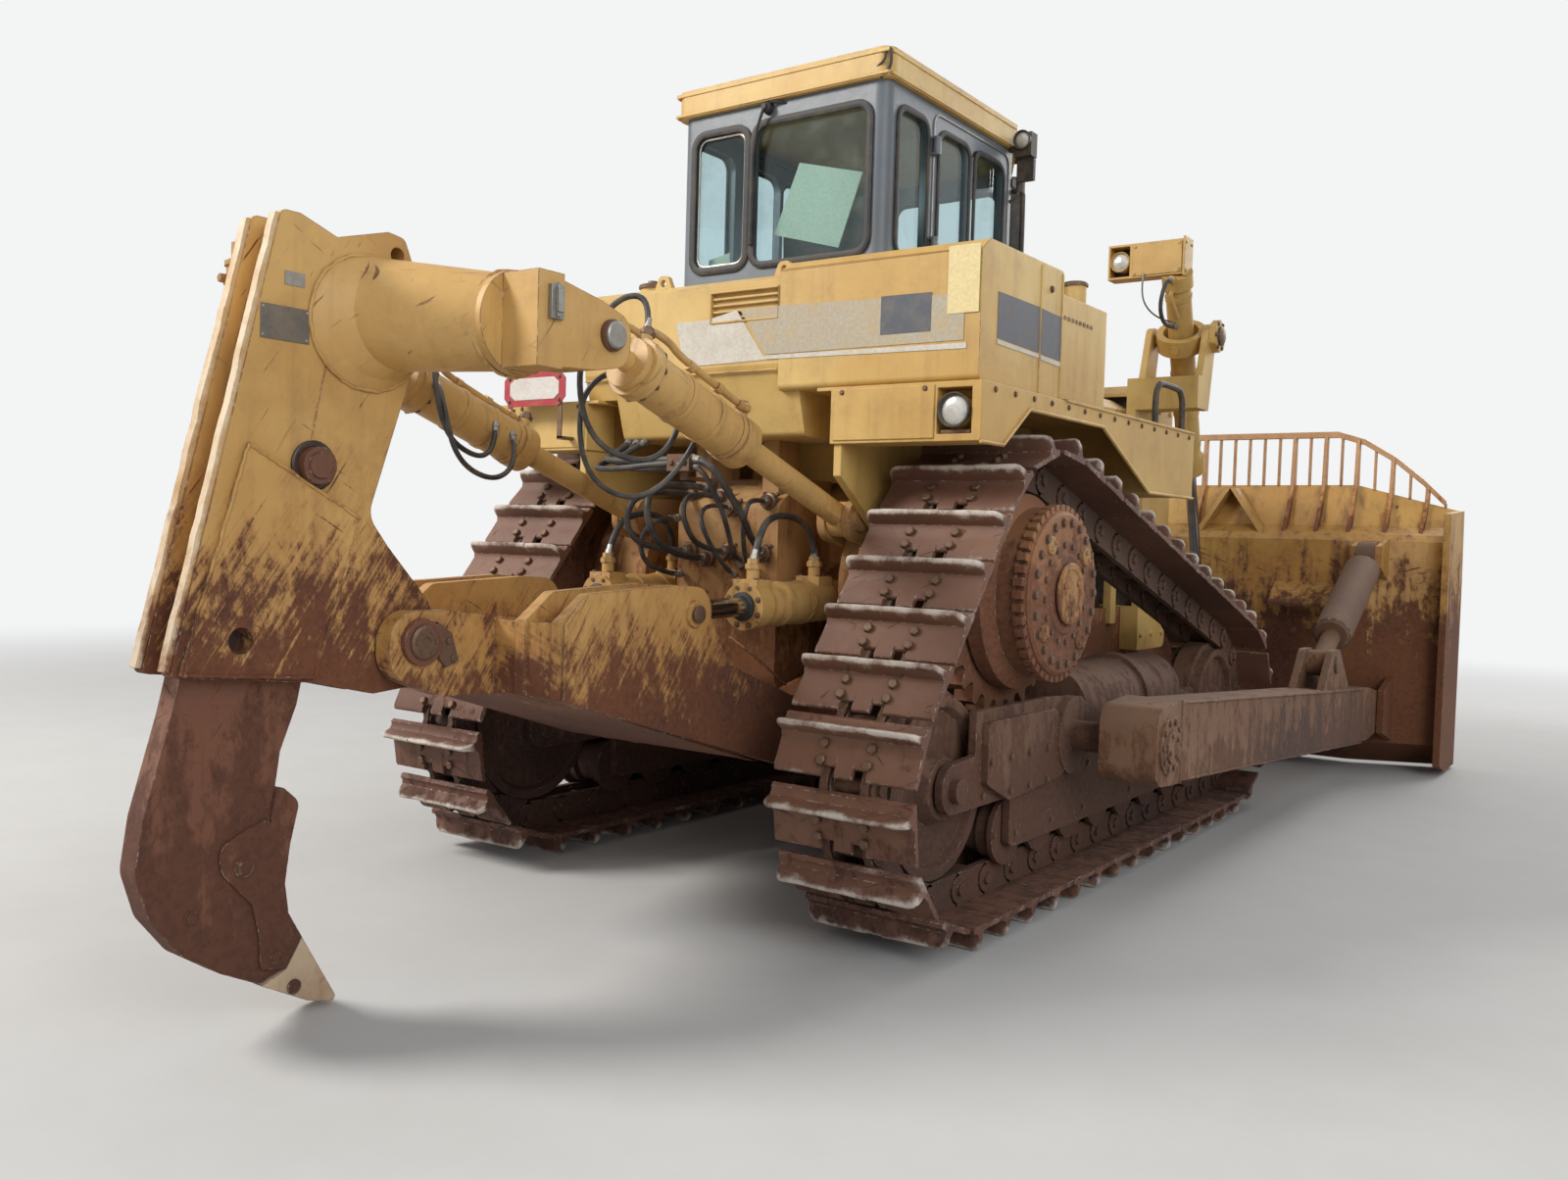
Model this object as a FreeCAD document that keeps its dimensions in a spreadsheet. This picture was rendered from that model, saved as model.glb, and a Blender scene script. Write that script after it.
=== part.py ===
import FreeCAD
import Part
import math
import os
import re

# Crawler dozer with a rear ripper, in millimetres.
# X points to the machine's right, Y forward, Z up. The tracks stand on Z = 0.
# Y values below are counted from the machine's datum, and every finished piece
# is moved back by originY, so that the origin is under the middle of the whole machine.

doc = FreeCAD.newDocument("dozer")
sheet = doc.addObject("Spreadsheet::Sheet", "sizes")

# name, value, what it is
table = [
    ("originY", 0.0, "datum to the middle of the whole length, measured below"),
    ("seatGap", 0.3, "gap between pieces that rest on each other"),
    ("pinGap", 2.0, "gap beside an eye or plate at a pin"),
    ("runGap", 8.0, "gap beside pieces that move past each other"),
    # tracks
    ("gauge", 2250.0, "centre to centre of the tracks"),
    ("shoeWidth", 610.0, "length of a shoe across the track"),
    ("shoeCount", 43.0, "shoes of one track"),
    ("shoePlate", 20.0, "thickness of a shoe plate"),
    ("grouserHeight", 84.0, "grouser above the shoe plate"),
    ("grouserFoot", 46.0, "grouser thickness at its foot"),
    ("grouserTip", 22.0, "grouser thickness at its tip"),
    ("linkOut", 70.0, "pin centre to shoe plate"),
    ("linkIn", 65.0, "pin centre to the rail that the rollers run on"),
    ("railOffset", 88.0, "track centre to the middle of a link rail"),
    ("railWidth", 52.0, "width of a link rail"),
    ("idlerPinRadius", 441.0, "radius of the pins' path round an idler"),
    ("sprocketPinRadius", 516.0, "radius of the pins' path round the sprocket"),
    ("rearIdlerY", -800.0, "rear idler centre"),
    ("idlerSpan", 3474.0, "between the idler centres"),
    ("sprocketY", -120.0, "sprocket centre"),
    ("sprocketZ", 1370.0, "sprocket centre height"),
    ("toothCount", 27.0, "teeth of the sprocket"),
    ("sprocketWidth", 90.0, "width of the sprocket rim"),
    ("hubRadius", 345.0, "outer cover of the final drive"),
    ("hubFace", 1440.0, "outer face of the final drive"),
    ("hubBlocks", 44.0, "blocks round the final drive's rim"),
    ("rollerRadius", 118.0, "tread of a track roller"),
    ("rollerCount", 8.0, "rollers of one track"),
    ("axleRadius", 48.0, "axles of idlers and rollers"),
    # track frame
    ("frameHalf", 150.0, "half width of the track frame box"),
    ("framePlate", 34.0, "side plates of the track frame"),
    ("recoilRadius", 205.0, "recoil spring housing"),
    ("trunnionX", 1654.0, "centre of the push arm trunnion ball"),
    ("trunnionY", 250.0, "push arm trunnion"),
    ("trunnionZ", 725.0, "push arm trunnion height"),
    ("trunnionRadius", 95.0, "trunnion ball"),
    # hull
    ("caseHalf", 560.0, "half width of the rear case"),
    ("caseRear", -600.0, "rear face of the case at the middle"),
    ("caseCentre", 288.0, "half width of the case between the ripper cylinders"),
    ("caseWide", -190.0, "rear face of the full-width case"),
    ("caseFront", 560.0, "front of the rear case"),
    ("caseLow", 640.0, "underside of the case"),
    ("caseHigh", 1840.0, "top of the case"),
    ("finalCaseRadius", 400.0, "final drive housing beside the case"),
    ("finalReach", 188.0, "final drive housing beyond the case"),
    ("railHalf", 470.0, "outer face of the main frame rails"),
    ("railThick", 110.0, "thickness of a main frame rail"),
    ("railLow", 760.0, "underside of the main frame rails"),
    ("railHigh", 1180.0, "top of the main frame rails"),
    ("railFront", 3420.0, "front of the main frame rails"),
    ("engineWidth", 700.0, "engine"),
    ("engineLength", 1560.0, "engine"),
    ("engineHigh", 1080.0, "engine"),
    ("engineRear", 1420.0, "rear of the engine"),
    ("hoodHalf", 500.0, "half width of the hood"),
    ("hoodRear", 1338.0, "rear edge of the hood"),
    ("hoodLow", 1600.0, "lower edge of the hood sides"),
    ("hoodHigh", 2560.0, "top of the hood"),
    ("hoodThick", 16.0, "hood panels"),
    ("guardRear", 3060.0, "rear of the radiator guard"),
    ("guardFront", 3580.0, "front of the radiator guard"),
    ("guardHalf", 590.0, "half width of the radiator guard"),
    ("guardLow", 900.0, "underside of the radiator guard"),
    ("guardHigh", 2660.0, "top of the radiator guard"),
    ("guardWall", 45.0, "walls of the radiator guard"),
    ("stackRadius", 78.0, "exhaust stack"),
    ("stackHigh", 3700.0, "top of the exhaust stack"),
    # fenders, tanks
    ("fenderIn", 620.0, "inner edge of a fender"),
    ("fenderOut", 1374.0, "outer edge of a fender"),
    ("fenderRear", -812.0, "rear edge of a fender"),
    ("fenderFront", 1660.0, "front edge of a fender"),
    ("fenderTop", 2190.0, "top of a fender"),
    ("fenderPlate", 14.0, "fender plates"),
    ("lampBoxLow", 1960.0, "underside of the lamp box"),
    ("lampBoxDepth", 190.0, "front to rear of the lamp box"),
    ("endBoxLow", 1850.0, "underside of the fender's front box"),
    ("endBoxRear", 1000.0, "rear face of the fender's front box"),
    ("tankRear", -800.0, "rear face of the fuel tank"),
    ("tankFront", -330.0, "front face of the fuel tank"),
    ("tankLow", 2005.0, "underside of the fuel tank"),
    ("tankHigh", 2690.0, "top of the fuel tank"),
    ("tankLeft", -720.0, "left side of the fuel tank"),
    ("tankRight", 495.0, "right side of the fuel tank's lower part"),
    ("sideTankIn", 410.0, "inner end of the raised right tank"),
    ("sideTankOut", 1352.0, "outer face of the raised right tank"),
    ("sideTankFront", -45.0, "front face of the raised right tank"),
    ("sideTankHigh", 2735.0, "top of the raised right tank"),
    ("oilTankRear", -30.0, "rear of the hydraulic oil tank"),
    ("oilTankFront", 640.0, "front of the hydraulic oil tank"),
    ("oilTankIn", 860.0, "inner side of the hydraulic oil tank"),
    ("oilTankOut", 1300.0, "outer side of the hydraulic oil tank"),
    ("oilTankHigh", 2665.0, "top of the hydraulic oil tank"),
    # cab
    ("cabHalf", 590.0, "half width of the cab"),
    ("cabRear", -290.0, "rear face of the cab"),
    ("cabFront", 1330.0, "front face of the cab"),
    ("cabCorner", 960.0, "where the slanted front corners begin"),
    ("cabNose", 400.0, "half width of the cab's front"),
    ("cabLow", 2215.0, "underside of the cab"),
    ("cabTall", 1405.0, "height of the cab walls"),
    ("cabWall", 42.0, "cab walls and doors"),
    ("cabFloor", 60.0, "cab floor"),
    ("roofThick", 130.0, "height of the roof"),
    ("roofOver", 26.0, "roof beyond the walls"),
    ("sillRise", 645.0, "lower edge of the windows above the cab's underside"),
    ("headDrop", 90.0, "upper edge of the windows below the top of the walls"),
    ("glassThick", 8.0, "window panes"),
    ("doorRear", 130.0, "rear edge of a door"),
    ("doorFront", 930.0, "front edge of a door"),
    ("leftDoorRise", 85.0, "lower edge of the left door above the cab's underside"),
    ("rightDoorRise", 585.0, "lower edge of the right door, above the tanks"),
    ("doorDrop", 35.0, "upper edge of the doors below the top of the walls"),
    ("seatRise", 330.0, "seat's base above the floor"),
    ("hingeReach", 22.0, "door hinge pin outside the cab wall"),
    ("hingePin", 9.0, "door hinge pins"),
    ("hingeKnuckle", 18.0, "door hinge knuckles"),
    ("hingeHigh", 60.0, "height of a door hinge knuckle"),
    # blade and its arms
    ("bladeHalf", 2155.0, "half width of the blade"),
    ("bladeEdgeY", 5240.0, "cutting edge at the middle"),
    ("bladeLow", 26.0, "cutting edge above the ground"),
    ("bladeHigh", 2100.0, "top of the blade at the middle"),
    ("bladeSkin", 38.0, "mouldboard plate"),
    ("bladeSag", 280.0, "depth of the mouldboard's curve"),
    ("wingHigh", 1915.0, "top of the blade at its ends"),
    ("uprightHigh", 310.0, "upright plate above the blade's box"),
    ("wingStart", 1480.0, "where the wings begin"),
    ("wingReach", 290.0, "how far the wing tips stand forward"),
    ("endPlate", 46.0, "end plates of the blade"),
    ("bladeBack", 4800.0, "rear of the blade's box"),
    ("armIn", 1532.0, "inner face of a push arm"),
    ("armOut", 1776.0, "outer face of a push arm"),
    ("armHeight", 345.0, "height of a push arm"),
    ("armFrontZ", 470.0, "push arm centre height at the blade"),
    ("braceRadius", 118.0, "tilt cylinder beside the blade"),
    ("braceEye", 110.0, "upper eye of the tilt cylinder"),
    ("braceTopZ", 1560.0, "tilt cylinder's upper pin"),
    ("braceLowY", 3420.0, "tilt cylinder's lower pin"),
    ("braceLowZ", 880.0, "height of the tilt cylinder's lower pin"),
    ("liftSway", 40.0, "side room of a blade lift eye"),
    ("rackHigh", 2480.0, "top of the rock rack"),
    ("rackBars", 37.0, "bars of the rock rack"),
    # blade lift cylinders
    ("liftTopX", 840.0, "blade lift trunnion, across"),
    ("liftTopY", 2960.0, "blade lift trunnion"),
    ("liftTopZ", 2920.0, "blade lift trunnion height"),
    ("liftEndX", 560.0, "blade lift eye, across"),
    ("liftEyeBack", 330.0, "blade lift eye behind the blade's box"),
    ("liftEndZ", 985.0, "blade lift eye height"),
    ("liftBarrel", 78.0, "blade lift barrel radius"),
    ("liftRod", 38.0, "blade lift rod radius"),
    ("liftAbove", 430.0, "barrel above its trunnion"),
    ("lampBoxLong", 485.0, "box of the front lamps on a blade lift barrel"),
    ("lampBoxDeep", 120.0, "front to rear of that box"),
    ("lampBoxTall", 215.0, "height of that box"),
    ("lampRadius", 58.0, "lamps"),
    ("liftBelow", 1020.0, "barrel below its trunnion"),
    ("liftRodLength", 1975.0, "blade lift rod, eye to piston"),
    # ripper
    ("beamPinY", -750.0, "beam hinge at the tractor"),
    ("beamPinZ", 750.0, "beam hinge height"),
    ("beamEndY", -2450.0, "beam pin at the carrier"),
    ("beamEndZ", 1190.0, "beam pin height"),
    ("beamPin", 52.0, "beam pins"),
    ("earPinY", -1450.0, "ripper lift pin on the beam"),
    ("earPinZ", 1272.0, "ripper lift pin height"),
    ("lowPinY", -300.0, "ripper lift pin at the tractor"),
    ("lowPinZ", 1300.0, "ripper lift pin height at the tractor"),
    ("ripLiftX", 412.0, "ripper lift cylinders, across"),
    ("ripBarrel", 92.0, "ripper cylinder barrels"),
    ("ripRod", 40.0, "ripper lift rods"),
    ("hornPinY", -2100.0, "tilt cylinder pin on the carrier"),
    ("hornPinZ", 2212.0, "tilt cylinder pin height"),
    ("topPinY", -558.0, "tilt cylinder pin at the tractor"),
    ("topPinZ", 1658.0, "tilt cylinder pin height at the tractor"),
    ("hornX", 600.0, "tilt cylinders, across"),
    ("tiltRod", 50.0, "tilt cylinder rods"),
    ("carrierGap", 100.0, "slot for the shank"),
    ("carrierPlate", 52.0, "carrier side plates"),
    ("shankThick", 86.0, "shank"),
    ("cylinderPin", 36.0, "pins of the cylinders"),
    ("eyeHalf", 60.0, "half width of a ripper lift cylinder's eye"),
    ("tiltEyeHalf", 40.0, "half width of a tilt cylinder's eye"),
    ("liftEyeHalf", 44.0, "half width of a blade lift rod's eye"),
    ("pinHead", 14.0, "pin heads and retaining plates"),
    ("ripBarrelReach", 700.0, "ripper lift barrel, pin to gland"),
    ("ripRodLength", 720.0, "ripper lift rod, pin to piston"),
    ("tiltBarrelStart", 175.0, "tilt cylinder, pin to barrel"),
    ("tiltBarrelEnd", 860.0, "tilt cylinder, pin to gland"),
    ("tiltRodLength", 1300.0, "tilt cylinder rod, pin to piston"),
    ("forkIn", 112.0, "inner face of the beam's rear fork"),
    ("forkThick", 72.0, "plates of the beam's rear fork"),
    ("shankFoot", 12.0, "ripper tip above the ground"),
]


class Sizes:
    pass


z = Sizes()
for number, (alias, value, note) in enumerate(table, start=1):
    sheet.set(f"A{number}", alias)
    sheet.set(f"B{number}", str(value))
    sheet.set(f"C{number}", note)
    sheet.setAlias(f"B{number}", alias)
    setattr(z, alias, value)
doc.recompute()

aliasPattern = re.compile(r"\b(" + "|".join(row[0] for row in table) + r")\b")
counter = {}
nodes = []


def fresh(name):
    counter[name] = counter.get(name, 0) + 1
    return f"{name}_{counter[name]}"


def bind(obj, prop, value):
    """A text value is a formula of named sizes, a number is set as it is."""
    if isinstance(value, str):
        obj.setExpression(prop, aliasPattern.sub(r"sizes.\1", value))
    elif "." in prop:
        base = obj.Placement
        setattr(base.Base, prop[-1], value)
        obj.Placement = base
    else:
        setattr(obj, prop, value)


def box(name, low, size):
    obj = doc.addObject("Part::Box", fresh(name))
    for prop, value in zip(("Length", "Width", "Height"), size):
        bind(obj, prop, value)
    for prop, value in zip(("x", "y", "z"), low):
        bind(obj, "Placement.Base." + prop, value)
    return obj


turns = {
    "x": FreeCAD.Rotation(FreeCAD.Vector(0, 1, 0), 90),
    "y": FreeCAD.Rotation(FreeCAD.Vector(1, 0, 0), -90),
    "z": FreeCAD.Rotation(),
}


def drum(name, axis, start, radius, length, tip=None):
    """A cylinder, or a cone where a tip radius is given, along one axis."""
    kind = "Part::Cylinder" if tip is None else "Part::Cone"
    obj = doc.addObject(kind, fresh(name))
    obj.Placement = FreeCAD.Placement(FreeCAD.Vector(), turns[axis])
    if tip is None:
        bind(obj, "Radius", radius)
    else:
        bind(obj, "Radius1", radius)
        bind(obj, "Radius2", tip)
    bind(obj, "Height", length)
    for prop, value in zip(("x", "y", "z"), start):
        bind(obj, "Placement.Base." + prop, value)
    return obj


def strut(name, start, end, radius, tip=None):
    """A round bar between two points."""
    a, b = FreeCAD.Vector(*start), FreeCAD.Vector(*end)
    kind = "Part::Cylinder" if tip is None else "Part::Cone"
    obj = doc.addObject(kind, fresh(name))
    if tip is None:
        bind(obj, "Radius", radius)
    else:
        bind(obj, "Radius1", radius)
        bind(obj, "Radius2", tip)
    obj.Height = (b - a).Length
    obj.Placement = FreeCAD.Placement(a, FreeCAD.Rotation(FreeCAD.Vector(0, 0, 1), b - a))
    return obj


def rounded(points):
    """Edges of a closed outline. A third number at a corner is its radius."""
    corners = []
    count = len(points)
    for k in range(count):
        here = FreeCAD.Vector(points[k][0], points[k][1], 0)
        before = FreeCAD.Vector(points[k - 1][0], points[k - 1][1], 0)
        after = FreeCAD.Vector(points[(k + 1) % count][0], points[(k + 1) % count][1], 0)
        radius = points[k][2] if len(points[k]) > 2 else 0
        if not radius:
            corners.append((here, here, here))
            continue
        u, w = (before - here).normalize(), (after - here).normalize()
        half = math.acos(max(-1, min(1, u.dot(w)))) / 2
        reach = radius / math.tan(half)
        middle = (u + w).normalize() * (radius / math.sin(half))
        corners.append((here + u * reach, here + middle - (u + w).normalize() * radius, here + w * reach))
    edges = []
    for k in range(count):
        a, b, c = corners[k]
        if (c - a).Length > 1e-6:
            edges.append(Part.Arc(a, b, c))
        nextStart = corners[(k + 1) % count][0]
        if (nextStart - c).Length > 1e-6:
            edges.append(Part.LineSegment(c, nextStart))
    return edges


frames = {
    "side": (FreeCAD.Rotation(FreeCAD.Vector(0, 1, 0), FreeCAD.Vector(0, 0, 1),
                              FreeCAD.Vector(1, 0, 0), "ZXY"), FreeCAD.Vector(1, 0, 0), "x"),
    "front": (FreeCAD.Rotation(FreeCAD.Vector(1, 0, 0), FreeCAD.Vector(0, 0, 1),
                               FreeCAD.Vector(0, -1, 0), "ZXY"), FreeCAD.Vector(0, 1, 0), "y"),
    "plan": (FreeCAD.Rotation(), FreeCAD.Vector(0, 0, 1), "z"),
}


def slab(name, view, at, thick, points, holes=()):
    """A flat piece: a sketched outline seen from the side, front or above, given a thickness."""
    turn, direction, letter = frames[view]
    sketch = doc.addObject("Sketcher::SketchObject", fresh(name + "Sketch"))
    sketch.addGeometry(rounded(points), False)
    for u, w, radius in holes:
        sketch.addGeometry(Part.Circle(FreeCAD.Vector(u, w, 0), FreeCAD.Vector(0, 0, 1), radius), False)
    sketch.Placement = FreeCAD.Placement(FreeCAD.Vector(), turn)
    bind(sketch, "Placement.Base." + letter, at)
    obj = doc.addObject("Part::Extrusion", fresh(name))
    obj.Base = sketch
    obj.DirMode = "Custom"
    obj.Dir = direction
    obj.Solid = True
    bind(obj, "LengthFwd", thick)
    return obj


def fuse(name, *pieces):
    obj = doc.addObject("Part::MultiFuse", fresh(name))
    obj.Shapes = list(pieces)
    return obj


def cut(name, base, *tools):
    tool = tools[0] if len(tools) == 1 else fuse(name + "Tools", *tools)
    obj = doc.addObject("Part::Cut", fresh(name))
    obj.Base = base
    obj.Tool = tool
    return obj


def mirror(name, source):
    obj = doc.addObject("Part::Mirroring", fresh(name))
    obj.Source = source
    obj.Normal = FreeCAD.Vector(1, 0, 0)
    return obj


def both(name, source):
    return fuse(name, source, mirror(name + "Left", source))


def made(name, shape):
    obj = doc.addObject("Part::Feature", fresh(name))
    obj.Shape = shape
    return obj


def node(label, obj, follows=False):
    """A finished piece. One that mirrors another piece moves with its source."""
    obj.Label = label
    nodes.append((label, obj, follows))
    return obj


def pair(label, source):
    """A right-hand piece and its mirror image, as two nodes."""
    node(label + "_right", source)
    node(label + "_left", mirror(label, source), follows=True)


V = FreeCAD.Vector
trackX = z.gauge / 2
z.cabHigh = z.cabLow + z.cabTall
z.sillHigh = z.cabLow + z.sillRise
z.headHigh = z.cabHigh - z.headDrop
z.leftDoorLow = z.cabLow + z.leftDoorRise
z.rightDoorLow = z.cabLow + z.rightDoorRise
z.doorHigh = z.cabHigh - z.doorDrop
z.liftEndY = z.bladeBack - z.liftEyeBack
idlerZ = z.idlerPinRadius + z.linkOut + z.shoePlate + z.grouserHeight
frontIdlerY = z.rearIdlerY + z.idlerSpan


# Tracks: the pins' path is a belt round the two idlers and the sprocket
def beltPath():
    """Points of the pins' path, evenly spaced, and the outward direction at each."""
    wheels = [  # centre Y, centre Z, radius, taken in the order that the belt meets them
        (frontIdlerY, idlerZ, z.idlerPinRadius),
        (z.sprocketY, z.sprocketZ, z.sprocketPinRadius),
        (z.rearIdlerY, idlerZ, z.idlerPinRadius),
    ]
    tangents = []
    for k in range(3):
        y0, z0, r0 = wheels[k]
        y1, z1, r1 = wheels[(k + 1) % 3]
        gap = math.hypot(y1 - y0, z1 - z0)
        heading = math.atan2(z1 - z0, y1 - y0)
        lean = math.asin((r0 - r1) / gap)
        outward = heading - math.pi / 2 + lean
        start = (y0 + r0 * math.cos(outward), z0 + r0 * math.sin(outward))
        end = (y1 + r1 * math.cos(outward), z1 + r1 * math.sin(outward))
        tangents.append((start, end, outward))
    pieces = []
    for k in range(3):
        y1, z1, r1 = wheels[(k + 1) % 3]
        start, end, outward = tangents[k]
        following = tangents[(k + 1) % 3][2]
        turn = (following - outward) % (2 * math.pi)
        pieces.append(("run", start, end, outward))
        pieces.append(("arc", (y1, z1, r1), outward, turn))
    lengths = [math.dist(p[1], p[2]) if p[0] == "run" else p[1][2] * p[3] for p in pieces]
    total = sum(lengths)
    count = int(z.shoeCount)
    points = []
    for k in range(count):
        along = total * k / count
        for piece, length in zip(pieces, lengths):
            if along <= length:
                break
            along -= length
        if piece[0] == "run":
            share = along / length
            y = piece[1][0] + (piece[2][0] - piece[1][0]) * share
            height = piece[1][1] + (piece[2][1] - piece[1][1]) * share
        else:
            cy, cz, radius = piece[1]
            angle = piece[2] + along / radius
            y, height = cy + radius * math.cos(angle), cz + radius * math.sin(angle)
        points.append((y, height))
    return points, total


pins, beltLength = beltPath()
print(f"track: {beltLength:.0f} mm of belt, pitch {beltLength / z.shoeCount:.1f} mm")


def ring(outer, inner, low, width):
    """A closed band between two outlines, given a width along X."""
    wires = []
    for outline in (outer, inner):
        corners = [V(low, y, height) for y, height in outline]
        wires.append(Part.makePolygon(corners + corners[:1]))
    face = Part.Face(wires[0]).cut(Part.Face(wires[1]))
    return face.extrude(V(width, 0, 0))


def offsetLoop(points, distance):
    """The pins' polygon moved outward, corner by corner."""
    moved = []
    count = len(points)
    for k in range(count):
        (ya, za), (yb, zb), (yc, zc) = points[k - 1], points[k], points[(k + 1) % count]
        first = math.atan2(zb - za, yb - ya) - math.pi / 2
        second = math.atan2(zc - zb, yc - yb) - math.pi / 2
        bend = (second - first + math.pi) % (2 * math.pi) - math.pi
        middle = first + bend / 2
        reach = distance / math.cos(bend / 2)
        moved.append((yb + reach * math.cos(middle), zb + reach * math.sin(middle)))
    return moved


def shoeOutline(points):
    """Outer edge of the shoes, with one grouser at the leading end of each."""
    outline = []
    count = len(points)
    for k in range(count):
        (ya, za), (yb, zb) = points[k], points[(k + 1) % count]
        pitch = math.hypot(yb - ya, zb - za)
        ty, tz = (yb - ya) / pitch, (zb - za) / pitch
        ny, nz = tz, -ty
        top = z.linkOut + z.shoePlate
        tip = top + z.grouserHeight
        lean = (z.grouserFoot - z.grouserTip) / 2
        foot = pitch * 0.16
        profile = [(0.02 * pitch, top), (foot, top), (foot + lean, tip),
                   (foot + lean + z.grouserTip, tip), (foot + z.grouserFoot, top), (0.98 * pitch, top)]
        outline += [(ya + ty * u + ny * w, za + tz * u + nz * w) for u, w in profile]
    return outline


def trackShape():
    left = trackX - z.shoeWidth / 2
    shoes = ring(shoeOutline(pins), offsetLoop(pins, z.linkOut), left, z.shoeWidth)
    rails = []
    for side in (-1, 1):
        low = trackX + side * z.railOffset - z.railWidth / 2
        rails.append(ring(offsetLoop(pins, z.linkOut), offsetLoop(pins, -z.linkIn), low, z.railWidth))
    return shoes.fuse(rails)


pair("track", made("track", trackShape()))


# Wheels inside the track
def turned(name, centre, profile):
    """A body turned about an axis along X. The profile lists (distance along X, radius)."""
    y, height = centre
    corners = [V(x, y, height + radius) for x, radius in profile]
    closed = [V(profile[0][0], y, height)] + corners + [V(profile[-1][0], y, height)]
    face = Part.Face(Part.makePolygon(closed + closed[:1]))
    return face.revolve(V(0, y, height), V(1, 0, 0), 360)


railInside = z.railOffset - z.railWidth / 2
railOutside = z.railOffset + z.railWidth / 2
frameOut = z.frameHalf + z.framePlate
halfLink = beltLength / z.shoeCount / 2 / z.idlerPinRadius
idlerTread = z.idlerPinRadius * math.cos(halfLink) - z.linkIn - z.seatGap


def idlerShape(centreY):
    rim = idlerTread + 34
    half = railOutside
    axle = frameOut + z.framePlate
    profile = [(-axle, z.axleRadius), (-half - 22, z.axleRadius), (-half - 22, 120), (-half + 30, 150),
               (-half + 30, idlerTread - 60), (-half, idlerTread - 40), (-half, idlerTread),
               (-railInside + 5, idlerTread), (-railInside + 5, rim)]
    profile = profile + [(-x, r) for x, r in reversed(profile)]
    return turned("idler", (centreY, idlerZ), [(trackX + x, r) for x, r in profile])


rollerZ = idlerZ - z.idlerPinRadius + z.linkIn + z.seatGap + z.rollerRadius
rollerRear = z.rearIdlerY + 560
rollerStep = (frontIdlerY - 560 - rollerRear) / (z.rollerCount - 1)


def rollerShape(centreY):
    tread, flange = z.rollerRadius, z.rollerRadius + 24
    half = railOutside
    profile = [(-frameOut, z.axleRadius), (-half - 30, z.axleRadius), (-half - 30, flange),
               (-half - 6, flange),
               (-half - 6, tread), (-railInside + 6, tread), (-railInside + 6, tread - 20)]
    profile = profile + [(-x, r) for x, r in reversed(profile)]
    return turned("roller", (centreY, rollerZ), [(trackX + x, r) for x, r in profile])


wheels = [rollerShape(rollerRear + k * rollerStep) for k in range(int(z.rollerCount))]
wheels += [idlerShape(z.rearIdlerY), idlerShape(frontIdlerY)]
pair("track_wheels", made("trackWheels", Part.makeCompound(wheels)))


# Sprocket: teeth that reach between the chain's bushings
def sprocketShape():
    count = int(z.toothCount)
    root, tip = z.sprocketPinRadius - 40, z.sprocketPinRadius + 22
    corners = []
    for k in range(count):
        for share, radius in ((-0.36, root), (-0.12, tip), (0.12, tip), (0.36, root)):
            angle = 2 * math.pi * (k + share) / count
            corners.append(V(trackX - z.sprocketWidth / 2, z.sprocketY + radius * math.cos(angle),
                             z.sprocketZ + radius * math.sin(angle)))
    rim = Part.Face(Part.makePolygon(corners + corners[:1])).extrude(V(z.sprocketWidth, 0, 0))
    blocks = []
    count = int(z.hubBlocks)
    for k in range(count):
        for share, radius in ((-0.34, z.hubRadius + 4), (-0.3, z.hubRadius + 30), (0.3, z.hubRadius + 30),
                              (0.34, z.hubRadius + 4)):
            angle = 2 * math.pi * (k + share) / count
            blocks.append(V(z.hubFace - 66, z.sprocketY + radius * math.cos(angle),
                            z.sprocketZ + radius * math.sin(angle)))
    cog = Part.Face(Part.makePolygon(blocks + blocks[:1])).extrude(V(44, 0, 0))
    hub = turned("hub", (z.sprocketY, z.sprocketZ), [
        (z.caseHalf + z.finalReach + z.seatGap, z.finalCaseRadius - 30),
        (trackX - 200, z.finalCaseRadius - 30),
        (trackX - 200, 300), (trackX + 60, 300), (trackX + 60, 420), (trackX + 130, 420),
        (trackX + 170, 360), (z.hubFace - 60, 360), (z.hubFace - 60, z.hubRadius),
        (z.hubFace - 12, z.hubRadius), (z.hubFace, z.hubRadius - 14), (z.hubFace, 175),
        (z.hubFace + 10, 165), (z.hubFace + 10, 90), (z.hubFace + 22, 80)])
    return rim.fuse([hub, cog])


pair("final_drive", made("finalDrive", sprocketShape()))


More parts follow.
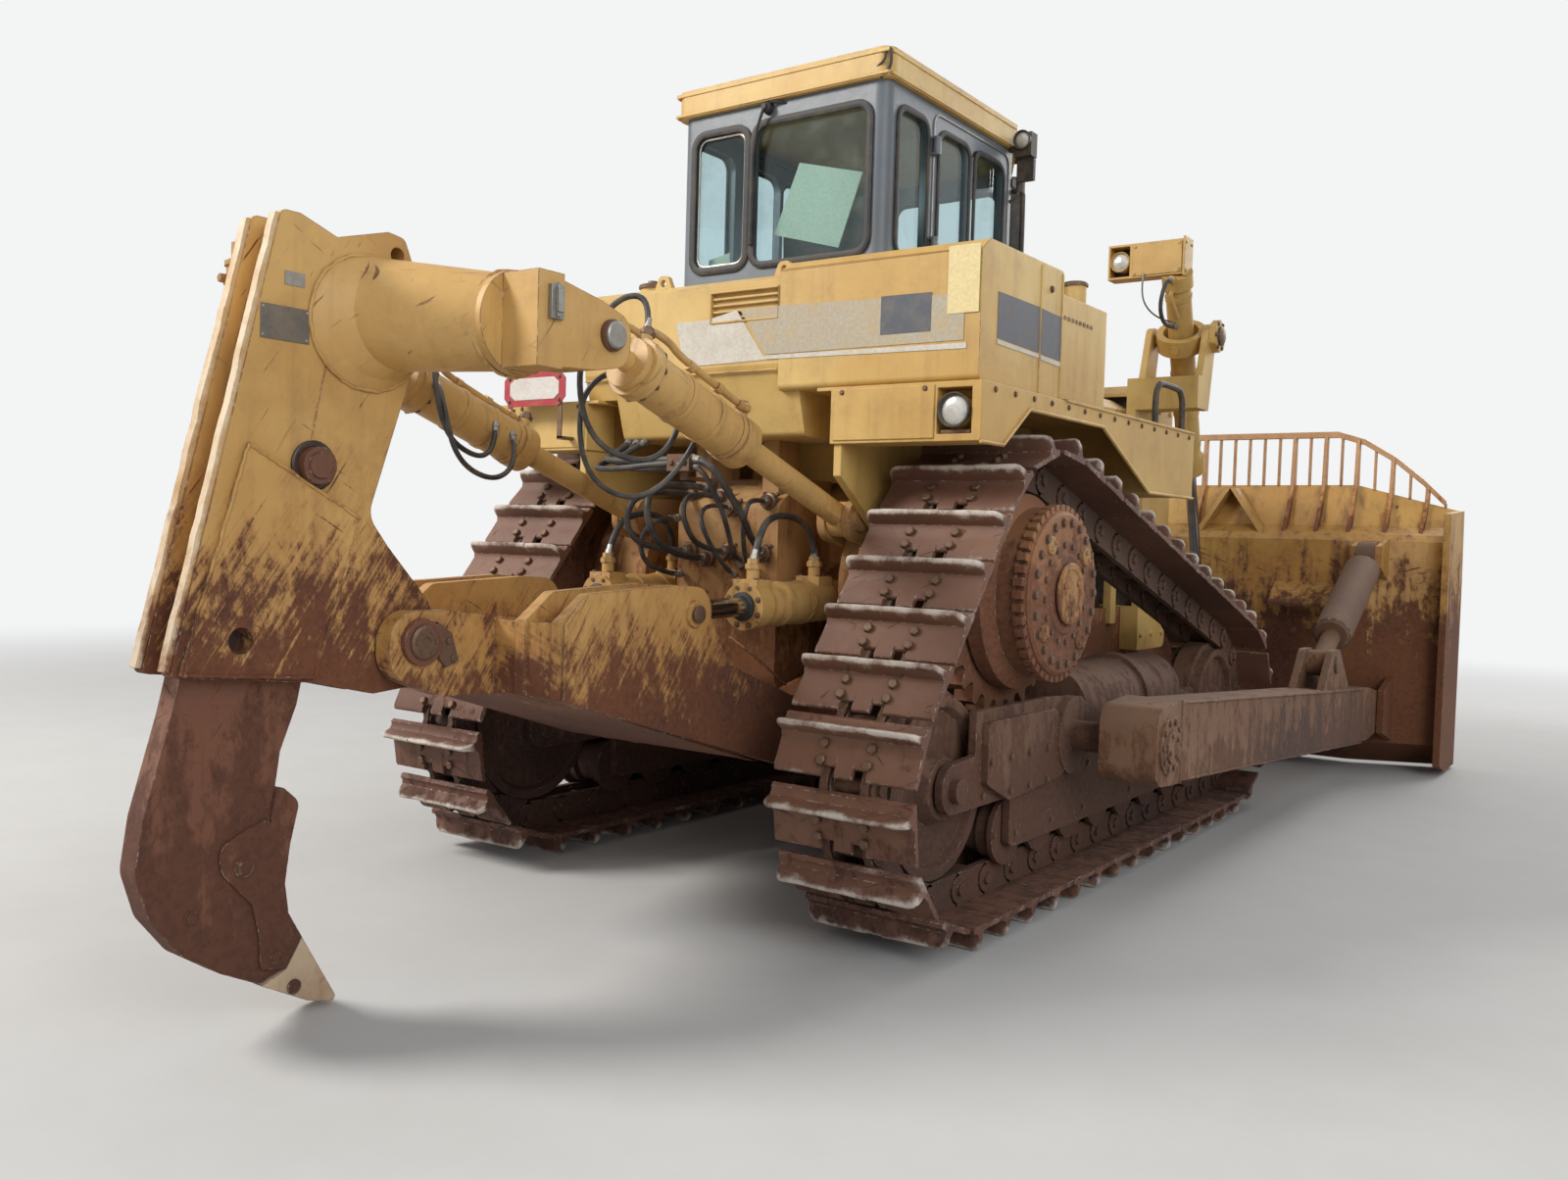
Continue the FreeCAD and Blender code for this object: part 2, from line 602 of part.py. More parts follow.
# Track frame: two deep side plates with the axles' holes, a core, the recoil housing and the ball
def trackFrame():
    rear, front = z.rearIdlerY, frontIdlerY
    outline = [(rear - 95, idlerZ - 95, 90), (rear - 95, idlerZ + 95, 90), (rear + 170, 728),
               (rear + 170, 905),
               (rear + 900, 905, 40), (rear + 1230, 880), (rear + 2600, 800), (front - 640, 760),
               (front + 95, idlerZ + 95, 90), (front + 95, idlerZ - 95, 90), (front - 500, 520),
               (front - 500, 300, 40), (rollerRear - 60, 300, 40), (rollerRear - 60, 520)]
    holes = [(centre, idlerZ, z.axleRadius + z.seatGap) for centre in (rear, front)]
    holes += [(rollerRear + k * rollerStep, rollerZ, z.axleRadius + z.seatGap)
              for k in range(int(z.rollerCount))]
    plates = [slab("framePlate", "side", at, "framePlate", outline, holes)
              for at in ("gauge / 2 + frameHalf", "gauge / 2 - frameHalf - framePlate")]
    core = slab("frameCore", "side", "gauge / 2 - frameHalf - 3", "2 * frameHalf + 6",
                [(rear + 560, 560), (rear + 560, 810), (front - 560, 790), (front - 560, 560)])
    recoil = drum("recoil", "y", ("gauge / 2", rear + 1240, 800), "recoilRadius", 1290)
    collar = drum("recoilCollar", "y", ("gauge / 2", rear + 1980, 800), "recoilRadius + 22", 90)
    outer = "gauge / 2 + frameHalf + framePlate - 3"
    plug = drum("framePlug", "x", (outer, rear + 520, 690), 82, 15)
    step = slab("frameStep", "side", outer, 38, [
        (rear + 215, 610, 30), (rear + 215, 860, 30), (rear + 880, 860, 60), (rear + 1010, 560, 60),
        (rear + 420, 520, 60)])
    boss = drum("trunnionBoss", "x", (outer, "trunnionY", "trunnionZ"), 175, 49)
    stub = drum("trunnionStub", "x", (outer, "trunnionY", "trunnionZ"), 68,
                "trunnionX - gauge / 2 - frameHalf - framePlate + 3")
    ball = doc.addObject("Part::Sphere", fresh("trunnionBall"))
    bind(ball, "Radius", "trunnionRadius")
    for letter, value in (("x", "trunnionX"), ("y", "trunnionY"), ("z", "trunnionZ")):
        bind(ball, "Placement.Base." + letter, value)
    return fuse("trackFrameBody", fuse("trackFrameBox", *plates, core), fuse("recoilParts", recoil, collar),
                fuse("trunnionParts", boss, stub, ball), fuse("frameTrim", plug, step))


pair("track_frame", trackFrame())


# Hull: rear case, main frame rails, cross members, belly guard and the ripper's lugs
ripIn = z.ripLiftX - z.eyeHalf - z.pinGap
ripOut = z.ripLiftX + z.eyeHalf + z.pinGap


def lug(at, thick, pinY, pinZ, radius, rootLow, rootHigh, sink=0):
    """A plate that reaches back from the case to a pin, round at the pin."""
    root = z.caseWide - z.seatGap + sink
    return slab("lug", "side", at, thick, [
        (pinY - radius, pinZ - radius, radius * 0.97), (pinY - radius, pinZ + radius, radius * 0.97),
        (root, rootHigh), (root, rootLow)])


def rearCase():
    """The case between the ripper cylinders, with the posts that carry the tank."""
    front = z.caseWide - z.seatGap
    block = slab("centreCase", "side", "-caseCentre", "2 * caseCentre", [
        (z.caseRear, 940, 60), (z.caseRear, z.caseHigh - 120, 60), (z.caseRear + 200, z.caseHigh),
        (front, z.caseHigh), (front, z.caseLow), (z.caseRear + 200, z.caseLow, 60)])
    posts = [box("tankPost", (x, "caseRear + 60", "caseHigh - 140"),
                 (90, 160, "tankLow - seatGap - caseHigh + 140")) for x in (150, -240)]
    return fuse("rearCaseBody", block, *posts)


node("rear_case", rearCase())


def hull():
    case = slab("rearCase", "side", "-caseHalf", "2 * caseHalf", [
        (z.caseWide, z.caseLow), (z.caseWide, z.caseHigh - 60, 60), (z.caseWide + 120, z.caseHigh),
        (z.caseFront, z.caseHigh - 120, 40), (z.caseFront, z.caseLow)])
    finals = drum("finalCase", "x", ("-caseHalf - finalReach", "sprocketY", "sprocketZ"), "finalCaseRadius",
                  "2 * (caseHalf + finalReach)")
    middle = box("finalRoom", ("-caseHalf - 1", "caseRear - 500", "caseLow"),
                 ("2 * caseHalf + 2", "caseWide - caseRear + 500", "caseHigh - caseLow"))
    rails = []
    for low in ("railHalf - railThick", "-railHalf"):
        rails.append(box("mainRail", (low, "caseFront - 20", "railLow"),
                         ("railThick", "railFront - caseFront + 20", "railHigh - railLow")))
    belly = slab("belly", "side", "-railHalf", "2 * railHalf", [
        (z.caseFront - 20, z.caseLow), (z.caseFront - 20, z.railLow + 5), (z.railFront, z.railLow + 5),
        (z.railFront, z.railLow - 60), (z.railFront - 260, z.caseLow)])
    inside = z.gauge / 2 - z.frameHalf - z.framePlate - z.seatGap
    pivot = drum("pivotShaft", "x", (-inside, "caseFront - 230", 790), 88, 2 * inside)
    equalizer = slab("equalizer", "front", "railFront - 1080", 190, [
        (-inside, 560, 40), (-inside, 690, 40), (-250, 770), (250, 770),
        (inside, 690, 40), (inside, 560, 40), (250, 600), (-250, 600)])
    converter = drum("converter", "y", (0, "caseFront - 20", "railHigh + 90"), 250,
                     "engineRear - seatGap - caseFront + 20")
    posts = [box("cabPost", (x, y, low), (110, 110, high)) for x in (300, -410) for y, low, high in (
        ("caseWide + 60", "caseHigh - 40", "cabLow - seatGap - caseHigh + 40"),
        (950, "railHigh - 20", "cabLow - seatGap - railHigh + 20"))]
    lugs = []
    for side in (1, -1):
        for low, high in ((z.hornX + 42, z.hornX + 82), (z.hornX - 82, z.hornX - 42)):
            at = low if side > 0 else -high
            lugs.append(lug(at, high - low, z.topPinY, z.topPinZ, 80, 1480, 1750, 10))
        for low, high in ((z.hornX - 82 - z.pinHead, z.hornX - 82),
                          (z.hornX + 82, z.hornX + 82 + z.pinHead)):
            at = low if side > 0 else -high
            lugs.append(drum("lugPin", "x", (at, "topPinY", "topPinZ"), "cylinderPin + 16", high - low))
    outside = cut("finalEnds", finals, middle)
    return fuse("hullBody", case, outside, *rails, belly, converter, pivot, equalizer, *posts, *lugs)


node("main_frame", hull())


def ripperBrackets():
    """On the case's rear face: a heavy lug for the beam's pin and a pair for the lift cylinder's."""
    beamLug = fuse("beamLug",
                   lug(ripIn + z.pinGap, ripOut - ripIn - 2 * z.pinGap, z.beamPinY, z.beamPinZ, 110,
                       z.caseLow + 10, 1030),
                   drum("beamLugPin", "x", (ripIn - 62, "beamPinY", "beamPinZ"), "beamPin",
                        ripOut - ripIn + 124))
    lowLugs = fuse("liftLugs",
                   lug(ripIn - 50, 50, z.lowPinY, z.lowPinZ, 90, 1180, 1460),
                   lug(ripOut, 34, z.lowPinY, z.lowPinZ, 90, 1180, 1460),
                   drum("liftLugPin", "x", (ripIn - 50, "lowPinY", "lowPinZ"), "cylinderPin",
                        ripOut - ripIn + 84))
    return both("ripperBrackets", fuse("ripperBracketParts", beamLug, lowLugs))


node("ripper_brackets", ripperBrackets())


def engine():
    block = slab("engine", "front", "engineRear", "engineLength", [
        (-z.engineWidth / 2, z.railHigh), (-z.engineWidth / 2 + 60, z.railHigh + z.engineHigh, 60),
        (z.engineWidth / 2 - 60, z.railHigh + z.engineHigh, 60), (z.engineWidth / 2, z.railHigh),
        (240, z.railHigh - 40), (220, z.railLow + 60, 40), (-220, z.railLow + 60, 40),
        (-240, z.railHigh - 40)])
    feet = [box("engineFoot", (x, y, "railHigh + seatGap"), (110, 150, 46))
            for x in ("engineWidth / 2 - 30", "-engineWidth / 2 - 80")
            for y in ("engineRear + 240", "engineRear + engineLength - 420")]
    return fuse("engineBody", block, *feet)


node("engine_block", engine())


# Hood and radiator guard
def hood():
    shell = slab("hoodShell", "front", "hoodRear", "guardRear - hoodRear", [
        (-z.hoodHalf, z.hoodLow), (-z.hoodHalf, z.hoodHigh - 90, 60), (-z.hoodHalf + 150, z.hoodHigh, 80),
        (z.hoodHalf - 150, z.hoodHigh, 80), (z.hoodHalf, z.hoodHigh - 90, 60), (z.hoodHalf, z.hoodLow)])
    t = z.hoodThick
    hollow = slab("hoodHollow", "front", "hoodRear + hoodThick", "guardRear - hoodRear", [
        (-z.hoodHalf + t, z.hoodLow - 10), (-z.hoodHalf + t, z.hoodHigh - 90 - t, 50),
        (-z.hoodHalf + 150, z.hoodHigh - t, 70), (z.hoodHalf - 150, z.hoodHigh - t, 70),
        (z.hoodHalf - t, z.hoodHigh - 90 - t, 50), (z.hoodHalf - t, z.hoodLow - 10)])
    feet = [box("hoodFoot", (x, y, "railHigh + seatGap"), (50, 90, "hoodLow - railHigh + 30"))
            for x in ("hoodHalf - 50", "-hoodHalf") for y in ("hoodRear + 60", "guardRear - 260")]
    brackets = [box("hoodBracket", (x, y, "railHigh - 100"), (30, 90, 140))
                for x in ("railHalf + seatGap", "-railHalf - seatGap - 30")
                for y in ("hoodRear + 60", "guardRear - 260")]
    return fuse("hoodBody", cut("hoodOpen", shell, hollow), *feet, *brackets)


node("engine_hood", hood())


def radiatorGuard():
    outer = slab("guardShell", "side", "-guardHalf", "2 * guardHalf", [
        (z.guardRear, z.guardLow), (z.guardRear, z.guardHigh - 60, 40), (z.guardRear + 90, z.guardHigh),
        (z.guardFront - 60, z.guardHigh, 50), (z.guardFront, z.guardHigh - 100, 60),
        (z.guardFront, z.guardLow, 50)])
    inner = box("guardHollow", ("-guardHalf + guardWall", "guardRear - 10", "railHigh + 10"),
                ("2 * (guardHalf - guardWall)", "guardFront - guardRear + 20", "guardHigh - railHigh - 90"))
    slots = box("guardSlot", ("-railHalf - seatGap", "guardRear - 10", "guardLow - 10"),
                ("2 * (railHalf + seatGap)", "railFront - guardRear + 10 + seatGap",
                 "railHigh - guardLow + 10 + seatGap"))
    return cut("guardBody", outer, inner, slots)


node("radiator_guard", radiatorGuard())


def grille():
    bars = []
    count = 13
    step = (2 * (z.guardHalf - z.guardWall)) / (count + 1)
    for k in range(1, count + 1):
        bars.append(box("grilleBar", (f"-guardHalf + guardWall + {k * step - 9:.3f}", "guardFront - 60",
                                      "railHigh + 10"),
                        (18, 36, "guardHigh - railHigh - 90")))
    core = box("radiator", ("-guardHalf + guardWall", "guardRear + 60", "railHigh + 10"),
               ("2 * (guardHalf - guardWall)", 150, "guardHigh - railHigh - 90"))
    rows = [box("grilleRow", ("-guardHalf + guardWall", "guardFront - 50", h),
                ("2 * (guardHalf - guardWall)", 14, 22)) for h in (1500, 1900, 2300)]
    return fuse("grilleBody", core, *bars, *rows)


node("grille", grille())


def stacks():
    exhaust = drum("exhaust", "z", (230, 1700, "hoodHigh + seatGap"), "stackRadius",
                   "stackHigh - hoodHigh - seatGap")
    bore = drum("exhaustBore", "z", (230, 1700, "stackHigh - 400"), "stackRadius - 8", 420)
    muffler = drum("muffler", "z", (230, 1700, "hoodHigh + seatGap"), 150, 520)
    cleanerPipe = drum("cleanerPipe", "z", (-230, 2350, "hoodHigh + seatGap"), 95, 260)
    cleaner = drum("cleaner", "z", (-230, 2350, "hoodHigh + 240"), 190, 230)
    cap = drum("cleanerCap", "z", (-230, 2350, "hoodHigh + 470"), 190, 60, 120)
    return cut("stackBody", fuse("stackParts", exhaust, muffler, cleanerPipe, cleaner, cap), bore)


node("exhaust_and_intake", stacks())


# Fuel tank across the rear, with its raised right end
def fuelTank():
    main = slab("tankMain", "side", "tankLeft", "tankRight - tankLeft", [
        (z.tankRear + 90, z.tankLow, 30), (z.tankRear, z.tankLow + 300), (z.tankRear, z.tankHigh - 30),
        (z.tankRear + 60, z.tankHigh, 20), (z.tankFront, z.tankHigh, 20), (z.tankFront, z.tankLow, 20)])
    side = slab("tankSide", "side", "sideTankIn", "sideTankOut - sideTankIn", [
        (z.tankRear - 2, z.fenderTop + z.seatGap, 25), (z.tankRear - 2, z.sideTankHigh - 50),
        (z.tankRear + 60, z.sideTankHigh, 25), (z.sideTankFront, z.sideTankHigh, 25),
        (z.sideTankFront, z.fenderTop + z.seatGap, 25)])
    cabRoom = box("tankCabRoom", (-700, "cabRear - runGap", "fenderTop - 20"),
                  ("700 + cabHalf + runGap", 900, 900))
    fenderRoom = box("tankFenderRoom", ("tankLeft - 10", "tankRear - 10", "tankLow - 10"),
                     ("-tankLeft + 10 - hornX + tiltRod + runGap", "tankFront - tankRear + 20",
                      "fenderTop + seatGap - tankLow + 10"))
    cap = drum("fuelCap", "z", (-560, -520, "tankHigh - 10"), 58, 70)
    eyes = [slab("tankEye", "front", "tankRear + 60", 24, [
        (x - 60, z.tankHigh - 20), (x - 26, z.tankHigh + 58, 24), (x + 26, z.tankHigh + 58, 24),
        (x + 60, z.tankHigh - 20)],
        [(x, z.tankHigh + 24, 16)]) for x in (-298, 380)]
    louvre = box("louvre", (40, "tankRear - 10", 2500), (360, 26, 125))
    slats = [box("slat", (40, "tankRear + 2", 2512 + 28 * k), (360, 12, 10)) for k in range(4)]
    return fuse("tankBody", cut("tankCut", fuse("tankParts", main, side, cap, *eyes), cabRoom, fenderRoom,
                                louvre), *slats)


node("fuel_tank", fuelTank())


def oilTank():
    body = slab("oilTank", "plan", "fenderTop + seatGap", "oilTankHigh - fenderTop - seatGap", [
        (z.oilTankIn, z.oilTankRear, 40), (z.oilTankOut, z.oilTankRear, 60),
        (z.oilTankOut, z.oilTankFront, 90), (z.oilTankIn, z.oilTankFront, 40)])
    neck = drum("oilNeck", "z", (1180, "oilTankFront - 170", "oilTankHigh - 5"), 52, 120)
    dome = drum("oilDome", "z", (1080, "oilTankRear + 170", "oilTankHigh - 5"), 150, 60, 90)
    return fuse("oilTankBody", body, neck, dome)


node("oil_tank", oilTank())


# Fenders: deck, skirt, rear lamp box, front box, support bracket
def fender():
    deck = box("deck", ("fenderIn", "fenderRear", "fenderTop - fenderPlate"),
               ("fenderOut - fenderIn", "fenderFront - fenderRear", "fenderPlate"))
    skirt = slab("skirt", "side", "fenderOut - fenderPlate", "fenderPlate", [
        (z.fenderRear, z.lampBoxLow), (z.fenderRear, z.fenderTop), (z.fenderFront, z.fenderTop),
        (z.fenderFront, z.endBoxLow), (z.endBoxRear, z.endBoxLow), (z.endBoxRear - 620, z.fenderTop - 70),
        (z.fenderRear + 420, z.fenderTop - 70), (z.fenderRear + 190, z.lampBoxLow)])
    lampBox = box("lampBox", ("fenderIn + 70", "fenderRear", "lampBoxLow"),
                  ("fenderOut - fenderIn - 70", "lampBoxDepth", "fenderTop - lampBoxLow"))
    niche = box("lampNiche", ("fenderOut - 190", "fenderRear - 10", "lampBoxLow + 28"),
                (150, "120", "fenderTop - lampBoxLow - 52"))
    frontBox = box("frontBox", ("fenderIn + 120", "endBoxRear", "endBoxLow"),
                   ("fenderOut - fenderIn - 120", "fenderFront - endBoxRear", "fenderTop - endBoxLow"))
    web = slab("fenderWeb", "side", "fenderIn + 84", 36, [
        (z.fenderRear + 12, z.lampBoxLow - 130), (z.fenderRear + 12, z.fenderTop - 5),
        (z.fenderFront, z.fenderTop - 5), (z.fenderFront - 30, z.fenderTop - 150), (320, 1640),
        (-430, 1560)])
    finalRound = drum("finalRound", "x", ("fenderIn", "sprocketY", "sprocketZ"),
                      "finalCaseRadius + seatGap", 300)
    inner = cut("fenderWebCut", web, finalRound)
    lamp = drum("lamp", "y", ("fenderOut - 115", "fenderRear + 20", "lampBoxLow + 118"), 62, 100)
    return fuse("fenderBody", deck, skirt, cut("lampBoxCut", lampBox, niche), frontBox, inner, lamp)


pair("fender", fender())


# Cab: hollow, with slanted front corners, window openings and two doors
def cabPlan(inset, nose=0):
    half = z.cabHalf - inset
    front = z.cabFront - inset
    return [(-half, z.cabRear + inset, 60), (half, z.cabRear + inset, 60), (half, z.cabCorner, 20),
            (z.cabNose, front, 20), (-z.cabNose, front, 20), (-half, z.cabCorner, 20)]


def window(name, view, at, depth, left, right, low, high, inset=0):
    """A window's outline with rounded corners, for its hole or, set in a little, its pane."""
    radius = 70 - inset
    left, right, low, high = left + inset, right - inset, low + inset, high - inset
    return slab(name, view, at, depth, [
        (left, low, radius), (left, high, radius), (right, high, radius), (right, low, radius)])


rearWindows = ((-510, -175), (-145, 510))
noseWindow = (-330, 330)
sideWindow = (z.cabRear + 95, z.doorRear - 45)


def cornerWindow(name, side, length, depth, low, high):
    """A box set square to one of the slanted front corners."""
    middle = V(side * (z.cabHalf + z.cabNose) / 2, (z.cabCorner + z.cabFront) / 2, low)
    angle = math.degrees(math.atan2(z.cabFront - z.cabCorner, -side * (z.cabHalf - z.cabNose)))
    tool = box(name, (0, 0, 0), (length, depth, high - low))
    corner = FreeCAD.Placement(middle, FreeCAD.Rotation(V(0, 0, 1), angle))
    tool.Placement = corner.multiply(FreeCAD.Placement(V(-length / 2, -depth / 2, 0), FreeCAD.Rotation()))
    return tool


def cab():
    outer = slab("cabOuter", "plan", "cabLow", "cabTall", cabPlan(0))
    inner = slab("cabInner", "plan", "cabLow + cabFloor", "cabTall", cabPlan(z.cabWall))
    holes = [window("rearHole", "front", "cabRear - 10", "cabWall + 20", left, right, z.sillHigh, z.headHigh)
             for left, right in rearWindows]
    holes.append(window("noseHole", "front", "cabFront - cabWall - 30", "cabWall + 60", *noseWindow,
                        z.sillHigh - 150, z.headHigh))
    for at in ("cabHalf - cabWall - 10", "-cabHalf - 10"):
        holes.append(window("sideHole", "side", at, "cabWall + 20", *sideWindow, z.sillHigh, z.headHigh))
    for side, at, low in ((1, "cabHalf - cabWall - 10", z.rightDoorLow),
                          (-1, "-cabHalf - 10", z.leftDoorLow)):
        holes.append(slab("doorHole", "side", at, "cabWall + 20", doorOutline(low, 0)))
        holes.append(cornerWindow("cornerHole", side, 330, 120, z.sillHigh - 60, z.headHigh))
    hinges = [piece for side, low in ((1, z.rightDoorLow), (-1, z.leftDoorLow))
              for height in hingeHeights(low) for piece in cabHinge(side, height)]
    return fuse("cabWithHinges", cut("cabBody", outer, inner, *holes), *hinges)


def hingeHeights(low):
    return low + 130, z.doorHigh - 130 - z.hingeHigh


def cabHinge(side, height):
    """Two lugs on the rear jamb, above and below the door's knuckle, and the pin through it."""
    x = side * (z.cabHalf + z.hingeReach)
    pieces = []
    for at in (height - z.seatGap - 12, height + z.hingeHigh + z.seatGap):
        pieces.append(drum("hingeLug", "z", (x, "doorRear", at), "hingeKnuckle", 12))
        low = min(x, side * (z.cabHalf - 12))
        pieces.append(box("hingeArm", (low, "doorRear - 18", at), (z.hingeReach + 12, 17, 12)))
    pieces.append(drum("hingePin", "z", (x, "doorRear", height - 6), "hingePin", "hingeHigh + 12"))
    return pieces


def doorHinge(side, height):
    """The door's knuckle round the pin, with its strap on the door's face."""
    x = side * (z.cabHalf + z.hingeReach)
    face = side * (z.cabHalf - 4)
    strap = box("hingeStrap", (min(x, face), "doorRear + runGap / 2 + 1", height),
                (z.hingeReach + 4, 40, "hingeHigh"))
    knuckle = drum("hingeKnuckle", "z", (x, "doorRear", height), "hingeKnuckle", "hingeHigh")
    hole = drum("hingeHole", "z", (x, "doorRear", height - 5), "hingePin + seatGap", "hingeHigh + 10")
    return cut("doorHinge", fuse("hingeParts", strap, knuckle), hole)


def doorOutline(low, clearance):
    rear, front = z.doorRear + clearance, z.doorFront - clearance
    return [(rear, low + clearance, 45), (rear, z.doorHigh - clearance, 60),
            (front, z.doorHigh - clearance, 60), (front, low + clearance, 45)]


node("cab_body", cab())


def roof():
    plate = slab("roofPlate", "plan", "cabLow + cabTall + seatGap", "roofThick - seatGap",
                 cabPlan(-z.roofOver))
    rim = slab("roofStep", "plan", "cabLow + cabTall + roofThick - 40", 50, cabPlan(60))
    return cut("roofBody", plate, rim)


node("cab_roof", roof())


def glass():
    t, gap = "glassThick", z.seatGap
    panes = [window("pane", "front", "cabRear + 14", t, left, right, z.sillHigh, z.headHigh, gap)
             for left, right in rearWindows]
    panes.append(window("pane", "front", "cabFront - cabWall + 18", t, *noseWindow, z.sillHigh - 150,
                        z.headHigh, gap))
    for at in ("cabHalf - 22", "-cabHalf + 14"):
        panes.append(window("pane", "side", at, t, *sideWindow, z.sillHigh, z.headHigh, gap))
    for side in (1, -1):
        panes.append(cornerWindow("cornerPane", side, 330 - 2 * gap, z.glassThick,
                                  z.sillHigh - 60 + gap, z.headHigh - gap))
    return fuse("glassBody", *panes)


node("cab_glass", glass())


def seat():
    rest = z.cabLow + z.cabFloor + z.seatGap
    base = box("seatBase", (-150, 330, "cabLow + cabFloor + seatGap"), (300, 330, "seatRise"))
    high = rest + z.seatRise
    cushion = slab("cushion", "side", -260, 520, [
        (160, high - 5, 20), (160, high + 135, 40), (740, high + 155, 50), (740, high - 5, 40)])
    back = slab("seatBack", "side", -240, 480, [
        (120, high + 55, 40), (90, high + 635, 60), (190, high + 655, 60), (250, high + 55, 30)])
    console = box("console", (290, 300, "cabLow + cabFloor + seatGap"), (170, 520, "seatRise + 170"))
    dash = slab("dash", "side", -330, 660, [
        (1120, rest), (1120, high + 85, 30), (1230, high + 125, 20), (1230, rest)])
    return fuse("seatBody", fuse("seatParts", base, cushion, back), console, dash)


node("seat_and_console", seat())


def door(side, low):
    """Side +1 is the right door. Its two panes sit in its frame."""
    at = "cabHalf - cabWall + 1" if side > 0 else "-cabHalf + 1"
    panel = slab("doorPanel", "side", at, "cabWall - 2", doorOutline(low, z.runGap / 2))
    middle = z.doorRear + 0.46 * (z.doorFront - z.doorRear)
    holeAt = "cabHalf - cabWall - 10" if side > 0 else "-cabHalf - 10"
    paneAt = "cabHalf - 24" if side > 0 else "-cabHalf + 16"
    holes, panes = [], []
    for rear, front in ((z.doorRear + 55, middle - 14), (middle + 14, z.doorFront - 55)):
        span = (rear, front, z.sillHigh + 10, z.headHigh - 10)
        holes.append(window("doorWindow", "side", holeAt, "cabWall + 20", *span))
        panes.append(window("doorPane", "side", paneAt, "glassThick", *span, z.seatGap))
    handleAt = "cabHalf - 1.5" if side > 0 else "-cabHalf - 23"
    handleLow = z.sillHigh - 50 if side > 0 else z.sillHigh - 130
    handle = box("handle", (handleAt, "doorFront - 95", handleLow), (24.5, 30, 44 if side > 0 else 110))
    hinges = [doorHinge(side, height) for height in hingeHeights(low)]
    return fuse("doorBody", cut("doorCut", panel, *holes), handle, *hinges), fuse("doorPanes", *panes)


for side, label, low in ((1, "door_right", z.rightDoorLow), (-1, "door_left", z.leftDoorLow)):
    frame, panes = door(side, low)
    node(label, frame)
    node(label + "_glass", panes)


# Blade: curved mouldboard with wings, closed box behind it, end plates, rack
def bladeFront(x):
    """How far the wings bring the blade forward at a distance from the middle."""
    return max(0.0, abs(x) - z.wingStart) / (z.bladeHalf - z.wingStart) * z.wingReach


def bladeTop(x):
    """Height of the top edge, which falls along the wings."""
    share = max(0.0, abs(x) - z.wingStart) / (z.bladeHalf - z.wingStart)
    return z.bladeHigh - (z.bladeHigh - z.wingHigh) * share


ledge = z.bladeHigh - z.uprightHigh
uprightFoot = 210 + z.bladeSkin


def bladeSection(x):
    """Closed section of the blade at x: concave front, box behind it, upright plate above the box."""
    shift = bladeFront(x)
    low, high, edge = z.bladeLow, bladeTop(x), z.bladeEdgeY + shift
    back = z.bladeBack + shift
    start, end = V(x, edge - 20, low + 260), V(x, edge - 60, high)
    arc = Part.Arc(start, V(x, edge - 40 - z.bladeSag, (low + 260 + high) / 2), end).toShape()
    corners = [end, V(x, edge - 60 - z.bladeSkin - 12, high), V(x, edge - uprightFoot, ledge),
               V(x, back + 50, ledge - 60),
               V(x, back, ledge - 110), V(x, back, low + 190), V(x, edge - 40, low), V(x, edge, low), start]
    return Part.Wire([arc] + [Part.makeLine(p, q) for p, q in zip(corners, corners[1:])])


def bladeShape():
    places = [-z.bladeHalf, -z.wingStart, z.wingStart, z.bladeHalf]
    pieces = []
    for a, b in zip(places, places[1:]):
        pieces.append(Part.makeLoft([bladeSection(a), bladeSection(b)], True, True))
    body = pieces[0].fuse(pieces[1:])
    return body


armCentre = (z.armIn + z.armOut) / 2
braceTopY = z.bladeBack + bladeFront(armCentre - 62) - z.braceEye - z.pinGap


def outlineAt(x, half, rear, front, height):
    """A level rectangle, as a section of a loft."""
    corners = [V(x - half, rear, height), V(x + half, rear, height), V(x + half, front, height),
               V(x - half, front, height)]
    return Part.makePolygon(corners + corners[:1])


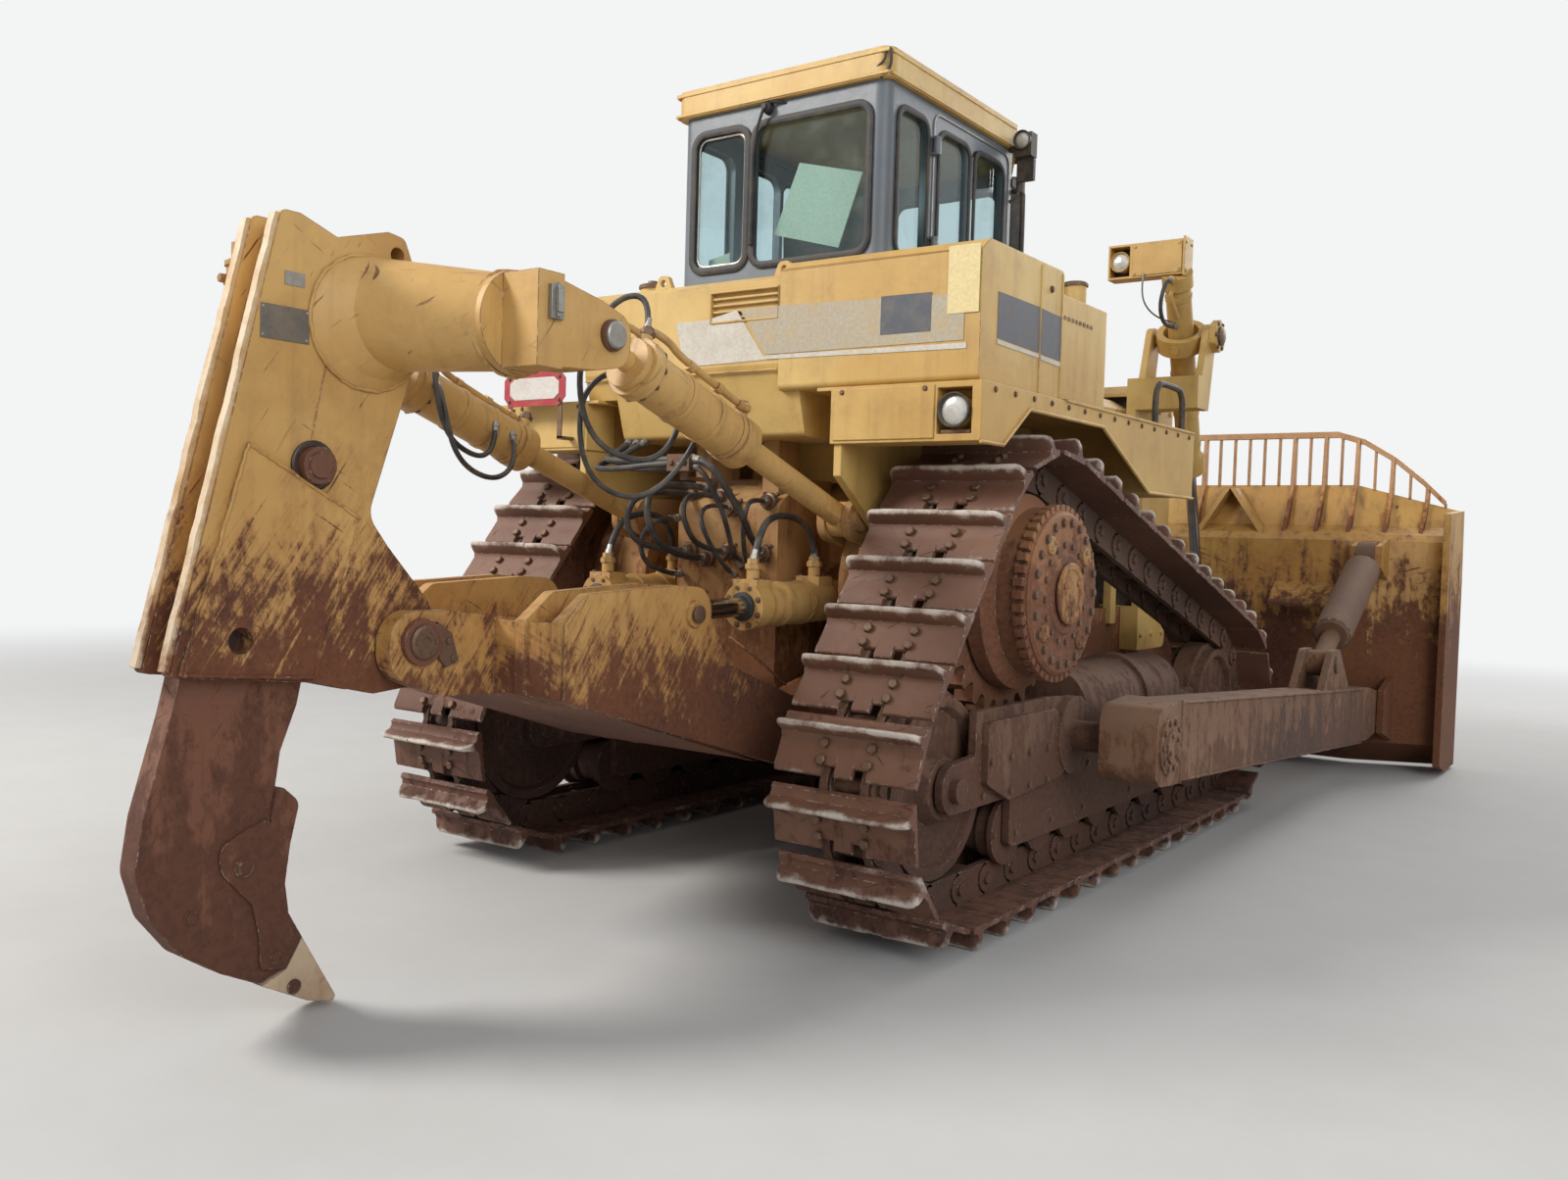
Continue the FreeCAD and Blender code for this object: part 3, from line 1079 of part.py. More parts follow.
def bladeExtras():
    pieces = []
    for side in (-1, 1):
        x = side * z.bladeHalf
        y = z.bladeEdgeY + z.wingReach
        corners = [V(x, y - 620, z.bladeLow + 60), V(x, y - 620, z.wingHigh - 30),
                   V(x, y - 30, z.wingHigh + 10),
                   V(x, y + 12, z.wingHigh - 500), V(x, y + 30, z.bladeLow), V(x, y - 400, z.bladeLow)]
        plate = Part.Face(Part.makePolygon(corners + corners[:1])).extrude(V(-side * z.endPlate, 0, 0))
        pieces.append(plate)
        # ears in pairs: distance across, then the outline from the side
        centre = (z.armIn + z.armOut) / 2
        back = z.bladeBack + bladeFront(centre)
        arm = [(back + 90, z.armFrontZ - 240), (back - 250, z.armFrontZ - 150),
               (back - 250, z.armFrontZ + 150), (back + 90, z.armFrontZ + 240)]
        brace = [(back + 120, z.braceTopZ - 190), (braceTopY - 90, z.braceTopZ - 70),
                 (braceTopY - 90, z.braceTopZ + 80), (back + 120, z.braceTopZ + 150)]
        lift = [(z.bladeBack + 60, z.liftEndZ - 190), (z.liftEndY - 90, z.liftEndZ - 80),
                (z.liftEndY - 90, z.liftEndZ + 80), (z.bladeBack + 60, z.liftEndZ + 190)]
        half = (z.armOut - z.armIn) / 2 + 6 + z.seatGap
        for middle, near, far, outline in (
                (centre, half, half + 44, arm), (centre, 62 + z.seatGap, 104, brace),
                (z.liftEndX, z.liftEyeHalf + z.liftSway, z.liftEyeHalf + z.liftSway + 36, lift)):
            for edge in (middle - far, middle + near):
                low = edge if side > 0 else -edge - (far - near)
                corners = [V(low, u, w) for u, w in outline]
                cheek = Part.Face(Part.makePolygon(corners + corners[:1]))
                pieces.append(cheek.extrude(V(far - near, 0, 0)))
        # a pair of slanted flanges over the lift ears, from the ledge to the upright plate
        apex = z.bladeHigh - 30
        for reach in (-170, 310):
            foot = outlineAt(side * (z.liftEndX + reach), 22, z.bladeBack + 50,
                             z.bladeEdgeY - uprightFoot + 20, ledge - 60)
            head = outlineAt(side * (z.liftEndX + 30 + reach / 12), 22, z.bladeEdgeY - 300,
                             z.bladeEdgeY - 125, apex)
            pieces.append(Part.makeLoft([foot, head], True, True))
        # sloping guard plate beside the brace
        low = 1000 if side > 0 else -1420
        corners = [V(low, z.bladeBack + 5, z.liftEndZ + 385), V(low, z.bladeBack - 190, z.liftEndZ + 230),
                   V(low, z.bladeBack - 190, z.liftEndZ + 205), V(low, z.bladeBack + 5, z.liftEndZ + 345)]
        pieces.append(Part.Face(Part.makePolygon(corners + corners[:1])).extrude(V(420, 0, 0)))
    return pieces


bladeBody = made("bladeBody", bladeShape().fuse(bladeExtras()))
node("blade", bladeBody)


def rackShape():
    """Upright bars under a rail that falls at both ends. The broad ones reach down behind the plate."""
    pieces = []
    flat = 1330.0
    end = z.bladeHalf - 110
    middle = int(z.rackBars) // 2
    broad = (0, 3, 9, 11, 13, 15, 17)  # bars counted from the middle

    def railHeight(x):
        share = max(0.0, abs(x) - flat) / (end - flat)
        return z.rackHigh - (z.rackHigh - z.wingHigh - 60) * share ** 1.6

    for k in range(-middle, middle + 1):
        x = end * k / middle
        edge, back = z.bladeEdgeY + bladeFront(x), z.bladeBack + bladeFront(x)
        rail, top = railHeight(x), bladeTop(x)
        outline = [(edge - 82, rail), (edge - 122, rail), (edge - 122, top - 5), (edge - 82, top - 5)]
        half = 7
        if abs(k) in broad:
            outline = [(edge - 82, rail), (edge - 126, rail), (edge - 160, top - 30),
                       (back + 70, ledge - 60),
                       (edge - uprightFoot + 12, ledge - 40), (edge - 100, top - 5), (edge - 82, top - 5)]
            half = 13
        corners = [V(x - half, u, w) for u, w in outline]
        pieces.append(Part.Face(Part.makePolygon(corners + corners[:1])).extrude(V(2 * half, 0, 0)))
    y = z.bladeEdgeY - 102
    stations = [-end, -1900, -1720, -1520, -flat, flat, 1520, 1720, 1900, end]
    for a, b in zip(stations, stations[1:]):
        ends = []
        for x in (a, b):
            near, high = y + bladeFront(x), railHeight(x)
            corners = [V(x, near - 25, high - 22), V(x, near + 25, high - 22), V(x, near + 25, high + 22),
                       V(x, near - 25, high + 22)]
            ends.append(Part.makePolygon(corners + corners[:1]))
        pieces.append(Part.makeLoft(ends, True, True))
    return pieces[0].fuse(pieces[1:]).cut(bladeShape())


node("rock_rack", made("rack", rackShape()))


# Push arms, each with its socket on the trunnion ball
def pushArm():
    y0, y1 = z.trunnionY, z.bladeBack + bladeFront(armCentre)
    z0, z1 = z.trunnionZ, z.armFrontZ
    half = z.armHeight / 2
    arm = slab("armBox", "side", "armIn", "armOut - armIn", [
        (y0 + 130, z0 - half), (y0 + 130, z0 + half), (y1 - 530, z1 + half + 20), (y1 - 60, z1 + 120, 60),
        (y1 - 60, z1 - 130, 60), (y1 - 530, z1 - half)])
    cap = slab("armSocket", "side", "armIn - 6", "armOut - armIn + 12", [
        (y0 - 150, z0 - 165, 90), (y0 - 150, z0 + 165, 90), (y0 + 160, z0 + 185), (y0 + 160, z0 - 185)])
    socket = doc.addObject("Part::Sphere", fresh("socket"))
    bind(socket, "Radius", "trunnionRadius + seatGap")
    for letter, value in (("x", "trunnionX"), ("y", "trunnionY"), ("z", "trunnionZ")):
        bind(socket, "Placement.Base." + letter, value)
    way = drum("socketWay", "x", ("armIn - 20", "trunnionY", "trunnionZ"), 84, "trunnionX - armIn + 20")
    ears = []
    for at in (armCentre + 62 + z.seatGap, armCentre - 104 - z.seatGap):
        ears.append(slab("braceEar", "side", at, 42, [
            (z.braceLowY - 330, z1 + half + 60), (z.braceLowY - 90, z.braceLowZ + 90, 60),
            (z.braceLowY + 90, z.braceLowZ + 90, 60), (z.braceLowY + 420, z1 + half + 30)]))
    cover = drum("socketCover", "x", ("armOut - 3", "trunnionY", "trunnionZ"), 128, 22)
    lid = drum("socketLid", "x", ("armOut + 15", "trunnionY", "trunnionZ"), 74, 16)
    web = slab("armWeb", "side", "armIn + 60", "armOut - armIn - 120", [
        (y1 - 640, z1 - half + 10), (y1 - 400, z1 - half + 10), (y1 - 300, z1 - half + 60),
        (y1 - 700, z1 - half + 60)])
    return cut("armBody", fuse("armParts", arm, cap, cover, lid, web, *ears), socket, way)


node("push_arms", both("pushArms", pushArm()))


def tiltBrace():
    low, high = V(armCentre, z.braceLowY, z.braceLowZ), V(armCentre, braceTopY, z.braceTopZ)
    along = (high - low).normalize()
    rod = strut("braceRod", low, low + along * 460, 58)
    barrel = strut("braceBarrel", low + along * 360, high - along * 200, "braceRadius")
    eye = drum("braceEye", "x", (armCentre - 62, high.y, high.z), "braceEye", 124)
    foot = drum("braceFoot", "x", (armCentre - 62, low.y, low.z), 82, 124)
    neck = strut("braceNeck", high - along * 260, high, 61)
    return fuse("braceBody", rod, barrel, neck, eye, foot)


node("tilt_cylinders", both("tiltCylinders", tiltBrace()))


# Blade lift cylinders: yoke on the radiator guard, ring, barrel and rod
liftTop = V(z.liftTopX, z.liftTopY, z.liftTopZ)
liftEnd = V(z.liftEndX, z.liftEndY, z.liftEndZ)
liftLine = (liftEnd - liftTop).normalize()
liftCross = V(1, 0, 0).cross(liftLine).normalize()
ringHalf = z.liftBarrel + 50


def liftBarrel():
    barrel = strut("liftBarrel", liftTop - liftLine * z.liftAbove, liftTop + liftLine * z.liftBelow,
                   "liftBarrel")
    head = strut("liftHead", liftTop + liftLine * (z.liftBelow - 110), liftTop + liftLine * z.liftBelow,
                 "liftBarrel + 20")
    cap = strut("liftCap", liftTop - liftLine * (z.liftAbove + 30), liftTop - liftLine * (z.liftAbove - 60),
                "liftBarrel + 16")
    pin = strut("liftPin", liftTop - liftCross * (ringHalf + 30), liftTop + liftCross * (ringHalf + 30), 30)
    bore = strut("liftBore", liftTop - liftLine * (z.liftAbove - 80),
                 liftTop + liftLine * (z.liftBelow + 10),
                 "liftRod + seatGap")
    ports = [strut("liftPort", at, at + V(0, -130, 0), 24) for at in (
        liftTop - liftLine * (z.liftAbove - 40), liftTop + liftLine * (z.liftBelow - 60))]
    return cut("liftBarrelBody", fuse("liftBarrelParts", barrel, head, cap, pin, lampBox(), *ports), bore)


def lampBox():
    """A box across the barrel's top, with a lamp in a niche behind and a plate on its outer end."""
    top = liftTop - liftLine * (z.liftAbove + 10)
    low, near, inner = top.z, top.y - z.lampBoxDeep / 2, "liftTopX - lampBoxLong + 110"
    shell = box("lampShell", (inner, near, low), ("lampBoxLong", "lampBoxDeep", "lampBoxTall"))
    niche = box("lampShellNiche", ("liftTopX - lampBoxLong + 122", near - 10, low + 14),
                (128, 92, "lampBoxTall - 28"))
    plate = box("lampShellEnd", ("liftTopX + 105", near - 12, low - 12),
                (12, "lampBoxDeep + 24", "lampBoxTall + 24"))
    lamp = drum("frontLamp", "y", ("liftTopX - lampBoxLong + 186", near + 18, low + 108), "lampRadius", 70)
    return fuse("lampBoxBody", cut("lampShellCut", shell, niche), plate, lamp)


def liftRing():
    """The ring turns in the yoke about X and carries the barrel's own pins."""
    outer = strut("ringOuter", liftTop - liftLine * 55, liftTop + liftLine * 55, ringHalf + 24)
    inner = strut("ringInner", liftTop - liftLine * 70, liftTop + liftLine * 70, ringHalf - 20)
    holes = strut("ringHoles", liftTop - liftCross * 300, liftTop + liftCross * 300, "30 + seatGap")
    pin = drum("ringPin", "x", ("liftTopX - 215", "liftTopY", "liftTopZ"), 38, 468)
    return cut("ringBody", fuse("ringParts", outer, pin), inner, holes)


def liftRodPiece():
    rod = strut("liftRod", liftEnd - liftLine * z.liftRodLength, liftEnd, "liftRod")
    eye = drum("liftEye", "x", ("liftEndX - liftEyeHalf", "bladeBack - liftEyeBack", "liftEndZ"), 82,
               "2 * liftEyeHalf")
    return fuse("liftRodParts", rod, eye)


def liftYoke():
    plates = []
    for near in (160, -202):
        plates.append(slab("yokePlate", "side", f"liftTopX + {near}", 42, [
            (z.liftTopY - 250, z.liftTopZ - 470), (z.liftTopY - 75, z.liftTopZ + 75, 70),
            (z.liftTopY + 75, z.liftTopZ + 75, 70), (z.liftTopY - 40, z.liftTopZ - 470)],
            [(z.liftTopY, z.liftTopZ, 38 + z.seatGap)]))
    boss = slab("yokeBoss", "side", "liftTopX + 200", 46, [
        (z.liftTopY + 105 * math.cos(math.radians(60 * k + 30)),
         z.liftTopZ + 105 * math.sin(math.radians(60 * k + 30)), 20)
        for k in range(6)], [(z.liftTopY, z.liftTopZ, 38 + z.seatGap)])
    base = box("yokeBase", ("guardHalf + seatGap", "liftTopY - 250", "liftTopZ - 470"),
               ("liftTopX + 202 - guardHalf - seatGap", 190, 200))
    foot = box("yokeFoot", ("guardHalf + seatGap", "liftTopY - 250", "liftTopZ - 620"),
               (60, 420, 350))
    room = strut("yokeRoom", liftTop, liftTop + liftLine * 900, "liftBarrel + 34")
    return cut("yokeBody", fuse("yokeParts", *plates, boss, base, foot), room)


pair("lift_barrel", liftBarrel())
node("lift_rings", both("liftRings", liftRing()))
pair("lift_rod", liftRodPiece())
node("lift_yokes", both("liftYokes", liftYoke()))


# Ripper beam: cheeks with ears, a deep box between them, and a fork for the carrier
def beam():
    by, bz, ey, ez = z.beamPinY, z.beamPinZ, z.beamEndY, z.beamEndZ
    cheek = [(by + 105, bz - 105, 100), (by + 105, bz + 105, 100), (by - 190, bz + 215),
             (by - 480, bz + 320),
             (z.earPinY + 105, z.earPinZ - 20), (z.earPinY + 105, z.earPinZ + 100, 100),
             (z.earPinY - 100, z.earPinZ + 110, 60), (z.earPinY - 560, z.earPinZ + 85, 40),
             (z.earPinY - 690, ez + 70), (z.earPinY - 690, ez - 190), (by - 60, bz - 140)]
    pieces = []
    for at in (ripIn - 50, ripOut):
        pieces.append(slab("cheek", "side", at, 50, cheek, [(by, bz, z.beamPin + z.seatGap)]))
    fork = [(ey - 120, ez - 110, 105), (ey - 120, ez + 105, 105), (ey + 120, ez + 100, 60),
            (ey + 420, ez + 70), (ey + 420, ez - 200), (ey + 100, ez - 190)]
    pieces.append(slab("fork", "side", "forkIn", "forkThick", fork, [(ey, ez, z.beamPin + z.seatGap)]))
    core = slab("beamCore", "side", 0, ripOut + 20, [
        (ey + 320, ez - 190), (ey + 320, ez + 68), (z.earPinY + 220, bz + 330), (by - 320, bz + 230),
        (by - 320, bz - 80)])
    room = box("barrelRoom", (ripIn, z.earPinY + 105, bz + 150), (ripOut - ripIn, 700, 500))
    eyeRoom = box("eyeRoom", (ripIn, z.earPinY - 130, z.earPinZ - 130), (ripOut - ripIn, 300, 400))
    heads = [drum("earHead", "x", (at, "earPinY", "earPinZ"), "cylinderPin + 14", "pinHead")
             for at in (ripIn - 50 - z.pinHead, ripOut + 50)]
    half = fuse("beamHalf", cut("beamCut", fuse("beamParts", *pieces, core), room, eyeRoom), *heads)
    return both("beamBody", half)


node("ripper_beam", beam())

# The pin at the beam's rear end keeps the carrier level while the beam turns
node("carrier_pin", fuse("carrierPin",
    drum("pinShaft", "x", ("-forkIn - forkThick - 20", "beamEndY", "beamEndZ"), "beamPin",
         "2 * (forkIn + forkThick + 20)"),
    drum("pinCap", "x", ("forkIn + forkThick + seatGap", "beamEndY", "beamEndZ"), "beamPin + 26", 22),
    drum("pinCap", "x", ("-forkIn - forkThick - seatGap - 22", "beamEndY", "beamEndZ"), "beamPin + 26", 22)))


def hornRing(x, y, height, radius):
    """A round section of a horn, square to the carrier's plates."""
    return Part.Wire(Part.makeCircle(radius, V(x, y, height), V(1, 0, 0)))


# Carrier: two side plates with the shank's slot between them, and two flared horns
def carrier():
    ey, ez = z.beamEndY, z.beamEndZ
    gap = z.carrierGap / 2
    outline = [(-3256, 1118, 20), (-2925, 2512, 24), (-2860, 2512, 20), (-2730, 2466), (-2540, 2522, 20),
               (-2476, 2512, 30), (-2440, 2430, 30), (-2446, 2060, 60), (-2600, 1600, 80), (-2520, 1500),
               (ey + 112, ez + 112, 110), (ey + 112, ez - 150, 90), (ey - 120, ez - 170), (-2790, 1072)]
    bores = [(ey, ez, z.beamPin + z.seatGap), (-3046, 1215, 40)]
    plates = [slab("carrierPlate", "side", gap, "carrierPlate", outline, bores),
              slab("carrierPlate", "side", -gap - z.carrierPlate, "carrierPlate", outline, bores)]
    doubler = [(-3030, 1800, 20), (-2640, 1590, 30), (-2800, 1090, 20), (-3232, 1125, 20)]
    plates.append(slab("doubler", "side", gap + z.carrierPlate, 14, doubler, [(-3046, 1215, 40)]))
    plates.append(slab("doubler", "side", -gap - z.carrierPlate - 14, 14, doubler, [(-3046, 1215, 40)]))
    # the filler stands in front of the shank and closes the top of its slot
    filler = slab("filler", "side", -gap, 2 * gap, [
        (-2800, 1095), (-2560, 2110), (-2975, 2110), (-2880, 2490), (-2730, 2440), (-2546, 2498),
        (-2486, 2490), (-2454, 2420), (-2456, 2070), (-2620, 1640), (-2560, 1420), (ey - 75, ez - 120)])
    horns = []
    hornEnd = z.hornX - z.tiltEyeHalf - z.pinGap - 40
    for side in (1, -1):
        sections = [hornRing(side * x, y, height, radius) for x, y, height, radius in (
            (gap - 2, -2610, 2215, 212), (gap + z.carrierPlate + 4, -2610, 2215, 212),
            (gap + z.carrierPlate + 26, -2582, 2234, 194), (gap + z.carrierPlate + 66, -2533, 2246, 178),
            (hornEnd + 3, -2348, 2226, 152))]
        for a, b in zip(sections, sections[1:]):
            horns.append(made("hornPart", Part.makeLoft([a, b], True, True)))
        horns.append(drum("hornCollar", "x", (side * (hornEnd - 12) - 16, -2348, 2226), 166, 32))
        for near, far in ((z.tiltEyeHalf + z.pinGap, z.tiltEyeHalf + z.pinGap + 40),
                          (-z.tiltEyeHalf - z.pinGap - 40, -z.tiltEyeHalf - z.pinGap)):
            low = min(side * (z.hornX + near), side * (z.hornX + far))
            horns.append(slab("hornPlate", "side", low, 40, [
                (-2420, 2075), (-2420, 2372), (z.hornPinY - 40, z.hornPinZ + 105, 60),
                (z.hornPinY + 92, z.hornPinZ + 60, 60), (z.hornPinY + 92, z.hornPinZ - 92, 80),
                (z.hornPinY - 60, z.hornPinZ - 120, 60)],
                [(z.hornPinY, z.hornPinZ, z.cylinderPin + z.seatGap)]))
        width = 2 * (z.tiltEyeHalf + z.pinGap + 40)
        horns.append(box("hornBack", (hornEnd if side > 0 else -hornEnd - width, -2425, 2075),
                         (width, 110, 297)))
    body = fuse("carrierParts", *plates, filler, *horns)
    room = slab("shankRoom", "side", -gap, 2 * gap, shankUpper(12))
    pinHole = drum("shankPinHole", "x", (-160, -2805, 1749), "40 + seatGap", 320)
    liftEye = drum("liftEyeHole", "x", (-gap - z.carrierPlate - 1, -2504, 2452), 26,
                   2 * (gap + z.carrierPlate + 1))
    return cut("carrierBody", body, room, pinHole, liftEye)


def shankUpper(grow):
    """The part of the shank inside the carrier, grown by a clearance."""
    return [(-3215 - grow, 1000), (-2975 - grow, 2040 + grow), (-2590 + grow, 2040 + grow),
            (-2811 + grow, 1000)]


node("ripper_carrier", carrier())


def tiltPins():
    """Pins that join the tilt cylinders to the horns, with a head outside each plate."""
    reach = z.tiltEyeHalf + z.pinGap + 40 + z.seatGap
    pin = drum("tiltPin", "x", (z.hornX - reach - z.pinHead, "hornPinY", "hornPinZ"), "cylinderPin",
               2 * (reach + z.pinHead))
    heads = [drum("tiltPinHead", "x", (at, "hornPinY", "hornPinZ"), "cylinderPin + 16", "pinHead")
             for at in (z.hornX - reach - z.pinHead, z.hornX + reach)]
    return both("tiltPins", fuse("tiltPinParts", pin, *heads))


node("tilt_cylinder_pins", tiltPins())


def freeHeight(height):
    """Heights of the free part of the shank, fitted above the ground."""
    top, tip = 1050.0, -140.0
    return top - (top - height) * (top - z.shankFoot) / (top - tip)


def shank():
    half = z.shankThick / 2
    outline = shankUpper(0)[:3] + [(-2811, freeHeight(993)), (-2866, freeHeight(830)),
                                   (-2884, freeHeight(690)), (-2900, freeHeight(600)),
                                   (-2890, freeHeight(140)), (-2842, freeHeight(40)),
                                   (-2925, freeHeight(4), 30), (-3054, freeHeight(80), 60),
                                   (-3181, freeHeight(180), 80), (-3275, freeHeight(320), 80),
                                   (-3318, freeHeight(480), 90),
                                   (-3296, freeHeight(660), 120)]
    body = slab("shankBlade", "side", -half, 2 * half, outline)
    pin = drum("shankPin", "x", (-150, -2805, 1749), 40, 300)
    head = drum("shankPinHead", "x", ("carrierGap / 2 + carrierPlate + seatGap", -2805, 1749), 58, 40)
    spare = drum("shankSpareHole", "x", (-160, -3046, 1215), 40, 320)
    return cut("shankDrilled", fuse("shankBody", body, pin, head), spare)


node("ripper_shank", shank())


def protector():
    half = z.shankThick / 2
    front = [(-2884, freeHeight(690)), (-2870, freeHeight(712), 20), (-2803, freeHeight(640), 40),
             (-2834, freeHeight(490)), (-2850, freeHeight(353)),
             (-2836, freeHeight(241)), (-2787, freeHeight(141)), (-2842, freeHeight(40) + 1),
             (-2890, freeHeight(140)), (-2900, freeHeight(600))]
    nose = slab("protectorNose", "side", -half - 12, 2 * half + 24, front)
    cheek = [(-2900, freeHeight(600), 20), (-2985, freeHeight(570), 40), (-3075, freeHeight(520), 50),
             (-3060, freeHeight(430), 60),
             (-2960, freeHeight(300)), (-2935, freeHeight(180)), (-2930, freeHeight(60), 20),
             (-2842, freeHeight(40)), (-2890, freeHeight(140))]
    cheeks = [slab("protectorCheek", "side", at, 11.7, cheek) for at in (half + 0.3, -half - 12)]
    room = slab("protectorRoom", "side", -half - 0.3, 2 * half + 0.6, [
        (-3100, freeHeight(700)), (-2884.4, freeHeight(690)), (-2900.3, freeHeight(600)),
        (-2890.3, freeHeight(140)), (-2842.3, freeHeight(40)),
        (-2850, freeHeight(0)), (-3100, freeHeight(0))])
    return cut("protectorBody", fuse("protectorParts", nose, *cheeks), room)


node("shank_protector", protector())


def tip():
    half = z.shankThick / 2
    side = slab("tipSide", "side", -half - 12, 2 * half + 24, [
        (-2787, freeHeight(140)), (-2648, freeHeight(-140), 14), (-2765, freeHeight(-101)),
        (-2925, freeHeight(0)), (-2842, freeHeight(38))])
    return side


node("ripper_tip", tip())

node("pin_puller", fuse("pinPuller",
    drum("pullerBarrel", "z", (-196, -2872, 1980), 44, 400),
    drum("pullerHead", "z", (-196, -2872, 2380), 30, 70),
    box("pullerFoot", (-216, -2912, 1990), (114 - z.seatGap, 80, 60)),
    box("pullerFoot", (-216, -2912, 2290), (114 - z.seatGap, 80, 60))))


# Ripper cylinders: eyes are solid between their plates, the pins show as heads outside
def ripBarrels():
    start, end = V(z.ripLiftX, z.lowPinY, z.lowPinZ), V(z.ripLiftX, z.earPinY, z.earPinZ)
    along = (end - start).normalize()
    eye = drum("ripEye", "x", ("ripLiftX - eyeHalf", "lowPinY", "lowPinZ"), 88, "2 * eyeHalf")
    hole = drum("ripEyeHole", "x", ("ripLiftX - eyeHalf - 10", "lowPinY", "lowPinZ"),
                "cylinderPin + seatGap",
                "2 * eyeHalf + 20")
    neck = strut("ripNeck", start, start + along * 160, "eyeHalf - 6")
    barrel = strut("ripBarrel", start + along * 125, start + along * z.ripBarrelReach, "ripBarrel")
    gland = strut("ripGland", start + along * (z.ripBarrelReach - 90), start + along * z.ripBarrelReach,
                  "ripBarrel + 9")
    bore = strut("ripBore", start + along * 95, start + along * (z.ripBarrelReach + 20), "ripRod + seatGap")
    heads = []
    for reach in (190, z.ripBarrelReach - 60):
        place = start + along * reach
        heads.append(box("ripHead", ("ripLiftX - 62", place.y - 52, place.z), (124, 104, "ripBarrel + 18")))
        heads.append(drum("ripPort", "z", ("ripLiftX", place.y, place.z + z.ripBarrel), 27, 62))
    drilled = cut("ripBarrelBored", fuse("ripBarrelParts", neck, barrel, gland, *heads), bore)
    return both("ripBarrels", cut("ripBarrelBody", fuse("ripBarrelWhole", drilled, eye), hole))


def ripRods():
    start, end = V(z.ripLiftX, z.lowPinY, z.lowPinZ), V(z.ripLiftX, z.earPinY, z.earPinZ)
    along = (end - start).normalize()
    rod = strut("ripRod", end - along * z.ripRodLength, end, "ripRod")
    eye = drum("ripRodEye", "x", ("ripLiftX - eyeHalf", "earPinY", "earPinZ"), 84, "2 * eyeHalf")
    return both("ripRods", fuse("ripRodParts", rod, eye))


node("ripper_lift_barrels", ripBarrels())
node("ripper_lift_rods", ripRods())

tiltTop = V(z.hornX, z.hornPinY, z.hornPinZ)
tiltFoot = V(z.hornX, z.topPinY, z.topPinZ)
tiltLine = (tiltFoot - tiltTop).normalize()


def tiltBarrels():
    eye = drum("tiltEye", "x", ("hornX - tiltEyeHalf", "hornPinY", "hornPinZ"), 86, "2 * tiltEyeHalf")
    neck = strut("tiltNeck", tiltTop, tiltTop + tiltLine * (z.tiltBarrelStart + 5), "tiltEyeHalf - 3")
    barrel = strut("tiltBarrel", tiltTop + tiltLine * z.tiltBarrelStart,
                   tiltTop + tiltLine * z.tiltBarrelEnd,
                   "ripBarrel")
    gland = strut("tiltGland", tiltTop + tiltLine * (z.tiltBarrelEnd - 80),
                  tiltTop + tiltLine * z.tiltBarrelEnd,
                  "ripBarrel + 8")
    flange = strut("tiltFlange", tiltTop + tiltLine * (z.tiltBarrelStart + 30),
                   tiltTop + tiltLine * (z.tiltBarrelStart + 82), "ripBarrel + 17")
    up = V(0, -tiltLine.z, tiltLine.y)
    up = up if up.z > 0 else -up
    ports = []
    for reach in (z.tiltBarrelStart + 56, z.tiltBarrelEnd - 40):
        place = tiltTop + tiltLine * reach
        ports.append(strut("tiltPort", place, place + up * (z.ripBarrel + 40), 24))
    bore = strut("tiltBore", tiltTop + tiltLine * (z.tiltBarrelStart + 14),
                 tiltTop + tiltLine * (z.tiltBarrelEnd + 10), "tiltRod + seatGap")
    hole = drum("tiltEyeHole", "x", ("hornX - tiltEyeHalf - 10", "hornPinY", "hornPinZ"),
                "cylinderPin + seatGap", "2 * tiltEyeHalf + 20")
    drilled = cut("tiltBarrelCut", fuse("tiltBarrelParts", barrel, gland, flange, *ports), bore)
    return both("tiltBarrels", cut("tiltBarrelHoled", fuse("tiltBarrelBody", drilled, neck, eye), hole))


def tiltRods():
    start = tiltFoot - tiltLine * z.tiltRodLength
    rod = strut("tiltRodBar", start, tiltFoot, "tiltRod")
    eye = drum("tiltRodEye", "x", ("hornX - tiltEyeHalf", "topPinY", "topPinZ"), 76, "2 * tiltEyeHalf")
    sides = [box("tiltRodFlat", (x, "topPinY - 200", "topPinZ - 200"), (60, 400, 400))
             for x in (z.hornX + z.tiltEyeHalf, z.hornX - z.tiltEyeHalf - 60)]
    return both("tiltRods", cut("tiltRodBody", fuse("tiltRodParts", rod, eye), *sides))


node("ripper_tilt_barrels", tiltBarrels())
node("ripper_tilt_rods", tiltRods())


# Recompute, move every piece to the machine's origin, test and write
doc.recompute()
spans = [obj.Shape.BoundBox for label, obj, follows in nodes if not obj.Shape.isNull()]
middle = (min(span.YMin for span in spans) + max(span.YMax for span in spans)) / 2
sheet.set("B1", f"{middle:.2f}")
for label, obj, follows in nodes:
    if not follows:
        obj.setExpression("Placement.Base.y", "-sizes.originY")
doc.recompute()
failed = [f"{obj.Name}: {obj.getStatusString()}" for obj in doc.Objects
          if "Invalid" in obj.State or "Error" in obj.State]
if failed:
    raise RuntimeError("did not build: " + "; ".join(failed))
os.makedirs("parts", exist_ok=True)
whole = FreeCAD.BoundBox()
bad = [label for label, obj, follows in nodes
       if obj.Shape.isNull() or not obj.Shape.isValid() or not obj.Shape.Solids]
if bad:
    raise RuntimeError("no valid solid: " + ", ".join(bad))
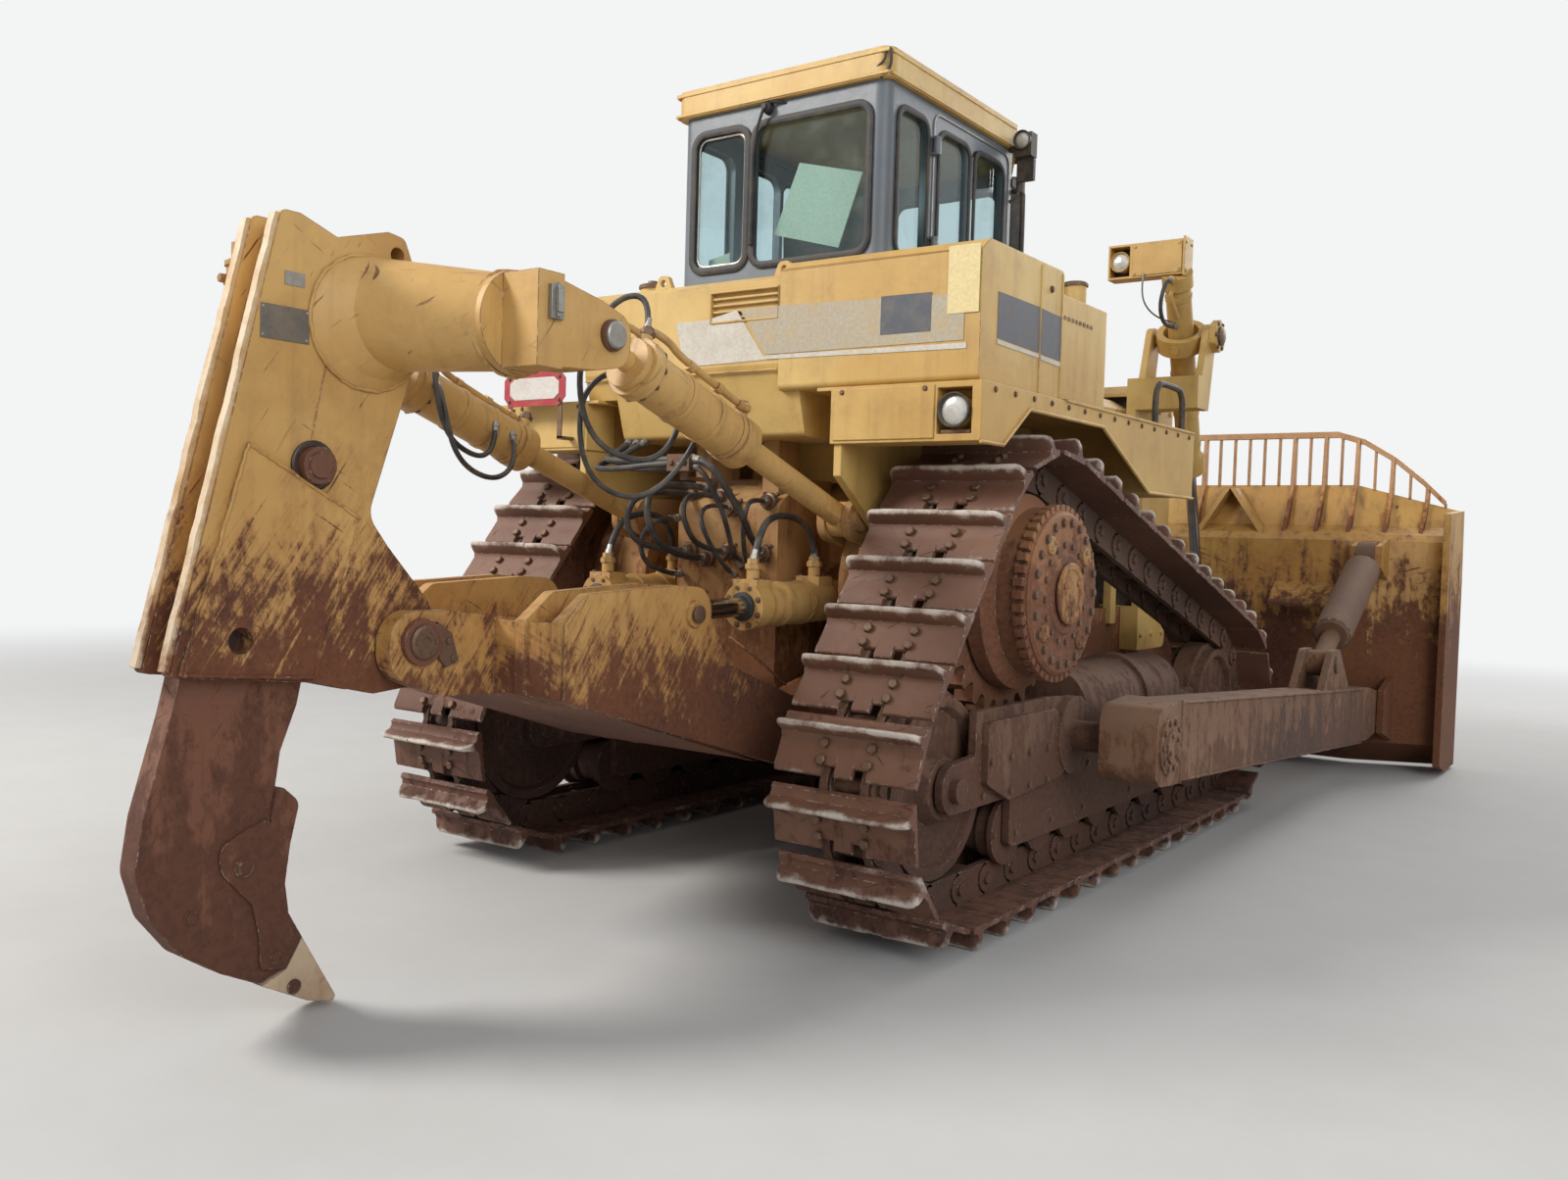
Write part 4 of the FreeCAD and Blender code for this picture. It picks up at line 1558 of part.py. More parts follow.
for label, obj, follows in nodes:
    shape = obj.Shape
    shape.exportStep(f"parts/{label}.step")
    whole.add(shape.BoundBox)
    print(f"{label}: {len(shape.Solids)} solid(s), {shape.Volume / 1e9:.4f} m3, {shape.BoundBox}")
print(f"{len(nodes)} pieces, origin at datum Y {middle:.2f}, X {whole.XMin:.1f} {whole.XMax:.1f}, "
      f"Y {whole.YMin:.1f} {whole.YMax:.1f}, Z {whole.ZMin:.1f} {whole.ZMax:.1f}")
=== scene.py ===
import bpy
import math
import random
from mathutils import Matrix, Vector
from mathutils.bvhtree import BVHTree


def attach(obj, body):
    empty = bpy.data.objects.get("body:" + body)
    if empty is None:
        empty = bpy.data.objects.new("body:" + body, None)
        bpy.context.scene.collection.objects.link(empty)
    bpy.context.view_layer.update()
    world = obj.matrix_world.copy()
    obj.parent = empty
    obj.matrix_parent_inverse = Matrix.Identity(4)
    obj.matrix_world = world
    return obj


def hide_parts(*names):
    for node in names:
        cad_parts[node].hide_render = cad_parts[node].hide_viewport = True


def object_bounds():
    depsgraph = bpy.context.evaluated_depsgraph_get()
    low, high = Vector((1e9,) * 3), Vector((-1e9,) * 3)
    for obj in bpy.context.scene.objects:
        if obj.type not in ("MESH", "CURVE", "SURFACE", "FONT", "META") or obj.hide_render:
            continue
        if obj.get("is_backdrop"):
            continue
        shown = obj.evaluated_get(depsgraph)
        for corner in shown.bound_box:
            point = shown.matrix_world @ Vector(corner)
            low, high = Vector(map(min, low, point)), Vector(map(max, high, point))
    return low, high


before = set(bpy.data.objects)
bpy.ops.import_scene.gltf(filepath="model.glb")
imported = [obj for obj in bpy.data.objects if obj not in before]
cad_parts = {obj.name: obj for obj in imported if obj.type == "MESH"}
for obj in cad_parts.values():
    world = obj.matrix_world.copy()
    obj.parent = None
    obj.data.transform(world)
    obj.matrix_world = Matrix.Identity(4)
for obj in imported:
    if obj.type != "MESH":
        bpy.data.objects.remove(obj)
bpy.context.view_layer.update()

# Weathered crawler dozer, seen from its rear right corner. Metres, X to its right, Y forward.
random.seed(7)
print("frame loaded with", len(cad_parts), "nodes")


# Camera, floor and light

cameraPlace = {
    "x": 3.612, "y": -6.294, "z": 1.561,
    "heading": 35.677,  # degrees from straight ahead, towards the left
    "down": 2.233,
    "roll": 1.686,
    "focal": 29.33,  # on a sensor 36 mm wide
}


def makeCamera():
    heading, down, roll = (math.radians(cameraPlace[key]) for key in ("heading", "down", "roll"))
    forward = Vector((-math.sin(heading) * math.cos(down), math.cos(heading) * math.cos(down),
                      -math.sin(down)))
    level = Vector((math.cos(heading), math.sin(heading), 0))
    upright = level.cross(forward)
    across = level * math.cos(roll) + upright * math.sin(roll)
    above = upright * math.cos(roll) - level * math.sin(roll)
    data = bpy.data.cameras.new("rearCorner")
    data.sensor_width = 36
    data.lens = cameraPlace["focal"]
    camera = bpy.data.objects.new("rearCorner", data)
    turn = Matrix((across, above, -forward)).transposed().to_4x4()
    camera.matrix_world = Matrix.Translation((cameraPlace["x"], cameraPlace["y"], cameraPlace["z"])) @ turn
    bpy.context.scene.collection.objects.link(camera)
    bpy.context.scene.camera = camera


studio = {
    "floorShade": 0.52,
    "skyShade": 0.90,  # what the camera sees behind the machine
    "skyLight": 0.50,  # how much the surroundings light it
    "clear": (7.0, 17.0),  # where the floor begins and ends to turn into the background
    "lamps": (  # place, size, watts, colour
        ((-8.0, -10.5, 10.0), 4.5, 2050, (1.0, 0.965, 0.91)),
        ((10.0, -7.0, 6.0), 7.0, 520, (0.94, 0.97, 1.0)),
        ((3.0, 11.0, 8.0), 7.0, 650, (1.0, 0.98, 0.95)),
    ),
}


def newTree(name):
    material = bpy.data.materials.new(name)
    material.use_nodes = True
    return material, material.node_tree, material.node_tree.nodes["Principled BSDF"]


def put(tree, kind, sockets=None, **settings):
    made = tree.nodes.new(kind)
    for key, value in settings.items():
        setattr(made, key, value)
    for key, value in (sockets or {}).items():
        if isinstance(value, bpy.types.NodeSocket):
            tree.links.new(value, made.inputs[key])
        else:
            made.inputs[key].default_value = value
    return made


def calc(tree, operation, first, second=0.0, clamp=False):
    return put(tree, "ShaderNodeMath", {0: first, 1: second}, operation=operation, use_clamp=clamp).outputs[0]


def times(tree, first, second):
    return calc(tree, "MULTIPLY", first, second)


def plus(tree, first, second, clamp=False):
    return calc(tree, "ADD", first, second, clamp)


# how far a noise leaves its middle, times a share
def swing(tree, noise, share):
    return times(tree, calc(tree, "SUBTRACT", noise, 0.5), share)


def fade(tree, value, low, high, smooth=True):
    kind = "SMOOTHSTEP" if smooth else "LINEAR"
    sockets = {"Value": value, "From Min": low, "From Max": high, "To Min": 0.0, "To Max": 1.0}
    return put(tree, "ShaderNodeMapRange", sockets, interpolation_type=kind).outputs[0]


def tint(tree, share, first, second):
    return put(tree, "ShaderNodeMix", {0: share, 6: first, 7: second}, data_type="RGBA").outputs[2]


def grain(tree, place, scale, detail=5.0, rough=0.6, stretch=None, turn=None):
    if turn:  # turned first, then stretched
        sockets = {"Vector": place, "Rotation": turn, "Scale": tuple(1 / value for value in stretch)}
        place = put(tree, "ShaderNodeMapping", sockets, vector_type="TEXTURE").outputs[0]
    elif stretch:
        place = put(tree, "ShaderNodeMapping", {"Vector": place, "Scale": stretch}).outputs[0]
    sockets = {"Vector": place, "Scale": scale, "Detail": detail, "Roughness": rough}
    return put(tree, "ShaderNodeTexNoise", sockets).outputs[0]


# a colour as a screen shows it, 0 to 255, in the renderer's linear values
def screen(red, green, blue):
    parts = [value / 255 for value in (red, green, blue)]
    return tuple(value / 12.92 if value < 0.04 else ((value + 0.055) / 1.055) ** 2.4 for value in parts) + (1.0,)


def makeStudio():
    world = bpy.data.worlds.new("studio")
    bpy.context.scene.world = world
    world.use_nodes = True
    tree = world.node_tree
    back = tree.nodes["Background"]
    rays = put(tree, "ShaderNodeLightPath")
    seen = calc(tree, "MAXIMUM", rays.outputs["Is Camera Ray"], rays.outputs["Is Glossy Ray"])
    seen = calc(tree, "MAXIMUM", seen, rays.outputs["Is Transmission Ray"])
    shade = studio["skyShade"]
    back.inputs["Color"].default_value = (shade, shade * 1.005, shade * 1.01, 1)
    difference = times(tree, seen, 1.0 - studio["skyLight"])
    tree.links.new(plus(tree, difference, studio["skyLight"]), back.inputs["Strength"])
    mesh = bpy.data.meshes.new("floor")
    reach = 60.0
    mesh.from_pydata([(-reach, -reach, 0), (reach, -reach, 0), (reach, reach, 0), (-reach, reach, 0)], [],
                     [(0, 1, 2, 3)])
    floor = bpy.data.objects.new("floor", mesh)
    bpy.context.scene.collection.objects.link(floor)
    material, tree, shader = newTree("palePaving")
    place = put(tree, "ShaderNodeTexCoord").outputs["Object"]
    shade = studio["floorShade"]
    speck = grain(tree, place, 2.0, 8.0, 0.7)
    colour = tint(tree, fade(tree, speck, 0.3, 0.7), (shade, shade, shade * 0.99, 1),
                  (shade * 0.96, shade * 0.955, shade * 0.94, 1))
    tree.links.new(colour, shader.inputs["Base Color"])
    shader.inputs["Roughness"].default_value = 0.9
    far = put(tree, "ShaderNodeVectorMath", {0: place}, operation="LENGTH").outputs["Value"]
    far = times(tree, fade(tree, far, *studio["clear"]), put(tree,
                                                             "ShaderNodeLightPath").outputs["Is Camera Ray"])
    sky = studio["skyShade"]
    pale = put(tree, "ShaderNodeEmission", {"Color": (sky, sky * 1.005, sky * 1.01, 1)})
    ground = put(tree, "ShaderNodeMixShader", {0: far, 1: shader.outputs[0], 2: pale.outputs[0]})
    tree.links.new(ground.outputs[0], tree.nodes["Material Output"].inputs["Surface"])
    mesh.materials.append(material)
    floor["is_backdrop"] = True
    for number, (place, size, power, colour) in enumerate(studio["lamps"]):
        data = bpy.data.lights.new(f"softLamp{number}", "AREA")
        data.shape = "DISK"
        data.size = size
        data.energy = power
        data.color = colour
        lamp = bpy.data.objects.new(f"softLamp{number}", data)
        lamp.location = place
        lamp.rotation_euler = (Vector((0, -1.0, 1.5)) - Vector(place)).to_track_quat("-Z", "Y").to_euler()
        bpy.context.scene.collection.objects.link(lamp)


makeCamera()
makeStudio()
bpy.context.scene.view_settings.view_transform = "Standard"
print("camera, floor and light made")


# Finishes. Every one is worked out from the surface's own place on the machine.

weathering = {  # what a finish below may change
    "paint": (188, 149, 80),
    "faded": (206, 174, 106),
    "dirt": (128, 92, 56),
    "stain": (168, 104, 46),
    "rust": (104, 60, 40),
    "darkRust": (54, 34, 27),
    "bare": (206, 190, 164),
    "rustLow": 0.0,  # all rust below this height
    "rustHigh": 0.4,  # none above this one, apart from spots
    "spots": 0.30,  # how much of the paint has come off in spots
    "drips": 0.9,  # how far the rust's edge follows running water
    "scraped": 0.0,  # and how far slanting scratches
    "streaks": 0.35,
    "scratches": 0.35,
    "edges": 0.55,  # wear on edges
    "rough": 0.52,
    "bump": 0.25,
    "round": 0.006,  # how far an edge looks rounded
    "wear": None,  # a piece's own wear values, where it has them
}


def weathered(name, **changes):
    look = dict(weathering, **changes)
    material, tree, shader = newTree(name)
    place = put(tree, "ShaderNodeTexCoord").outputs["Object"]
    height = put(tree, "ShaderNodeSeparateXYZ", {0: place}).outputs[2]
    wide = grain(tree, place, 0.8, 4.0)
    middle = grain(tree, place, 5.0, 9.0, 0.68)
    fine = grain(tree, place, 38.0, 8.0, 0.7)
    running = grain(tree, place, 2.2, 6.0, 0.6, (6.0, 6.0, 0.5))
    lines = grain(tree, place, 3.0, 4.0, 0.5, (1.4, 1.6, 30.0), (0.95, 0.35, 0.0))
    cross = grain(tree, place, 3.0, 4.0, 0.5, (1.6, 1.6, 30.0), (-0.45, -0.5, 0.0))
    # paint, faded by the sun and soiled by water running down
    colour = tint(tree, fade(tree, wide, 0.35, 0.65), screen(*look["paint"]), screen(*look["faded"]))
    colour = tint(tree, times(tree, fade(tree, middle, 0.42, 0.75), 0.28), colour, screen(*look["dirt"]))
    soiled = times(tree, fade(tree, running, 0.5, 0.75), look["streaks"])
    colour = tint(tree, soiled, colour, screen(*look["dirt"]))
    # rust creeps up from below and sits in spots
    span = max(look["rustHigh"] - look["rustLow"], 0.01)
    below = fade(tree, times(tree, calc(tree, "SUBTRACT", look["rustHigh"], height), 1 / span), 0.0, 1.0,
                 False)
    flecks = grain(tree, place, 16.0, 12.0, 0.78, (1.0, 1.0, 0.6))
    creep = plus(tree, below, swing(tree, middle, 0.9))
    creep = plus(tree, creep, swing(tree, flecks, 1.5))
    creep = plus(tree, creep, swing(tree, running, look["drips"]))
    if look["scraped"]:
        creep = plus(tree, creep, swing(tree, lines, look["scraped"]))
    halo = fade(tree, creep, 0.15, 0.60)
    rusty = fade(tree, creep, 0.44, 0.72)
    pits = fade(tree, grain(tree, place, 13.0, 12.0, 0.76), 0.76 - 0.12 * look["spots"],
                0.82 - 0.12 * look["spots"])
    # edges: where a rounded normal leaves the true one
    rounded = put(tree, "ShaderNodeBevel", {"Radius": look["round"]}, samples=4).outputs[0]
    true = put(tree, "ShaderNodeNewGeometry").outputs["Normal"]
    turned = put(tree, "ShaderNodeVectorMath", {0: rounded, 1: true},
                 operation="DOT_PRODUCT").outputs["Value"]
    edge = fade(tree, calc(tree, "SUBTRACT", 1.0, turned), 0.01, 0.12)
    chipped = times(tree, edge, fade(tree, middle, 0.62 - 0.3 * look["edges"], 0.72 - 0.3 * look["edges"]))
    marks = calc(tree, "MAXIMUM", fade(tree, lines, 0.66, 0.70), fade(tree, cross, 0.68, 0.72))
    marks = times(tree, marks, plus(tree, fade(tree, wide, 0.42, 0.6), fade(tree, halo, 0.1, 0.7), True))
    marks = times(tree, marks, look["scratches"])
    rustColour = tint(tree, fade(tree, fine, 0.35, 0.68), screen(*look["rust"]), screen(*look["darkRust"]))
    rustColour = tint(tree, times(tree, fade(tree, wide, 0.3, 0.7), 0.35), rustColour, screen(*look["stain"]))
    colour = tint(tree, times(tree, halo, 0.45), colour, screen(*look["stain"]))
    worn = calc(tree, "MAXIMUM", calc(tree, "MAXIMUM", rusty, pits), calc(tree, "MAXIMUM", chipped, marks),
                True)
    colour = tint(tree, worn, colour, rustColour)
    bright = times(tree, chipped, fade(tree, fine, 0.5, 0.62))
    if look["wear"]:
        rubbed = put(tree, "ShaderNodeAttribute", attribute_name=look["wear"]).outputs["Fac"]
        patchy = times(tree, calc(tree, "SUBTRACT", grain(tree, place, 7.0, 9.0, 0.7), 0.5), 3.0)
        rubbed = fade(tree, plus(tree, rubbed, patchy), 0.45, 1.25)
        bright = calc(tree, "MAXIMUM", bright, times(tree, rubbed, 0.82))
    colour = tint(tree, bright, colour, screen(*look["bare"]))
    tree.links.new(colour, shader.inputs["Base Color"])
    rough = plus(tree, times(tree, worn, 0.86 - look["rough"]), look["rough"])
    rough = plus(tree, rough, swing(tree, fine, 0.2))
    tree.links.new(rough, shader.inputs["Roughness"])
    relief = plus(tree, times(tree, fine, 0.5), times(tree, worn, -0.6))
    relief = plus(tree, relief, times(tree, middle, 0.6))
    bump = put(tree, "ShaderNodeBump", {"Strength": look["bump"], "Distance": 0.008, "Height": relief,
                                        "Normal": rounded})
    tree.links.new(bump.outputs[0], shader.inputs["Normal"])
    return material


def plain(name, colour, rough=0.5, metal=0.0, dust=0.25, dustColour=(150, 128, 100), bump=0.1):
    # a small part's finish: one tone, broken up by dust and fine grain
    material, tree, shader = newTree(name)
    place = put(tree, "ShaderNodeTexCoord").outputs["Object"]
    middle = grain(tree, place, 11.0, 7.0, 0.65)
    fine = grain(tree, place, 70.0, 6.0, 0.7)
    dusty = times(tree, fade(tree, middle, 0.38, 0.72), dust)
    base = tint(tree, fade(tree, fine, 0.3, 0.7), screen(*colour),
                tuple(0.8 * value for value in screen(*colour)[:3]) + (1,))
    tree.links.new(tint(tree, dusty, base, screen(*dustColour)), shader.inputs["Base Color"])
    tree.links.new(plus(tree, times(tree, dusty, 0.4), rough), shader.inputs["Roughness"])
    shader.inputs["Metallic"].default_value = metal
    bumped = put(tree, "ShaderNodeBump", {"Strength": bump, "Distance": 0.003, "Height": fine})
    tree.links.new(bumped.outputs[0], shader.inputs["Normal"])
    return material


def windowGlass():
    # thin tinted panes with a little dust
    material, tree, shader = newTree("dustyGlass")
    place = put(tree, "ShaderNodeTexCoord").outputs["Object"]
    clear = put(tree, "ShaderNodeBsdfTransparent", {"Color": (0.86, 0.93, 0.94, 1)})
    gloss = put(tree, "ShaderNodeBsdfGlossy", {"Color": (0.55, 0.6, 0.62, 1), "Roughness": 0.03})
    film = put(tree, "ShaderNodeBsdfDiffuse", {"Color": screen(168, 178, 170)})
    facing = put(tree, "ShaderNodeLayerWeight", {"Blend": 0.5}).outputs["Facing"]
    edge = plus(tree, times(tree, calc(tree, "POWER", facing, 3.0), 0.7), 0.04)
    pane = put(tree, "ShaderNodeMixShader", {0: edge, 1: clear.outputs[0], 2: gloss.outputs[0]})
    dusty = times(tree, fade(tree, grain(tree, place, 3.0, 8.0, 0.7), 0.45, 0.85), 0.16)
    both = put(tree, "ShaderNodeMixShader", {0: dusty, 1: pane.outputs[0], 2: film.outputs[0]})
    tree.links.new(both.outputs[0], tree.nodes["Material Output"].inputs["Surface"])
    return material


upperPaint = weathered("sunFadedPaint", rustHigh=1.2, spots=0.0, streaks=0.22, scratches=0.10, edges=0.30)
workPaint = weathered("scrapedPaint", paint=(184, 140, 76), faded=(203, 163, 98), rust=(88, 50, 36),
                      darkRust=(50, 30, 26),
                      stain=(146, 86, 44), rustLow=0.95, rustHigh=1.90, drips=0.3, scraped=0.8,
                      spots=0.6, scratches=0.9, streaks=0.3, edges=0.7, bump=0.35)
beamPaint = weathered("rustyBeamPaint", paint=(174, 130, 70), faded=(192, 150, 88), rust=(90, 52, 37),
                      darkRust=(50, 30, 25),
                      stain=(144, 86, 44), rustLow=0.80, rustHigh=1.55, drips=0.3, scraped=0.7,
                      spots=0.7, scratches=0.8, edges=0.75, bump=0.4)
cylinderPaint = weathered("oilyCylinderPaint", paint=(182, 140, 78), faded=(200, 160, 98), rustLow=0.4,
                          rustHigh=1.5,
                          spots=0.9, scratches=0.5, streaks=0.45, dirt=(90, 64, 42), bump=0.3)
casePaint = weathered("grimyCase", paint=(150, 112, 68), faded=(170, 132, 84), rustLow=0.6, rustHigh=2.1,
                      spots=0.9, streaks=0.7, dirt=(74, 56, 44), bump=0.5, rough=0.7)
frameIron = weathered("rustedFrame", paint=(80, 58, 48), faded=(104, 80, 64), rust=(72, 49, 40),
                      darkRust=(42, 30, 27),
                      stain=(128, 84, 58), bare=(190, 178,
                                                 162), rustLow=0.3, rustHigh=1.5, spots=0.8, edges=0.8,
                      streaks=0.5, dirt=(64, 46, 38), scratches=0.7, rough=0.75, bump=0.5)
trackIron = weathered("trackIron", paint=(88, 56, 43), faded=(118, 82, 62), rust=(84, 51, 39),
                      darkRust=(42, 29, 25),
                      stain=(112, 70, 48), bare=(214, 204,
                                                 192), rustLow=-1.0, rustHigh=1.6, spots=0.6, edges=0.9,
                      streaks=0.2, dirt=(70, 48, 40), scratches=0.9, rough=0.62, bump=0.6, wear="wear")
hubIron = weathered("rustyHub", paint=(140, 96, 66), faded=(158, 112, 76), rust=(118, 74, 54),
                    darkRust=(74, 48, 38),
                    stain=(150, 98, 60), rustLow=1.2, rustHigh=1.9, spots=0.8, edges=0.6, streaks=0.2, rough=0.7, bump=0.5)
bladePaint = weathered("scrapedBladePaint", paint=(180, 134, 66), faded=(194, 152, 82), rust=(92, 54, 37),
                       darkRust=(52, 32, 26),
                       stain=(146, 88, 42), rustLow=0.7, rustHigh=2.1,
                       spots=0.9, scratches=1.0, streaks=0.6, dirt=(88, 60, 42), edges=0.8, bump=0.4)
armPaint = weathered("scrapedArmPaint", paint=(98, 72, 56), faded=(124, 98, 78), rust=(82, 56, 46),
                     darkRust=(50, 36, 31),
                     stain=(140, 92, 58), bare=(204, 196,
                                                182), rustLow=0.2, rustHigh=1.3, spots=0.9, scratches=0.9,
                     edges=0.9, streaks=0.6, rough=0.72, bump=0.5)
shankIron = weathered("shankIron", paint=(88, 52, 38), faded=(108, 66, 47), rust=(78, 45, 34),
                      darkRust=(44, 28, 24),
                      stain=(116, 70, 45), bare=(200, 182,
                                                 158), rustLow=0.0, rustHigh=2.0, spots=0.5, edges=0.8,
                      streaks=0.3, scratches=1.0, rough=0.6, bump=0.45)
tipSteel = weathered("rubbedTip", paint=(176, 150, 122), faded=(198, 176, 148), rust=(140, 104, 80),
                     darkRust=(98, 70, 54),
                     stain=(160, 120, 86), rustLow=-0.5, rustHigh=0.2, spots=0.3, edges=0.9, scratches=0.9, rough=0.45)
cabPaint = weathered("cabGrey", paint=(84, 91, 99), faded=(104, 112, 120), dirt=(96, 92, 86),
                     stain=(112, 98, 84),
                     rust=(100, 76, 60), rustHigh=1.0, spots=0.0, streaks=0.35, scratches=0.15, edges=0.25, rough=0.42)
rackPaint = weathered("rustyRack", paint=(176, 128, 80), faded=(190, 146, 100), rust=(120, 72, 48),
                      darkRust=(84, 54, 40),
                      rustLow=1.6, rustHigh=2.4, spots=1.0, edges=0.8, scratches=0.6, bump=0.4)
blackPaint = plain("sootyBlack", (46, 42, 40), 0.6, dust=0.35)
blackRubber = plain("blackRubber", (30, 30, 32), 0.6, dust=0.3, dustColour=(118, 106, 92))
hoseRubber = plain("hoseRubber", (50, 49, 50), 0.48, dust=0.4, dustColour=(128, 118, 106))
rodChrome = plain("rodChrome", (196, 196, 198), 0.16, 1.0, dust=0.3, dustColour=(96, 84, 70), bump=0.02)
boltSteel = plain("boltSteel", (120, 96, 78), 0.5, 0.6, dust=0.5, dustColour=(96, 62, 46), bump=0.25)
zincSteel = plain("zincSteel", (158, 156, 150), 0.4, 0.8, dust=0.4, dustColour=(120, 104, 86))
seatVinyl = plain("seatVinyl", (52, 52, 54), 0.6, dust=0.3, bump=0.3)
cabGlass = windowGlass()
lampGlass = plain("lampGlass", (214, 214, 208), 0.12, 0.3, dust=0.35, bump=0.3)
hubPlugPaint = weathered("hubPlugPaint", paint=(158, 122, 74), faded=(176, 142, 92), rust=(112, 72, 50),
                         rustLow=1.0, rustHigh=1.8,
                         spots=0.6, edges=0.7, rough=0.65, bump=0.4)
ridgeSteel = weathered("rubbedRidge", paint=(178, 138, 86), faded=(196, 160, 110), rust=(116, 70, 46),
                       rustLow=0.9, rustHigh=1.9,
                       bare=(214, 196, 168), spots=0.7, edges=0.8, scratches=0.6, wear="wear", bump=0.4)
boardPaper = plain("paleBoard", (196, 210, 190), 0.7, dust=0.10, bump=0.05)
bandWhite = plain("fadedWhiteBand", (206, 200, 188), 0.55, dust=0.35, dustColour=(168, 150, 120))
bandGrey = plain("fadedGreyBand", (176, 166, 146), 0.55, dust=0.45, dustColour=(190, 158, 106))
bandDark = plain("darkBand", (74, 78, 88), 0.5, dust=0.30, dustColour=(140, 128, 108))
stickerCream = plain("blankSticker", (226, 206, 150), 0.45, dust=0.15, dustColour=(190, 160, 110))
signRed = plain("signBorder", (168, 40, 52), 0.4, dust=0.2)
signWhite = plain("signFace", (214, 208, 202), 0.35, dust=0.25)
tagSteel = plain("blankPlate", (108, 104, 98), 0.4, 0.5, dust=0.35, dustColour=(150, 128, 98))
greaseBlack = plain("greasyBlack", (44, 30, 26), 0.35, dust=0.4, dustColour=(92, 56, 42), bump=0.4)
print("finishes made:", len(bpy.data.materials))

nodeFinishes = {
    "track_": trackIron, "track_wheels_": frameIron, "track_frame_": frameIron, "final_drive_": hubIron,
    "main_frame": casePaint, "rear_case": casePaint, "ripper_brackets": casePaint, "engine_block": blackPaint, "engine_hood": upperPaint, "radiator_guard": upperPaint,
    "grille": blackPaint, "exhaust_and_intake": blackPaint, "fuel_tank": upperPaint, "oil_tank": upperPaint,
    "fender_": upperPaint, "cab_body": cabPaint, "cab_roof": upperPaint, "cab_glass": cabGlass,
    "seat_and_console": seatVinyl, "lift_yokes": upperPaint, "door_": cabPaint, "door_right_glass": cabGlass,
    "door_left_glass": cabGlass, "blade": bladePaint, "rock_rack": rackPaint, "push_arms": armPaint,
    "tilt_cylinders": armPaint, "lift_rings": upperPaint, "lift_barrel_": upperPaint, "lift_rod_": rodChrome,
    "ripper_beam": beamPaint, "carrier_pin": shankIron, "ripper_carrier": workPaint, "ripper_shank": shankIron,
    "shank_protector": shankIron, "ripper_tip": tipSteel, "pin_puller": casePaint, "tilt_cylinder_pins": shankIron,
    "ripper_tilt_barrels": cylinderPaint, "ripper_tilt_rods": cylinderPaint, "ripper_lift_barrels": cylinderPaint,
    "ripper_lift_rods": rodChrome,
}
for name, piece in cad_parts.items():
    fitting = max((start for start in nodeFinishes if name.startswith(start)), key=len)
    piece.data.materials.clear()
    piece.data.materials.append(nodeFinishes[fitting])
print("nodes finished")


# Building in mesh code: one Shape gathers many small solids into a piece

